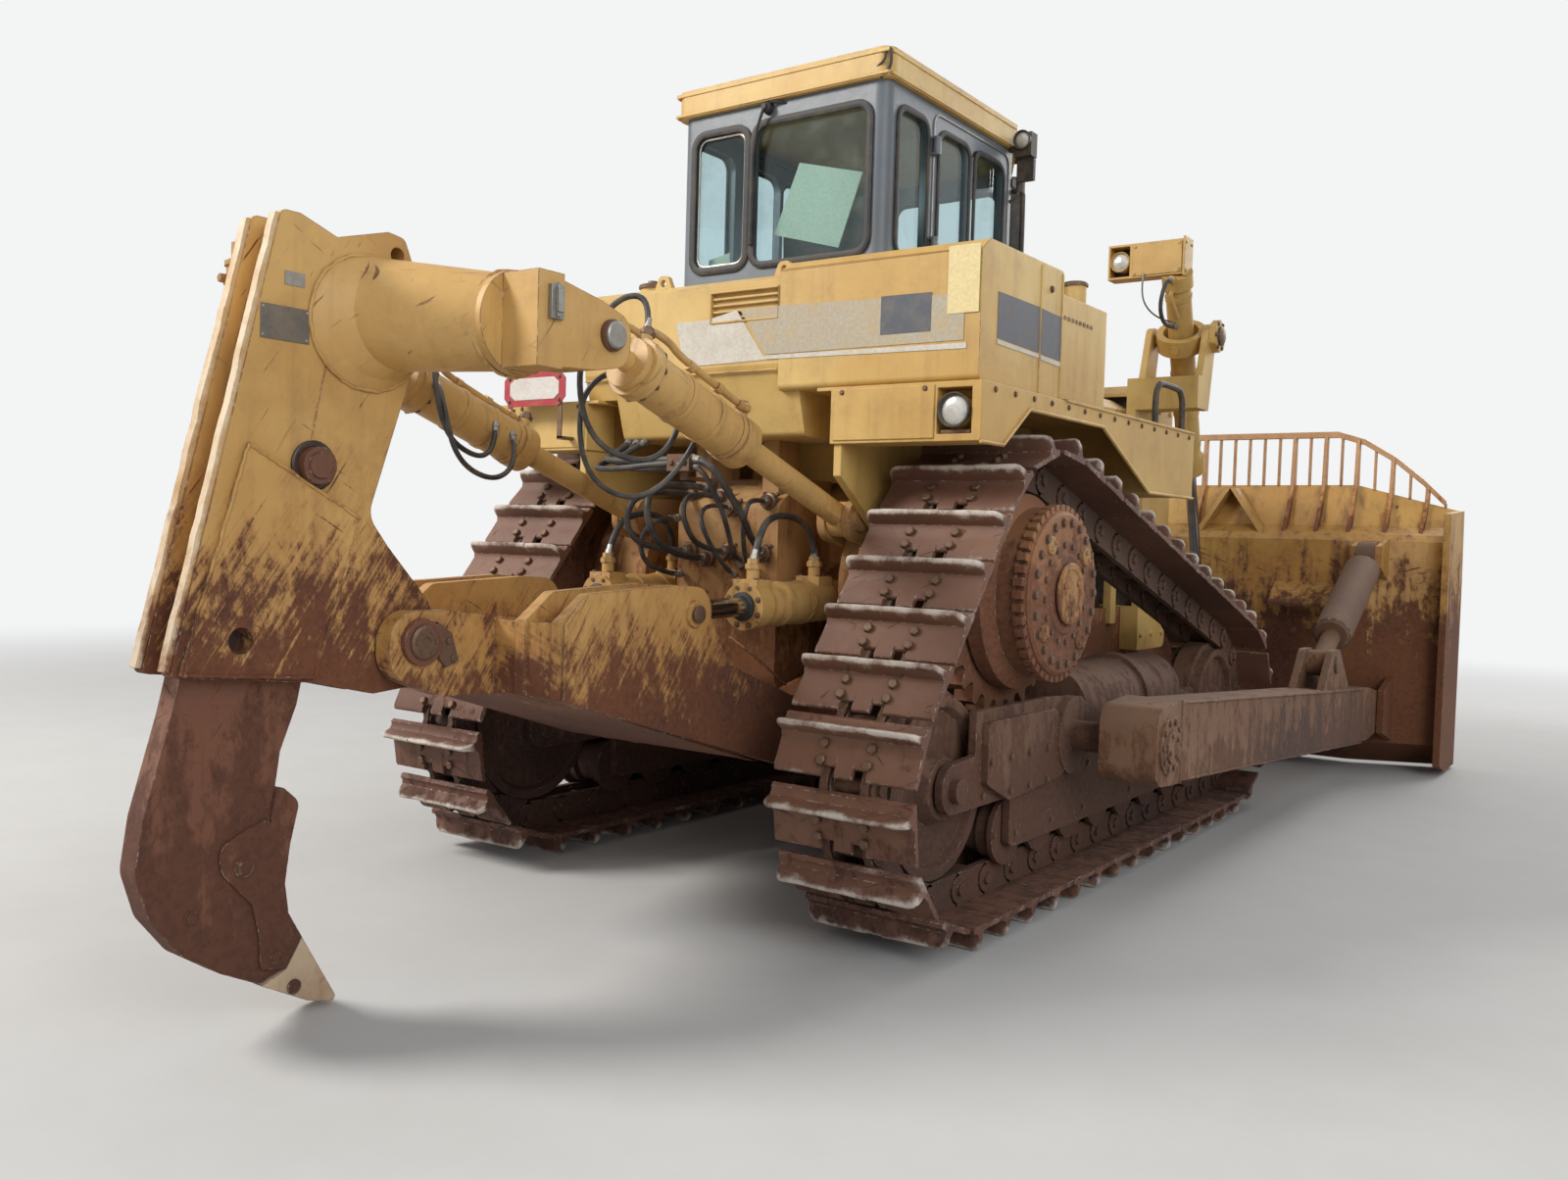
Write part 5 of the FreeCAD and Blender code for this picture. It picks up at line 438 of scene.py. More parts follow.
class Shape:
    def __init__(self):
        self.points, self.faces, self.wear = [], [], []

    def add(self, points, faces, wear=0.0):
        start = len(self.points)
        self.points += [tuple(point) for point in points]
        self.faces += [tuple(start + index for index in face) for face in faces]
        self.wear += wear if isinstance(wear, list) else [wear] * len(points)

    def rings(self, loops, closed=False, caps=True, wear=0.0):
        # joins loops of equally many points, one after another
        count = len(loops[0])
        points = [point for loop in loops for point in loop]
        faces = []
        turns = len(loops) if closed else len(loops) - 1
        for k in range(turns):
            here, following = k * count, (k + 1) % len(loops) * count
            for i in range(count):
                j = (i + 1) % count
                faces.append((here + i, here + j, following + j, following + i))
        if caps and not closed:
            faces.append(tuple(range(count - 1, -1, -1)))
            faces.append(tuple(range(len(points) - count, len(points))))
        self.add(points, faces, wear)

    def lathe(self, start, direction, profile, sides=16, hollow=False):
        # profile of (distance along, radius) turned about a line
        start, along = Vector(start), Vector(direction).normalized()
        side = along.orthogonal().normalized()
        other = along.cross(side)
        loops = []
        for reach, radius in profile:
            loops.append([start + along * reach + (side * math.cos(2 * math.pi * k / sides) + other
                          * math.sin(2 * math.pi * k / sides)) * radius for k in range(sides)])
        self.rings(loops, closed=hollow)

    def bar(self, start, end, radius, sides=12):
        length = (Vector(end) - Vector(start)).length
        self.lathe(start, Vector(end) - Vector(start), [(0, radius), (length, radius)], sides)

    def bolt(self, place, direction, size, tall=None, washer=True):
        # a hexagon head on its washer. Size is the head's radius
        tall = tall or size * 0.75
        place, along = Vector(place), Vector(direction).normalized()
        if washer:
            self.lathe(place, along, [(-0.002, size * 1.35), (size * 0.14, size * 1.35)], 10)
        self.lathe(place, along, [(0, size), (tall * 0.85, size), (tall, size * 0.8)], 6)

    def box(self, low, high, turn=None, middle=None):
        # a block from its low to its high corner, or turned about its middle
        corners = [(x, y, height) for x in (low[0], high[0]) for y in (low[1], high[1]) for height in (low[2],
                                                                      high[2])]
        if turn is not None:
            corners = [Vector(middle) + turn @ Vector(corner) for corner in corners]
        self.add(corners, [(0, 1, 3, 2), (4, 6, 7, 5), (0, 4, 5, 1), (2, 3, 7, 6), (0, 2, 6, 4),
                           (1, 5, 7, 3)])

    def plate(self, outline, offset):
        # a flat outline, thickened by a vector
        offset = Vector(offset)
        self.rings([[Vector(point) for point in outline], [Vector(point) + offset for point in outline]])

    def pipe(self, route, radius, sides=8, closed=False):
        # a tube that follows points, its ends square to them
        route = [Vector(point) for point in route]
        loops = []
        side = None
        for k, here in enumerate(route):
            if closed:
                along = route[(k + 1) % len(route)] - route[k - 1]
            else:
                along = route[min(k + 1, len(route) - 1)] - route[max(k - 1, 0)]
            along.normalize()
            side = along.orthogonal().normalized() if side is None else (side - along * side.dot(along)).normalized()
            other = along.cross(side)
            loops.append([here + (side * math.cos(2 * math.pi * i / sides) + other * math.sin(2 * math.pi * i / sides))
                          * radius for i in range(sides)])
        self.rings(loops, closed=closed)

    def finish(self, name, material, body, slot, crease=32, bevel=0.0, replaces=()):
        mesh = bpy.data.meshes.new(name)
        mesh.from_pydata(self.points, [], self.faces)
        if any(self.wear):
            layer = mesh.attributes.new("wear", "FLOAT", "POINT")
            layer.data.foreach_set("value", self.wear)
        mesh.validate()
        mesh.shade_smooth()
        mesh.set_sharp_from_angle(angle=math.radians(crease))
        mesh.materials.append(material)
        piece = bpy.data.objects.new(name, mesh)
        bpy.context.scene.collection.objects.link(piece)
        if bevel:
            softened = piece.modifiers.new("softEdges", "BEVEL")
            softened.width = bevel
            softened.segments = 2
            softened.limit_method = "ANGLE"
            softened.angle_limit = math.radians(35)
        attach(piece, body)
        if replaces:
            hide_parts(*replaces)
        return piece


def curved(points, steps=6):
    # a smooth line through points, as many more points
    points = [Vector(point) for point in points]
    ends = [points[0] * 2 - points[1]] + points + [points[-1] * 2 - points[-2]]
    line = []
    for k in range(1, len(ends) - 2):
        a, b, c, d = ends[k - 1:k + 3]
        for i in range(steps):
            share = i / steps
            line.append(0.5 * (2 * b + (c - a) * share + (2 * a - 5 * b + 4 * c - d) * share ** 2
                               + (3 * b - a - 3 * c + d) * share ** 3))
    return line + [points[-1]]


# Tracks: shoes with worn grousers, bolts and relief slots, on a chain of links

chain = {
    "shoes": 43,
    "wheels": ((1.552, 0.615, 0.441), (-1.242, 1.370, 0.516), (-1.922, 0.615, 0.441)),  # Y, Z, radius of the pins' path
    "middle": 1.125,  # across, of a track
    "halfWidth": 0.305,
    "linkOut": 0.070, "linkIn": 0.065,
    "plate": 0.020,
    "grouser": 0.084, "foot": 0.046, "tip": 0.020,
    "railOffset": 0.088, "railWidth": 0.052,
    "boltSize": 0.021,
}


def beltPins():
    # where the chain's pins are, evenly spaced round the wheels
    wheels = chain["wheels"]
    runs = []
    for k in range(3):
        (ya, za, ra), (yb, zb, rb) = wheels[k], wheels[(k + 1) % 3]
        gap = math.hypot(yb - ya, zb - za)
        outward = math.atan2(zb - za, yb - ya) - math.pi / 2 + math.asin((ra - rb) / gap)
        start = (ya + ra * math.cos(outward), za + ra * math.sin(outward))
        end = (yb + rb * math.cos(outward), zb + rb * math.sin(outward))
        runs.append((start, end, outward))
    parts = []
    for k in range(3):
        start, end, outward = runs[k]
        turn = (runs[(k + 1) % 3][2] - outward) % (2 * math.pi)
        wheel = wheels[(k + 1) % 3]
        parts.append((math.dist(start, end), "run", start, end, 0))
        parts.append((wheel[2] * turn, "arc", wheel, outward, turn))
    total = sum(part[0] for part in parts)
    pins = []
    for k in range(chain["shoes"]):
        along = total * k / chain["shoes"]
        for length, kind, first, second, turn in parts:
            if along <= length:
                break
            along -= length
        if kind == "run":
            share = along / length
            pins.append((first[0] + (second[0] - first[0]) * share,
                         first[1] + (second[1] - first[1]) * share))
        else:
            angle = second + along / first[2]
            pins.append((first[0] + first[2] * math.cos(angle), first[1] + first[2] * math.sin(angle)))
    return pins


def shoeProfile(pitch):
    # section of a shoe: distance along the belt, height over the pins, wear. Its lip laps the next shoe
    base = chain["linkOut"]
    top = base + chain["plate"]
    tip = top + chain["grouser"]
    foot = 0.16 * pitch
    lean = (chain["foot"] - chain["tip"]) / 2
    return [
        (0.03 * pitch, base - 0.004, 0.0), (0.0 * pitch, top - 0.012, 0.2), (0.035 * pitch, top + 0.004, 0.3),
        (foot - 0.012, top + 0.004, 0.1), (foot + 0.004, top + 0.016, 0.0), (foot + lean - 0.003, tip - 0.016,
                                                                      0.55),
        (foot + lean + 0.003, tip - 0.003, 1.0), (foot + lean + 0.011, tip, 1.0),
        (foot + lean + chain["tip"] - 0.001, tip - 0.005, 1.0), (foot + lean + chain["tip"] + 0.004,
                                                                 tip - 0.018, 0.5),
        (foot + chain["foot"] - 0.004, top + 0.014, 0.0), (foot + chain["foot"] + 0.014, top + 0.001, 0.0),
        (0.62 * pitch, top, 0.0), (0.90 * pitch, top + 0.001, 0.1), (0.965 * pitch, top - 0.004, 0.45),
        (0.985 * pitch, top - 0.014, 0.3), (0.96 * pitch, base, 0.0), (0.5 * pitch, base, 0.0)]


def trackBelt(side, name):
    pins = beltPins()
    shoes, links, bolts = Shape(), Shape(), Shape()
    half = chain["halfWidth"]
    for k, (ya, za) in enumerate(pins):
        yb, zb = pins[(k + 1) % len(pins)]
        pitch = math.hypot(yb - ya, zb - za)
        along = Vector((0, (yb - ya) / pitch, (zb - za) / pitch))
        outward = Vector((0, along.z, -along.y))
        start = Vector((side * chain["middle"], ya, za))
        chance = random.Random(k * 31 + (5 if side > 0 else 900))

        def spot(across, reach, height):
            return start + Vector((across, 0, 0)) + along * reach + outward * height

        profile = shoeProfile(pitch)
        slot = (0.034, 0.030)  # a relief slot's place beside the middle and its half width
        stations = [-half, -half + 0.012, -half + 0.03, -0.19, -slot[0] * 2 - slot[1], -slot[0] * 2 + slot[1],
                    slot[0] * 2 - slot[1], slot[0] * 2 + slot[1], 0.19, half - 0.03, half - 0.012, half]
        doubled = []
        for number, across in enumerate(stations):
            doubled.append((across, number in (5, 7)))
            if number in (4, 5, 6, 7):
                doubled.append((across, number in (4, 6)))
        loops, wear = [], []
        for across, cut in doubled:
            closeToEnd = max(0.0, (abs(across) - (half - 0.03)) / 0.03)
            nick = chance.uniform(-0.006, 0.0)
            loop = []
            for number, (reach, height, rubbed) in enumerate(profile):
                if 5 <= number <= 9:
                    height += nick - closeToEnd ** 2 * 0.026
                if cut and number in (13, 14, 15, 16):
                    reach -= 0.040
                loop.append(spot(across, reach, height))
                wear.append(min(1.0, rubbed + 0.25 * closeToEnd))
            loops.append(loop)
        shoes.rings(loops, wear=wear)
        for across in (-chain["railOffset"], chain["railOffset"]):
            for reach, aside in ((0.47, 0.036), (0.74, 0.030)):
                place = spot(across + (aside if across > 0 else -aside) * 0.4, reach * pitch,
                             chain["linkOut"] + chain["plate"])
                bolts.bolt(place, outward, chain["boltSize"] * chance.uniform(0.9, 1.0), 0.019, False)
        # links: deep plates between two pins, each end round, set out of line by turns
        for across in (-chain["railOffset"], chain["railOffset"]):
            outline = []
            for centre, turnFrom, turnTo, radius in ((0.0, 90, 270, 0.058), (pitch, -90, 90, 0.058)):
                for i in range(6):
                    angle = math.radians(turnFrom + (turnTo - turnFrom) * i / 5)
                    outline.append((centre + radius * math.cos(angle), radius * math.sin(angle)))
            deep = [(reach, height if abs(height) < 0.05 else (0.0695 if height > 0 else -chain["linkIn"]))
                    for reach, height in outline]
            width = chain["railWidth"] / 2
            links.plate([spot(across - width * 0.62, reach, height) for reach, height in deep],
                        Vector((width * 1.24, 0, 0)))
            for reach, offset in ((0.0, 1), (pitch, -1)):
                boss = across + math.copysign(width, across) * (0.25 * offset)
                links.lathe(spot(boss - width * 0.72, reach, 0), (1, 0, 0),
                            [(0, 0.056), (width * 1.44, 0.056)], 14)
        links.bar(spot(-chain["railOffset"] - 0.04, 0, 0), spot(chain["railOffset"] + 0.04, 0, 0), 0.024, 10)
        links.bar(spot(-chain["railOffset"], 0, 0), spot(chain["railOffset"], 0, 0), 0.036, 14)
    label = "right" if side > 0 else "left"
    shoes.finish(f"shoes_{label}", trackIron, "tractor", "track_steel", 40, replaces=(name,))
    links.finish(f"chain_{label}", frameIron, "tractor", "track_steel", 40)
    bolts.finish(f"shoe_bolts_{label}", boltSteel, "tractor", "track_steel", 25)


for side, name in ((1, "track_right"), (-1, "track_left")):
    trackBelt(side, name)
print("tracks made")


# Places below are in millimetres from the machine's datum, Y forward from the rear of the case

datumY = 1121.95
clear = 3000  # beyond the machine's side, where the lines that find a bolt's seat begin


def at(x, y, height):
    return Vector((x / 1000, (y - datumY) / 1000, height / 1000))


# many places at once, mirrored where side is -1
def places(*points, side=1):
    return [at(side * x, y, height) for x, y, height in points]


def block(shape, low, high, side=1):
    xs = sorted((side * low[0], side * high[0]))
    shape.box(at(xs[0], *low[1:]), at(xs[1], *high[1:]))


def ringOf(count, radius, turn=0.0):
    # evenly spaced offsets on a circle
    for k in range(count):
        angle = 2 * math.pi * k / count + turn
        yield radius * math.cos(angle), radius * math.sin(angle)


surfaces = {}


# where a line first meets a CAD node, so that a bolt sits on it
def touch(node, start, direction):
    if node not in surfaces:
        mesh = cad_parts[node].data
        surfaces[node] = BVHTree.FromPolygons([point.co for point in mesh.vertices],
                                              [face.vertices for face in mesh.polygons])
    return surfaces[node].ray_cast(Vector(start), Vector(direction))[0]


def boltOn(shape, node, start, direction, size, tall=None, washer=True):
    place = touch(node, start, direction)
    if place:
        shape.bolt(place, -Vector(direction), size, tall, washer)


# an uneven line of weld along points
def weld(shape, points, radius, seed=1):
    chance = random.Random(seed)
    route = []
    for k in range(len(points) - 1):
        a, b = Vector(points[k]), Vector(points[k + 1])
        count = max(2, int((b - a).length / (radius * 2.2)))
        route += [a.lerp(b, i / count) for i in range(count)]
    route.append(Vector(points[-1]))
    shake = radius * 0.35
    shape.pipe([point + Vector([chance.uniform(-shake, shake) for axis in range(3)]) for point in route],
               radius, 6)


# a rectangular bar round a window or a panel, its corners rounded
def rim(shape, centre, across, upright, out, width, height, radius, bar, depth):
    centre, across, upright, out = Vector(centre), Vector(across), Vector(upright), Vector(out)
    corners = []
    for sx, sy, start in ((1, 1, 0), (-1, 1, 90), (-1, -1, 180), (1, -1, 270)):
        for i in range(6):
            angle = math.radians(start + 18 * i)
            corners.append((sx * (width / 2 - radius) + radius * math.cos(angle),
                            sy * (height / 2 - radius) + radius * math.sin(angle),
                            math.cos(angle), math.sin(angle)))
    loops = []
    for offset, lift in ((0, 0), (0, depth * 0.7), (bar * 0.3, depth), (bar * 0.7, depth), (bar, depth * 0.7),
                         (bar, 0)):
        loops.append([centre + across * (x + nx * (offset - bar * 0.55)) + upright * (y + ny * (offset - bar * 0.55))
                      + out * lift for x, y, nx, ny in corners])
    count = len(corners)
    points = [point for loop in loops for point in loop]
    faces = []
    for k in range(len(loops)):
        following = (k + 1) % len(loops)
        for i in range(count):
            j = (i + 1) % count
            faces.append((k * count + i, k * count + j, following * count + j, following * count + i))
    shape.add(points, faces)


# Final drives: rim bolts, plugs and the raised cover

hub = {"y": -120, "z": 1370, "rimBolts": 22, "rimRadius": 0.300, "coverBolts": 16, "coverRadius": 0.205}

for side, label in ((1, "right"), (-1, "left")):
    bolts, plugs = Shape(), Shape()
    node = f"final_drive_{label}"
    centre = at(side * 1700, hub["y"], hub["z"])
    inward = Vector((-side, 0, 0))
    for count, radius, size, turn in ((hub["rimBolts"], hub["rimRadius"], 0.017, 0.0),
                                      (hub["coverBolts"], hub["coverRadius"], 0.013, 0.1)):
        for y, height in ringOf(count, radius, turn):
            boltOn(bolts, node, centre + Vector((0, y, height)), inward, size)
    for angle in (38, 128, 218, 308):
        angle = math.radians(angle)
        spot = touch(node, centre + Vector((0, math.cos(angle), math.sin(angle))) * 0.255, inward)
        if spot:
            plugs.lathe(spot, -inward, [(-0.002, 0.040), (0.008, 0.040), (0.012, 0.034)], 18)
            across = Vector((0, -math.sin(angle), math.cos(angle)))
            for shift in (-0.021, 0.021):
                plugs.bolt(spot + across * shift - inward * 0.010, -inward, 0.010, 0.010, False)
    spot = touch(node, centre, inward)
    plugs.lathe(spot, -inward, [(-0.002, 0.132), (0.007, 0.132), (0.011, 0.126), (0.011, 0.104),
                                (0.006, 0.100),
                                (0.006, 0.060), (0.010, 0.056), (0.010, 0.0005)], 32)
    for y, height in ringOf(3, 0.080, 0.6):
        plugs.bolt(spot + Vector((0, y, height)) - inward * 0.006, -inward, 0.012, 0.010)
    bolts.finish(f"hub_bolts_{label}", boltSteel, "tractor", "cast_steel", 25)
    plugs.finish(f"hub_plugs_{label}", hubPlugPaint, "tractor", "cast_steel", 30, bevel=0.001)
print("final drives dressed")


# Cab: window seals, door edges, wiper, board, lamps, mirrors, rails, roof band

cab = {
    "rear": -290, "sill": 2860, "head": 3530,
    "board": ((76, 3337), (429, 3243), (308, 2916), (-62, 3016)),  # X and Z of its corners
    "boardY": -222,
}

seals, trim, wiper, lamps, rails = Shape(), Shape(), Shape(), Shape(), Shape()
east, north, up = Vector((1, 0, 0)), Vector((0, 1, 0)), Vector((0, 0, 1))
tall = (cab["head"] - cab["sill"]) / 1000
level = (cab["head"] + cab["sill"]) / 2
for left, right in ((-510, -175), (-145, 510)):
    rim(seals, at((left + right) / 2, cab["rear"], level), -east, up, -north, (right - left) / 1000, tall,
        0.07, 0.034, 0.012)
for side in (1, -1):
    for x, y, wide, less, bar, depth in ((590, -55, 0.280, 0, 0.030, 0.011),
                                         (589, 342, 0.315, 0.02, 0.026, 0.010),
                                         (589, 712, 0.327, 0.02, 0.026, 0.010)):
        rim(seals, at(side * x, y, level), north, up, east * side, wide, tall - less, 0.07, bar, depth)
rim(seals, at(0, 1330, level - 75), east, up, north, 0.660, tall + 0.150, 0.07, 0.030, 0.012)
# the rear left window's sliding frame and latch
rim(trim, at(-342, cab["rear"] + 10, level), -east, up, -north, 0.285, tall - 0.05, 0.05, 0.014, 0.006)
trim.box(at(-190, cab["rear"] - 6, 3150), at(-176, cab["rear"] + 12, 3215))
# door edges
for side in (1, -1):
    low = 2800 if side > 0 else 2300
    rim(trim, at(side * 589.5, 530, (low + 3585) / 2), north, up, east * side, 0.792, (3585 - low) / 1000,
        0.055, 0.010, 0.006)
wiper.lathe(at(-60, cab["rear"] + 3, 3590), (0, -1, 0), [(0, 0.030), (0.030, 0.026), (0.040, 0.014),
                                                         (0.052, 0.013)], 14)
wiper.pipe(places((-60, cab["rear"] - 42, 3590), (-100, cab["rear"] - 38, 3500),
                  (-128, cab["rear"] - 28, 3400), (-134, cab["rear"] - 24, 3180)), 0.007, 8)
wiper.pipe(places((-134, cab["rear"] - 22, 3440), (-137, cab["rear"] - 20, 2960)), 0.010, 6)
wiper.box(at(-148, cab["rear"] - 20, 2960), at(-126, cab["rear"] - 13, 3430))
wiper.pipe(curved(places((-60, cab["rear"] - 20, 3595), (-30, cab["rear"] - 22, 3612),
                         (10, cab["rear"] - 12, 3608), (40, cab["rear"] + 2, 3600))), 0.006, 6)
wiper.finish("rear_wiper", blackRubber, "tractor", "dark_metal", 30)
seals.finish("window_seals", blackRubber, "tractor", "dark_metal", 40)
trim.finish("window_frames", zincSteel, "tractor", "cab_grey", 40)

# a pale sheet of board leans inside the rear window
board = Shape()
face = [at(x, cab["boardY"], height) for x, height in cab["board"]]
board.plate(face, (0, 0.006, 0))
board.plate(places((-460, cab["boardY"], 2935), (-330, cab["boardY"], 2960), (-325, cab["boardY"], 2890),
                   (-460, cab["boardY"], 2880)), (0, 0.004, 0))
board.finish("window_board", boardPaper, "tractor", "cab_grey", 30)

# roof: yellow band with its lip, drip rail, lamps and their wires
roofBand = Shape()
for low, high, out in ((3626, 3640, 6), (3722, 3740, 4)):
    roofBand.box(at(-612, -316 - out, low), at(612, -310, high))
    for side in (1, -1):
        a, b = sorted((side * 612, side * (616 + out)))
        roofBand.box(at(a, -300, low), at(b, 950, high))
roofBand.finish("roof_lips", upperPaint, "tractor", "worn_yellow", 30, bevel=0.002)


def workLamp(shape, glass, place, direction, size=0.062):
    place, direction = Vector(place), Vector(direction).normalized()
    shape.lathe(place, direction, [(-0.050, size * 0.45), (-0.040, size * 0.8), (-0.006, size),
                                   (0.016, size * 1.08),
                                   (0.020, size * 1.02), (0.012, size * 0.92), (0.004, size * 0.90)], 20)
    glass.lathe(place, direction, [(0.003, size * 0.90), (0.010, size * 0.72), (0.014, size * 0.40),
                                   (0.015, 0.0006)], 20)


lenses = Shape()
for x, y in ((470, -240), (-470, -240)):
    workLamp(lamps, lenses, at(x, y, 3692), (0.0, -1, -0.06), 0.045)
    lamps.box(at(x - 12, y + 20, 3700), at(x + 12, y + 60, 3750))
for x in (480, -480):
    workLamp(lamps, lenses, at(x, 1230, 3690), (0, 1, -0.1), 0.045)
lamps.pipe(curved(places((540, -250, 3738), (585, -292, 3740), (612, -312, 3730), (622, -318, 3690),
                         (610, -312, 3650), (560, -300, 3620))), 0.007, 6)
lamps.pipe(curved(places((500, -255, 3738), (560, -296, 3738), (590, -316, 3716), (580, -318, 3680),
                         (500, -300, 3650))), 0.006, 6)
# a lamp and a mirror at each front corner of the roof, on a bracket
for side in (1, -1):
    block(lamps, (600, 900, 3600), (700, 925, 3625), side)
    block(lamps, (640, 880, 3560), (735, 950, 3680), side)
    workLamp(lamps, lenses, at(side * 690, 875, 3640), (0, -1, -0.1), 0.045)
    block(lamps, (650, 905, 3440), (740, 930, 3550), side)
    lamps.pipe(places((640, 940, 3580), (640, 940, 3380), (596, 935, 3350), side=side), 0.010, 8)
lamps.finish("cab_lamps", blackPaint, "tractor", "dark_metal", 30)

for side in (1, -1):
    rails.pipe(curved(places((588, 985, 3420), (640, 985, 3400), (648, 985, 3340), (648, 985, 2960),
                             (640, 985, 2900), (588, 985, 2885), side=side)), 0.014, 10)
    for low in (2860, 3440):
        block(rails, (586, 965, low), (596, 1005, low + 40), side)
    # grab handle at the fender's front
    rails.pipe(curved(places((1340, 1150, 2190), (1340, 1150, 2330), (1340, 1180, 2390), (1340, 1240, 2410),
                             (1340, 1460, 2410), (1340, 1520, 2390), (1340, 1550, 2330), (1340, 1550,
                                                                      2190), side=side)), 0.016, 10)
rails.finish("grab_rails", blackPaint, "tractor", "dark_metal", 30)
print("cab dressed")

# Tanks and fenders: faded bands, bare sticker, sign, covers, lamps, seams, breather

bands = {
    "rear": -801.5,  # rear faces of the tanks
    "side": 1352.5,
}


# a thin painted patch lying on a rear face, given by X and Z of its corners
def patchBehind(shape, y, corners, lift=0.0012):
    shape.plate([at(x, y, height) for x, height in corners], (0, -lift, 0))


def patchBeside(shape, x, corners, lift=0.0012):
    shape.plate([at(x, y, height) for y, height in corners], (math.copysign(lift, x), 0, 0))


whiteBand, greyBand, darkPatch, sticker = Shape(), Shape(), Shape(), Shape()
patchBehind(whiteBand, bands["rear"], [(-163, 2515), (-107, 2316), (395, 2325), (395, 2335), (330, 2340),
                                       (180, 2546), (20, 2515)])
patchBehind(greyBand, bands["rear"] - 2, [(200, 2546), (345, 2345), (1283, 2345), (1283, 2522), (420, 2546)])
patchBehind(whiteBand, bands["rear"] - 2, [(345, 2325), (1296, 2312), (1296, 2334), (345, 2342)])
patchBehind(darkPatch, bands["rear"] - 3.5, [(911, 2388), (1139, 2388), (1139, 2538), (911, 2540)])
patchBehind(sticker, bands["rear"] - 3.5, [(1210, 2447), (1345, 2447), (1345, 2705), (1210, 2705)], 0.0016)
patchBeside(darkPatch, bands["side"], [(-660, 2368), (-280, 2362), (-280, 2548), (-660, 2547)])
patchBeside(whiteBand, bands["side"] + 1, [(-660, 2345), (-280, 2340), (-280, 2356), (-660, 2362)])
patchBeside(darkPatch, bands["side"], [(-262, 2360), (-60, 2356), (-60, 2540), (-262, 2546)])
patchBeside(whiteBand, bands["side"] + 1, [(-262, 2336), (-60, 2330), (-60, 2350), (-262, 2354)])
whiteBand.finish("tank_band_white", bandWhite, "tractor", "worn_yellow", 30)
greyBand.finish("tank_band_grey", bandGrey, "tractor", "worn_yellow", 30)
darkPatch.finish("tank_patches_dark", bandDark, "tractor", "worn_yellow", 30)
sticker.finish("blank_sticker", stickerCream, "tractor", "worn_yellow", 30)

# a blank white sign with a red border, on a bracket at the left
sign, border, bracket = Shape(), Shape(), Shape()
signY = -905  # its face
outline = [(-1161, 2205), (-1120, 2165), (-787, 2165), (-746, 2205), (-746, 2292), (-787, 2332),
           (-1120, 2332), (-1161, 2292)]
inside = [(-953 + (x + 953) * 0.80, 2248 + (height - 2248) * 0.62) for x, height in outline]
border.plate([at(x, signY, height) for x, height in outline], (0, 0.004, 0))
sign.plate([at(x, signY - 1.5, height) for x, height in inside], (0, 0.001, 0))
bracket.plate([at(x, signY + 4.2, height) for x, height in outline], (0, 0.0008, 0))
for x in (-1140, -800):
    bracket.box(at(x, signY + 4.5, 2010), at(x + 30, signY + 10, 2310))
for x in (-1140, -800):
    bracket.box(at(x, signY + 4.5, 2005), at(x + 30, -815, 2020))
for x in (-1125, -785):
    for height in (2190, 2300):
        bracket.bolt(at(x, signY - 2, height), (0, -1, 0), 0.007, 0.005)
border.finish("sign_border", signRed, "tractor", "worn_yellow", 30)
sign.finish("sign_plate", signWhite, "tractor", "worn_yellow", 30)
bracket.finish("sign_bracket", boltSteel, "tractor", "cast_steel", 30)

plates, fixings, lampShells, lampFaces, seams = Shape(), Shape(), Shape(), Shape(), Shape()
for side in (1, -1):
    # lamp box: a plain cover with two bolts, a lamp in the niche, gusset below the skirt
    low, high = sorted((side * 706, side * 1172))
    plates.box(at(low, -817, 1972), at(high, -811, 2180))
    for x in (745, 1130):
        fixings.bolt(at(side * x, -816, 2166), -north, 0.009)
    workLamp(lampShells, lampFaces, at(side * 1259, -806, 2078), (0, -1, 0), 0.064)
    block(fixings, (1194, -800, 1992), (1322, -790, 2004), side)
    # skirt: rolled lip, bolts along its edge
    lip = places((1376, -812, 1957), (1376, -622, 1957), (1376, -392, 2117), (1376, 380, 2117),
                 (1376, 1000, 1848), (1376, 1660, 1848), side=side)
    seams.pipe(lip, 0.009, 6)
    for y in range(-700, 1650, 175):
        boltOn(fixings, "fender_right" if side > 0 else "fender_left", at(side * 1600, y, 2164),
               (-side, 0, 0), 0.010)
    # deck's tread edge
    block(seams, (1352, -30, 2186), (1380, 1655, 2198), side)
plates.finish("lamp_box_covers", upperPaint, "tractor", "worn_yellow", 30, bevel=0.002)
lampShells.finish("fender_lamp_rims", blackPaint, "tractor", "dark_metal", 30)
lampFaces.finish("fender_lamp_glass", lampGlass, "tractor", "cab_glass", 30)
lenses.finish("cab_lamp_glass", lampGlass, "tractor", "cab_glass", 30)

# door in the raised tank's side, with hinges and a seam line; the louvre's frame; filler cap's rim
for y in (-272, -62):
    seams.pipe(places((1353, y, 2200), (1353, y, 2722)), 0.004, 6)
seams.pipe(places((40, -802, 2498), (402, -802, 2498), (402, -802, 2628), (38, -802, 2628), (38, -802, 2498)),
           0.006, 6)
seams.pipe(places((-716, -802, 2281), (405, -802, 2281)), 0.004, 6)
seams.pipe(places((412, -803, 2696), (1340, -803, 2692)), 0.003, 6)
fixings.bolt(at(1353, -170, 2640), (1, 0, 0), 0.012)
fixings.lathe(at(-560, -520, 2748), up, [(0, 0.066), (0.014, 0.066), (0.020, 0.060), (0.030, 0.024),
                                         (0.040, 0.022)], 18)
for k in range(9):
    fixings.box(at(1301, 40 + 42 * k, 2560), at(1303, 62 + 42 * k, 2576))
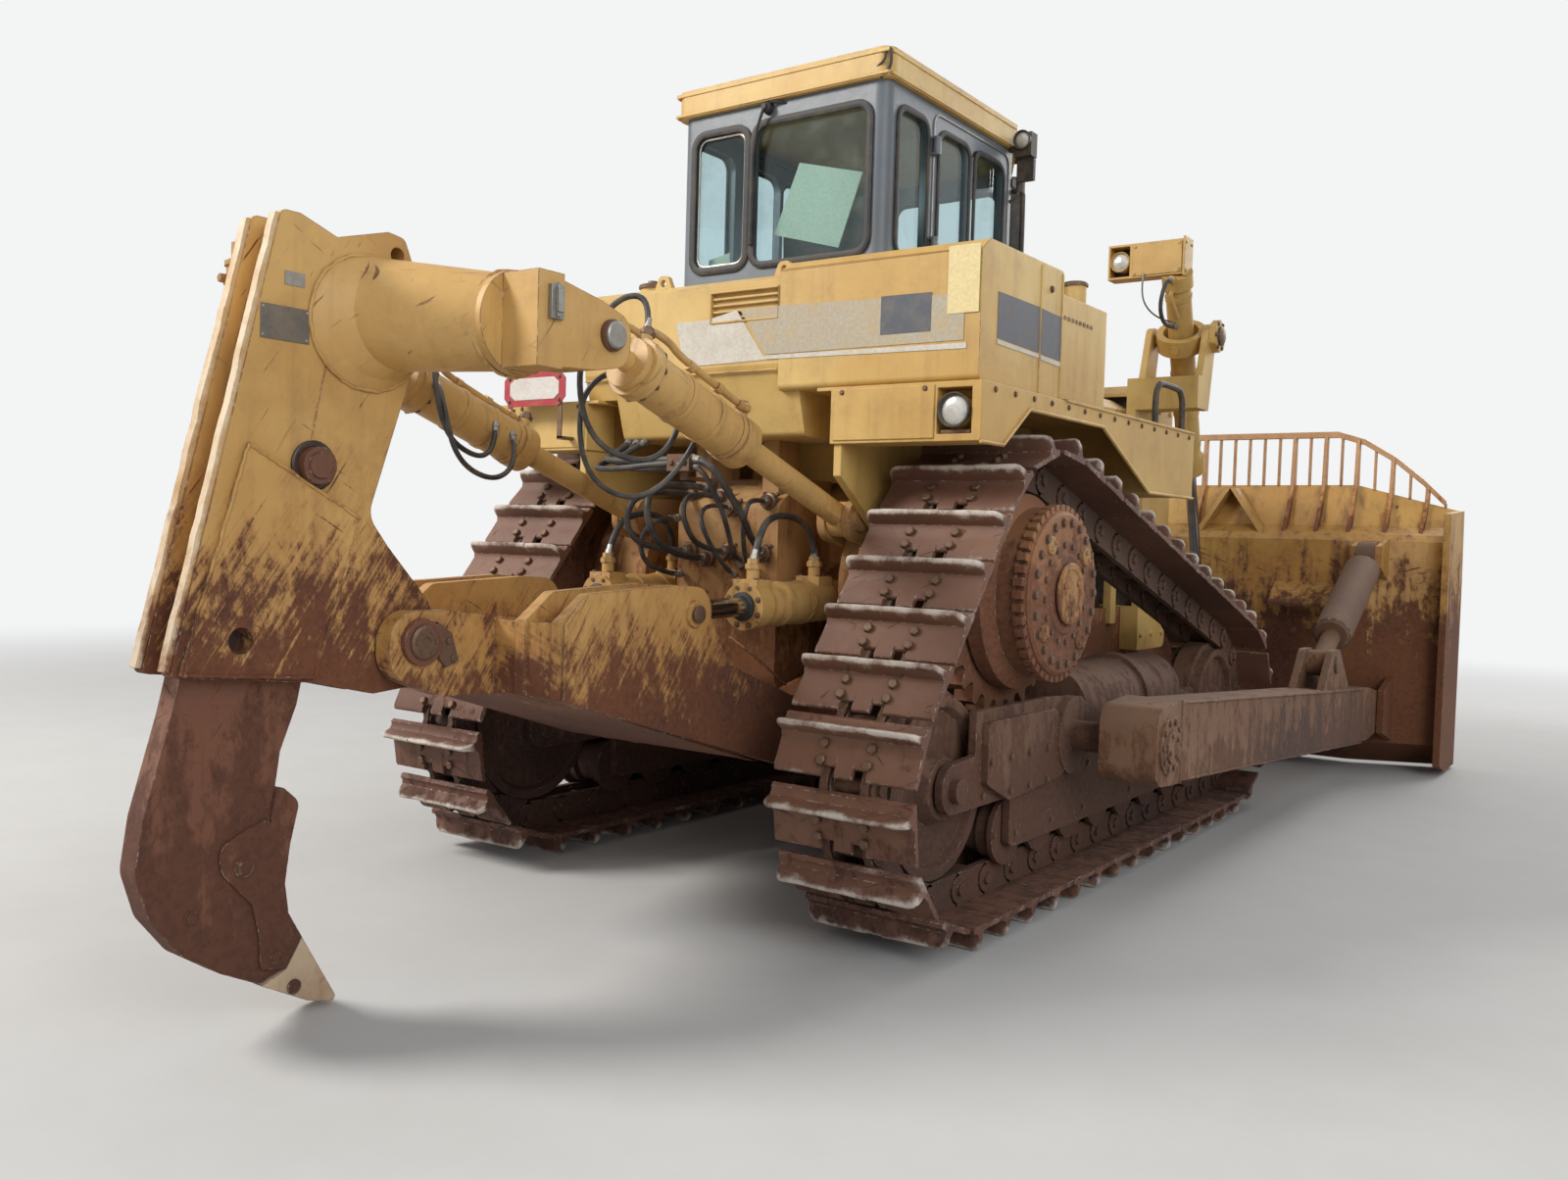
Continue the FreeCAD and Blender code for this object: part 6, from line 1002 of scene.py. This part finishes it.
fixings.lathe(at(1180, 470, 2778), up, [(0, 0.060), (0.012, 0.060), (0.020, 0.052), (0.024, 0.001)], 18)
for x, y in ringOf(8, 128):
    fixings.bolt(at(1080 + x, 140 + y, 2669), up, 0.009)
seams.finish("panel_seams", upperPaint, "tractor", "worn_yellow", 40)
fixings.finish("tank_fixings", boltSteel, "tractor", "cast_steel", 30)
print("tanks and fenders dressed")


# Ripper carrier: worn rear ridges, blank plates, weld beads, horn brackets, puller fittings

ridges, tags, beads, marks, brackets = Shape(), Shape(), Shape(), Shape(), Shape()
for side in (1, -1):
    near, far = sorted((side * 54, side * 99))
    lowEdge, highEdge = (-3260, 1135), (-2930, 2500)
    count = 28
    loops, wear = [], []
    chance = random.Random(12 + side)
    for k in range(count + 1):
        share = k / count
        y = lowEdge[0] + (highEdge[0] - lowEdge[0]) * share
        height = lowEdge[1] + (highEdge[1] - lowEdge[1]) * share
        jut = chance.uniform(7, 13)
        loops.append(places((near, y + 6, height), (near + 4, y - jut * 0.8, height),
                            (far - 4, y - jut, height), (far, y + 6, height)))
        wear += [0.2, 0.95, 0.95, 0.2]
    ridges.rings(loops, wear=wear)
    # welds: the horn's root, its collar, the doubler's edge
    for radius, x in ((0.214, 106), (0.168, 478)):
        centre = (-2610, 2215) if x < 200 else (-2348, 2226)
        circle = [at(side * x, centre[0] + 1000 * radius * math.cos(2 * math.pi * k / 40),
                     centre[1] + 1000 * radius * math.sin(2 * math.pi * k / 40)) for k in range(41)]
        weld(beads, circle, 0.007 if x < 200 else 0.006, k)
    weld(beads, [at(side * 117, y, height) for y, height in
                 ((-3030, 1800), (-2640, 1590), (-2800, 1090), (-3232, 1125), (-3030, 1800))], 0.006, 4)
    weld(beads, places((103, -2962, 1105), (103, -2700, 2380), side=side), 0.003, 9)
    # a bolted grey bracket on the horn's end box, a grease plug, the pin's lock plate
    block(brackets, (682, -2385, 2225), (700, -2330, 2330), side)
    block(brackets, (700, -2370, 2245), (716, -2345, 2315), side)
    for height in (2240, 2322):
        brackets.bolt(at(side * 700, -2358, height), (side, 0, 0), 0.012)
    brackets.lathe(at(side * 700, -2100, 2212), (side, 0, 0), [(-0.004, 0.046), (0.010, 0.046),
                                                               (0.014, 0.040)], 18)
tags.box(at(102, -2990, 2118), at(105, -2826, 2222))
for y, height in ((-2982, 2212), (-2834, 2212), (-2982, 2128), (-2834, 2128)):
    brackets.lathe(at(104, y, height), (1, 0, 0), [(0, 0.006), (0.003, 0.004)], 8)
paleTag = Shape()
paleTag.box(at(102, -2911, 2288), at(104.5, -2843, 2330))
paleTag.finish("carrier_small_plate", zincSteel, "ripper_carrier", "cast_steel", 30)
tags.finish("carrier_blank_plate", tagSteel, "ripper_carrier", "cast_steel", 30, bevel=0.001)
ridges.finish("carrier_ridges", ridgeSteel, "ripper_carrier", "worn_yellow", 40)
beads.finish("carrier_welds", workPaint, "ripper_carrier", "worn_yellow", 60)
# the shank pin's greasy socket
for side in (1, -1):
    marks.lathe(at(side * 103, -2805, 1749), (side, 0, 0), [(0, 0.078), (0.006, 0.078), (0.010, 0.072),
                                                            (0.010, 0.060),
                                                            (0.002, 0.059)], 24)
marks.finish("shank_pin_collars", greaseBlack, "ripper_carrier", "dark_metal", 30)
brackets.finish("horn_brackets", zincSteel, "ripper_carrier", "cast_steel", 30, bevel=0.001)

# beam: pivot lock plates, plates and bolts on the ears, welds
beamTrim, beamWelds = Shape(), Shape()
for side in (1, -1):
    low, high = sorted((side * 186, side * 200))
    beamTrim.plate([at(low, y, height) for y, height in [(-2390, 1255), (-2330, 1215), (-2300, 1120),
                                                         (-2350, 1100), (-2380, 1130)]],
                   ((high - low) / 1000, 0, 0))
    for y, height in ((-2345, 1190), (-2325, 1130)):
        beamTrim.bolt(at(side * 199, y, height), (side, 0, 0), 0.013)
    beamTrim.lathe(at(side * 206, -2450, 1190), (side, 0, 0), [(0, 0.058), (0.010, 0.058), (0.016, 0.050),
                                                               (0.016, 0.018),
                                                             (0.010, 0.016), (0.010, 0.001)], 24)
    for y, height in ringOf(6, 38):
        beamTrim.bolt(at(side * 221, -2450 + y, 1190 + height), (side, 0, 0), 0.008, 0.006, False)
    for edge in (537, 287):
        beamTrim.lathe(at(side * (edge + 13), -1450, 1272), (side, 0, 0),
                       [(0, 0.034), (0.006, 0.034), (0.008, 0.028)], 18)
    weld(beamWelds, places((539, -2050, 1340), (539, -2132, 1255), (539, -2138, 1005), side=side), 0.006, 7)
    weld(beamWelds, places((539, -1250, 1180), (539, -1040, 1070), (539, -860, 960), side=side), 0.005, 8)
beamTrim.finish("beam_pin_locks", boltSteel, "ripper_beam", "cast_steel", 30, bevel=0.001)
beamWelds.finish("beam_welds", beamPaint, "ripper_beam", "worn_yellow", 60)

# pin puller: hose fittings, straps
puller = Shape()
puller.lathe(at(-196, -2872, 2374), up, [(0, 0.050), (0.016, 0.050), (0.022, 0.040)], 16)
puller.lathe(at(-196, -2872, 1976), up, [(0, 0.050), (0.018, 0.050)], 16)
for height in (2040, 2330):
    puller.bolt(at(-196, -2916, height), (0, -1, 0), 0.016, 0.030)
    puller.lathe(at(-196, -2872, height - 14), up, [(0, 0.052), (0.028, 0.052)], 16)
puller.finish("pin_puller_fittings", casePaint, "ripper_carrier", "cast_steel", 30)

# shank: bolts of the guard; tip's retaining pin
shankBolts = Shape()
for side in (1, -1):
    for node, y, height, size in (("shank_protector", -2990, 520, 0.024), ("ripper_shank", -3150, 395, 0.018),
                                  ("shank_protector", -2880, 215, 0.015)):
        boltOn(shankBolts, node, at(side * 400, y, height), (-side, 0, 0), size, size * 0.5)
    spot = touch("ripper_tip", at(side * 400, -2815, 105), (-side, 0, 0))
    if spot:
        shankBolts.lathe(spot, (side, 0, 0), [(-0.002, 0.024), (0.006, 0.024), (0.008, 0.018),
                                              (0.004, 0.001)], 14)
shankBolts.finish("shank_bolts", shankIron, "ripper_carrier", "cast_steel", 30)
print("ripper dressed")

# Hydraulics: steel pipes and fittings on the cylinders, then the hoses

def coupling(shape, place, direction, size):
    shape.lathe(place, direction, [(-0.012, size * 0.75), (0, size * 0.95), (0.012, size * 0.95),
                                   (0.013, size * 0.78),
                                   (0.030, size * 0.78), (0.032, size * 0.66), (0.055, size * 0.62)], 10)


pipes, liftPipes, fittings = Shape(), Shape(), Shape()
tiltTop, tiltFoot = (-2100, 2212), (-558, 1658)  # Y and Z of the tilt cylinders' two pins
tiltWay = (at(0, *tiltFoot) - at(0, *tiltTop)).normalized()
tiltUp = Vector((0, -tiltWay.z, tiltWay.y))
for side in (1, -1):
    top = at(side * 600, *tiltTop)

    def beside(reach, lift, aside=0.0):
        return top + tiltWay * reach + tiltUp * lift + Vector((aside, 0, 0))

    # the long pipe on top of the barrel, its block at the head, clamps, and flange bolts
    pipes.pipe(curved([beside(0.231, 0.125), beside(0.240, 0.150), beside(0.275, 0.160),
                       beside(0.330, 0.150, 0.02 * side),
                       beside(0.420, 0.128, 0.03 * side), beside(0.780, 0.122, 0.03 * side), beside(0.812,
                                                                      0.140, 0.02 * side),
                       beside(0.820, 0.128)]), 0.014, 10)
    pipes.pipe(curved([beside(0.231, 0.110), beside(0.20, 0.135, -0.03 * side),
                       beside(0.15, 0.130, -0.05 * side),
                       beside(0.13, 0.09, -0.06 * side)]), 0.013, 10)
    for reach in (0.45, 0.62, 0.76):
        pipes.lathe(beside(reach, 0), tiltWay, [(-0.012, 0.0925), (-0.012, 0.097), (0.012, 0.097),
                                                (0.012, 0.0925)], 28, True)
        pipes.lathe(beside(reach, 0.122, 0.03 * side), tiltWay, [(-0.016, 0.021), (0.016, 0.021)], 10)
    for reach, radius, size, tall in ((0.258, 0.099, 0.011, 0.012), (0.860, 0.080, 0.009, 0.008)):
        for lift, aside in ringOf(10, radius, 0.3):
            fittings.bolt(beside(reach, lift, aside), tiltWay, size, tall)
    for reach in (0.231, 0.820):
        fittings.lathe(beside(reach, 0.128), tiltUp, [(0, 0.030), (0.018, 0.030), (0.020, 0.022),
                                                      (0.032, 0.020)], 6)
    pipes.lathe(beside(0.862, 0), tiltWay, [(0, 0.0505), (0, 0.066), (0.010, 0.066), (0.014, 0.056),
                                            (0.014, 0.0505)], 24, True)
pipes.finish("tilt_cylinder_pipes", cylinderPaint, "ripper_tilt_barrels", "worn_yellow", 35)
fittings.finish("tilt_cylinder_bolts", boltSteel, "ripper_tilt_barrels", "cast_steel", 30)

liftFittings, liftHeads, rodSeals = Shape(), Shape(), Shape()
ripperLift = {
    "x": 412, "front": (-300, 1300), "rear": (-1450, 1272),  # Y and Z of a lift cylinder's two pins
    "ports": (190, 640), "drop": 0.0243,  # where its ports are behind the front pin, and its fall
    "clamps": (0.30, 0.47),
}
liftWay = (at(0, *ripperLift["rear"]) - at(0, *ripperLift["front"])).normalized()
for side in (1, -1):
    foot = at(side * ripperLift["x"], *ripperLift["front"])
    for lift, aside in ringOf(8, 0.082, 0.4):
        liftFittings.bolt(foot + liftWay * 0.700 + up * lift + east * aside, liftWay, 0.010)
    for reach in ripperLift["ports"]:
        y, height = ripperLift["front"][0] - reach, ripperLift["front"][1] - reach * ripperLift["drop"]
        for sx in (-46, 46):
            for sy in (-38, 38):
                liftFittings.bolt(at(side * ripperLift["x"] + sx, y + sy, height + 110), up, 0.010)
        liftHeads.lathe(at(side * ripperLift["x"], y, height + 152), up,
                        [(0, 0.034), (0.022, 0.034), (0.024, 0.026), (0.045, 0.024)], 6)
    rodSeals.lathe(foot + liftWay * 0.701, liftWay, [(0, 0.0405), (0, 0.060), (0.012, 0.060), (0.018, 0.046),
                                                     (0.030, 0.044), (0.034, 0.0405)], 22, True)
    for reach in ripperLift["clamps"]:
        liftHeads.lathe(foot + liftWay * reach, liftWay, [(-0.014, 0.0925), (-0.014, 0.0965), (0.014, 0.0965),
                                                          (0.014, 0.0925)], 28, True)
liftFittings.finish("ripper_cylinder_bolts", boltSteel, "ripper_lift_barrels", "cast_steel", 30)
liftHeads.finish("ripper_cylinder_ports", cylinderPaint, "ripper_lift_barrels", "worn_yellow", 30)
rodSeals.finish("ripper_rod_seals", blackRubber, "ripper_lift_barrels", "dark_metal", 30)

# a clamp block for the bundle on an arm from the case, and the case's ports
manifold = Shape()
manifold.box(at(85, -1125, 1835), at(205, -1065, 1905))
manifold.box(at(125, -1070, 1800), at(165, -590, 1815))
manifold.box(at(125, -1085, 1800), at(165, -1070, 1840))
for x in (110, 180):
    manifold.bolt(at(x, -1124, 1870), -north, 0.012)
for k, (x, height) in enumerate(((-230, 1760), (-150, 1790), (-60, 1750), (40, 1700), (230, 1730),
                                 (-200, 1500), (-100, 1470),
                                 (20, 1500), (120, 1460), (220, 1500))):
    spot = touch("rear_case", at(x, -2500, height), north)
    manifold.lathe(spot, -north, [(-0.01, 0.040), (0.022, 0.040), (0.026, 0.030), (0.050, 0.028)], 10)
    for sx, sz in ((-0.034, -0.034), (0.034, -0.034), (0.034, 0.034), (-0.034, 0.034)):
        manifold.bolt(spot + Vector((sx, 0.002, sz)), -north, 0.008, 0.01)
manifold.finish("case_ports", boltSteel, "tractor", "cast_steel", 30)

hoseEnds = {body: Shape() for body in ("tractor", "ripper_tilt_barrels", "ripper_lift_barrels",
                                       "lift_barrel_right",
                                       "lift_barrel_left")}
hoseLengths = []


def hosePoint(x, y, height):
    return touch("rear_case", at(x, -2500, height), north) - north * 0.024 if y is None else at(x, y, height)


def hose(name, points, diameter, body):
    line = bpy.data.curves.new(name, "CURVE")
    line.dimensions = "3D"
    line.bevel_depth = diameter / 2
    line.bevel_resolution = 3
    line.resolution_u = 8
    line.use_fill_caps = True
    spline = line.splines.new("NURBS")
    spline.points.add(len(points) - 1)
    for point, place in zip(spline.points, points):
        point.co = (*hosePoint(*place), 1)
    spline.order_u = 3
    spline.use_endpoint_u = True
    piece = bpy.data.objects.new(name, line)
    bpy.context.scene.collection.objects.link(piece)
    line.materials.append(hoseRubber)
    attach(piece, body)
    length = round(spline.calc_length(), 3)
    tuple(hosePoint(*points[0]))
    for a, b in ((points[0], points[1]), (points[-1], points[-2])):
        start, following = hosePoint(*a), hosePoint(*b)
        coupling(hoseEnds[body], start, following - start, diameter * 0.80)
    hoseLengths.append(length)


hoses = {  # by body: name, diameter, points. A point without Y is at a port of the case
    # the bundle from under the tank to the clamp block, and on into the case
    "tractor": (
        ("hose_bundle_1", 0.030, ((-520, -690, 2006), (-520, -790, 1940), (-440, -960, 1900),
                                  (-180, -1060, 1880), (60, -1095, 1885), (180, -1095, 1885))),
        ("hose_bundle_2", 0.030, ((-470, -690, 2006), (-470, -780, 1930), (-380, -930, 1875),
                                  (-140, -1050, 1850), (60, -1090, 1852), (180, -1090, 1852))),
        ("hose_bundle_3", 0.026, ((-420, -690, 2006), (-430, -820, 1930), (-480, -1000, 1860),
                                  (-220, -1110, 1845), (60, -1120, 1868), (150, -1105, 1868))),
        ("hose_case_1", 0.030, ((195, -1095, 1885), (290, -1110, 1880), (360, -1060, 1760), (330, -900, 1640),
                                (260, -760, 1560), (220, None, 1500))),
        ("hose_case_2", 0.022, ((195, -1090, 1855), (270, -1120, 1850), (310, -1040, 1700), (240, -880, 1560),
                                (160, -760, 1480), (120, None, 1460))),
        ("hose_case_3", 0.028, ((-230, None, 1760), (-235, -760, 1770), (-290, -920, 1740),
                                (-300, -960, 1600), (-240, -880, 1500), (-200, None, 1500))),
        ("hose_case_4", 0.031, ((-150, None, 1790), (-150, -800, 1805), (-140, -990, 1760),
                                (-110, -1020, 1600), (-100, -860, 1470), (-100, None, 1470))),
        ("hose_case_5", 0.024, ((-60, None, 1750), (-55, -740, 1760), (-10, -900, 1730), (20, -930, 1620),
                                (20, -820, 1510), (20, None, 1500))),
        ("hose_case_6", 0.020, ((40, None, 1700), (45, -780, 1715), (120, -950, 1660), (150, -930, 1560),
                                (120, -760, 1430), (60, None, 1400))),
        ("hose_case_7", 0.022, ((230, None, 1730), (240, -740, 1740), (300, -860, 1680), (290, -860, 1560),
                                (200, -700, 1440), (180, None, 1430))),
        ("hose_case_8", 0.023, ((-270, None, 1650), (-290, -740, 1650), (-300, -860, 1560),
                                (-280, -850, 1440), (-250, -700, 1390), (-250, None, 1390))),
    ),
    # loops below the horns
    "ripper_tilt_barrels": (
        ("hose_loop_1", 0.022, ((-600, -1838, 2264), (-592, -1805, 2400), (-470, -1860, 2400),
                                (-390, -1960, 2190), (-390, -1900, 1930), (-430, -1690, 1850), (-485, -1555,
                                                                      1910), (-506, -1535, 2009))),
        ("hose_loop_2", 0.022, ((-508, -1860, 2130), (-450, -1880, 2140), (-380, -1910, 2040),
                                (-370, -1850, 1830), (-390, -1640, 1760), (-440, -1470, 1850), (-506, -1441,
                                                                      1975))),
        ("hose_loop_3", 0.022, ((600, -1838, 2264), (592, -1805, 2400), (470, -1860, 2400),
                                (380, -1960, 2180), (380, -1900, 1900), (430, -1680, 1820), (485, -1550,
                                                                      1890), (506, -1535, 2009))),
        ("hose_loop_4", 0.020, ((508, -1860, 2130), (440, -1880, 2140), (350, -1920, 2020),
                                (330, -1850, 1760), (370, -1620, 1680), (440, -1440, 1820), (506, -1422,
                                                                      1968))),
    ),
    # arcs between the ports of the ripper's lift cylinders
    "ripper_lift_barrels": (
        ("hose_arc_1", 0.030, ((412, -490, 1474), (412, -500, 1570), (400, -590, 1660), (395, -780, 1670),
                               (412, -900, 1600), (412, -940, 1464))),
        ("hose_arc_2", 0.030, ((-412, -490, 1474), (-412, -500, 1570), (-400, -590, 1660), (-395, -780, 1670),
                               (-412, -900, 1600), (-412, -940, 1464))),
    ),
    # blade lift cylinders: thick hose by the lamp box, thin wire
    "lift_barrel_right": (
        ("hose_lift_right", 0.025, ((884, 2600, 3222), (884, 2520, 3215), (860, 2490, 3080),
                                    (845, 2560, 2990), (846, 2680, 2950), (848, 2817, 2975))),
        ("wire_lift_right", 0.010, ((700, 2622, 3275), (700, 2590, 3170), (740, 2580, 3060),
                                    (800, 2690, 3000), (851, 2804, 2996))),
    ),
    "lift_barrel_left": (
        ("hose_lift_left", 0.025, ((-884, 2600, 3222), (-884, 2520, 3215), (-860, 2490, 3080),
                                   (-845, 2560, 2990), (-846, 2680, 2950), (-848, 2817, 2975))),
    ),
}
for body, laid in hoses.items():
    for name, diameter, points in laid:
        hose(name, points, diameter, body)
for body, shape in hoseEnds.items():
    shape.finish("hose_ends_" + body, zincSteel, body, "cast_steel", 30)
print("hoses laid:", len(hoseLengths), "with", round(sum(hoseLengths), 2), "m in all")


# Blade lift cylinders: pipe down the barrel, clamps, cover and lamp of the box, yoke bolts

bladeLift = {
    "top": (840, 2960, 2920), "foot": (560, 4470, 985),  # a cylinder's swivel and its lower pin
    "clamps": (-0.300, 0.250, 0.550, 0.800),
    "boxUp": 344.652, "boxBack": -328.928,  # the lamp box's lower rear edge, from the swivel
}

for side, label in ((1, "right"), (-1, "left")):
    body = f"lift_barrel_{label}"
    dress, glass, sealsAndNicheShade = Shape(), Shape(), Shape()
    top, foot = places(bladeLift["top"], bladeLift["foot"], side=side)
    down = (foot - top).normalized()
    outward = (down * north.dot(down) - north).normalized()
    for reach in bladeLift["clamps"]:
        dress.lathe(top + down * reach, down, [(-0.014, 0.0785), (-0.014, 0.083), (0.014, 0.083),
                                               (0.014, 0.0785)], 24, True)
    dress.pipe(curved([top + down * -0.390 + outward * 0.10, top + down * -0.35 + outward * 0.115,
                       top + down * -0.20 + outward * 0.105 + east * 0.03]), 0.014, 10)
    dress.pipe(curved([top + down * 0.22 + outward * 0.105 + east * 0.03,
                       top + down * 0.60 + outward * 0.105 + east * 0.03,
                       top + down * 0.90 + outward * 0.115 + east * 0.02, top + down * 0.96 + outward * 0.10]), 0.014, 10)
    for lift, aside in ringOf(8, 0.082):
        dress.bolt(top + down * 1.020 + outward * lift + down.cross(outward) * aside, down, 0.010)
    sealsAndNicheShade.lathe(top + down * 1.021, down, [(0, 0.0385), (0, 0.056), (0.012, 0.056), (0.020, 0.042),
                                            (0.030, 0.0385)], 20, True)
    # the box: a black sheet as painted shade in its niche, ringed lamp, flat cover, end plate's bolts
    low = bladeLift["top"][2] + bladeLift["boxUp"]
    near = bladeLift["top"][1] + bladeLift["boxBack"]
    workLamp(dress, glass, at(side * 541, near + 14, low + 108), -north, 0.060)
    cover = sorted((side * 625, side * 935))
    dress.box(at(cover[0], near - 5, low + 12), at(cover[1], near + 1, low + 203))
    for x in (640, 920):
        for height in (26, 190):
            dress.bolt(at(side * x, near - 4, low + height), -north, 0.008)
    for height in (20, 190):
        for y in (near + 12, near + 108):
            dress.bolt(at(side * 957, y, low + height), (side, 0, 0), 0.009)
    # a thin black sheet behind the lamp: painted shade that darkens the box's niche, kept with the rod's real rubber
    # seal
    block(sealsAndNicheShade, (478, near + 80, low + 15), (604, near + 84, low + 200), side)
    dress.finish(f"lift_fittings_{label}", upperPaint, body, "worn_yellow", 30)
    glass.finish(f"lift_lamp_glass_{label}", lampGlass, body, "cab_glass", 30)
    sealsAndNicheShade.finish(f"lift_seals_and_niche_shade_{label}", blackRubber, body, "dark_metal", 30)

frontBolts = Shape()
for side in (1, -1):
    frontBolts.lathe(at(side * 1088, *bladeLift["top"][1:]), (side, 0, 0),
                     [(0, 0.060), (0.012, 0.060), (0.020, 0.046), (0.022, 0.001)], 20)
    for y, height in ringOf(6, 82):
        boltOn(frontBolts, "lift_yokes", at(side * clear, bladeLift["top"][1] + y,
                                            bladeLift["top"][2] + height), (-side, 0, 0), 0.012)
    for y in (2760, 2940, 3080):
        boltOn(frontBolts, "lift_yokes", at(side * clear, y, 2340), (-side, 0, 0), 0.016)
frontBolts.finish("yoke_bolts", boltSteel, "tractor", "cast_steel", 30)
print("lift cylinders dressed")


# Blade and push arms: edge bolts, welds, covers, clevis pins

arms = {
    "trunnion": (250, 725),  # Y and Z
    "weldX": 1777,
    "brace": ((1654, 3420, 880), (1654, 4667, 1560)),
}
bladeTrim, armTrim, armWelds, braceTrim = Shape(), Shape(), Shape(), Shape()
for k in range(-13, 14):
    for height in (120, 215):
        boltOn(bladeTrim, "blade", at(k * 155, 7000, height), (0, -1, 0), 0.018, 0.010)
for side in (1, -1):
    for x in (250, 700, 1150, 1300):
        boltOn(bladeTrim, "blade", at(side * x, 2000, 1000), (0, 1, 0), 0.018)
    for count, radius, turn, size in ((10, 104, 0.0, 0.013), (4, 52, 0.5, 0.010)):
        for y, height in ringOf(count, radius, turn):
            boltOn(armTrim, "push_arms", at(side * clear, arms["trunnion"][0] + y,
                                            arms["trunnion"][1] + height), (-side, 0, 0), size)
    weld(armWelds, places((arms["weldX"], 420, 895), (arms["weldX"], 4180, 660), side=side), 0.006, 3)
    weld(armWelds, places((arms["weldX"], 420, 552), (arms["weldX"], 4180, 300), side=side), 0.006, 5)
    weld(armWelds, places((1783, 410, 540), (1783, 410, 910), side=side), 0.007, 6)
    for x, away in ((1550, -1), (1758, 1)):
        armTrim.lathe(at(side * x, 3420, 880), (side * away, 0, 0), [(0, 0.060), (0.014, 0.060),
                                                                     (0.018, 0.051), (0.018, 0.001)], 20)
    low, high = places(*arms["brace"], side=side)
    along = (high - low).normalized()
    braceTrim.lathe(low + along * 0.360, along, [(-0.020, 0.060), (-0.020, 0.100), (0.0, 0.112),
                                                 (0.004, 0.1185)], 28)
    for aside, lift in ringOf(8, 0.098):
        braceTrim.bolt(low + along * 0.360 + east * aside + along.cross(east) * lift, -along, 0.011)
bladeTrim.finish("blade_bolts", boltSteel, "blade_and_arms", "cast_steel", 30)
armTrim.finish("arm_bolts", boltSteel, "blade_and_arms", "cast_steel", 30)
armWelds.finish("arm_welds", armPaint, "blade_and_arms", "cast_steel", 60)
braceTrim.finish("brace_glands", armPaint, "blade_and_arms", "cast_steel", 30)


# Track frames, hood and guard: bolts, caps, handles, louvres

frameRows = {"heights": (560, 700), "step": 180, "rollers": 357, "rollerStep": 120}
frameTrim = Shape()
for side, label in ((1, "right"), (-1, "left")):
    for y in range(-560, 2500, frameRows["step"]):
        for height in frameRows["heights"]:
            boltOn(frameTrim, f"track_frame_{label}", at(side * clear, y, height), (-side, 0, 0), 0.015)
    for y in range(-480, 2500, frameRows["rollerStep"]):
        boltOn(frameTrim, f"track_wheels_{label}", at(side * clear, y, frameRows["rollers"]), (-side, 0, 0),
               0.013)
frameTrim.finish("track_frame_bolts", boltSteel, "tractor", "cast_steel", 30)

hoodTrim = Shape()
for side in (1, -1):
    for y in (1400, 1860, 2320, 2780):
        hoodTrim.pipe(places((502, y, 1640), (502, y, 2470), side=side), 0.005, 6)
    for y in (1600, 2060, 2520):
        hoodTrim.pipe(curved(places((500, y, 2180), (530, y, 2180), (530, y + 90, 2180), (500, y + 90, 2180),
                                    side=side)), 0.008, 8)
        for k in range(6):
            block(hoodTrim, (499, y - 110, 1800 + 45 * k), (510, y + 190, 1812 + 45 * k), side)
    for y in (3120, 3320, 3520):
        for height in (1000, 1500, 2000, 2500):
            boltOn(hoodTrim, "radiator_guard", at(side * clear, y, height), (-side, 0, 0), 0.016)
for k in range(5):
    hoodTrim.box(at(-300, 1500 + 260 * k, 2558), at(300, 1520 + 260 * k, 2566))
hoodTrim.finish("hood_trim", upperPaint, "tractor", "worn_yellow", 30, bevel=0.001)
print("blade, arms, frames and hood dressed")


low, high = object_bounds()
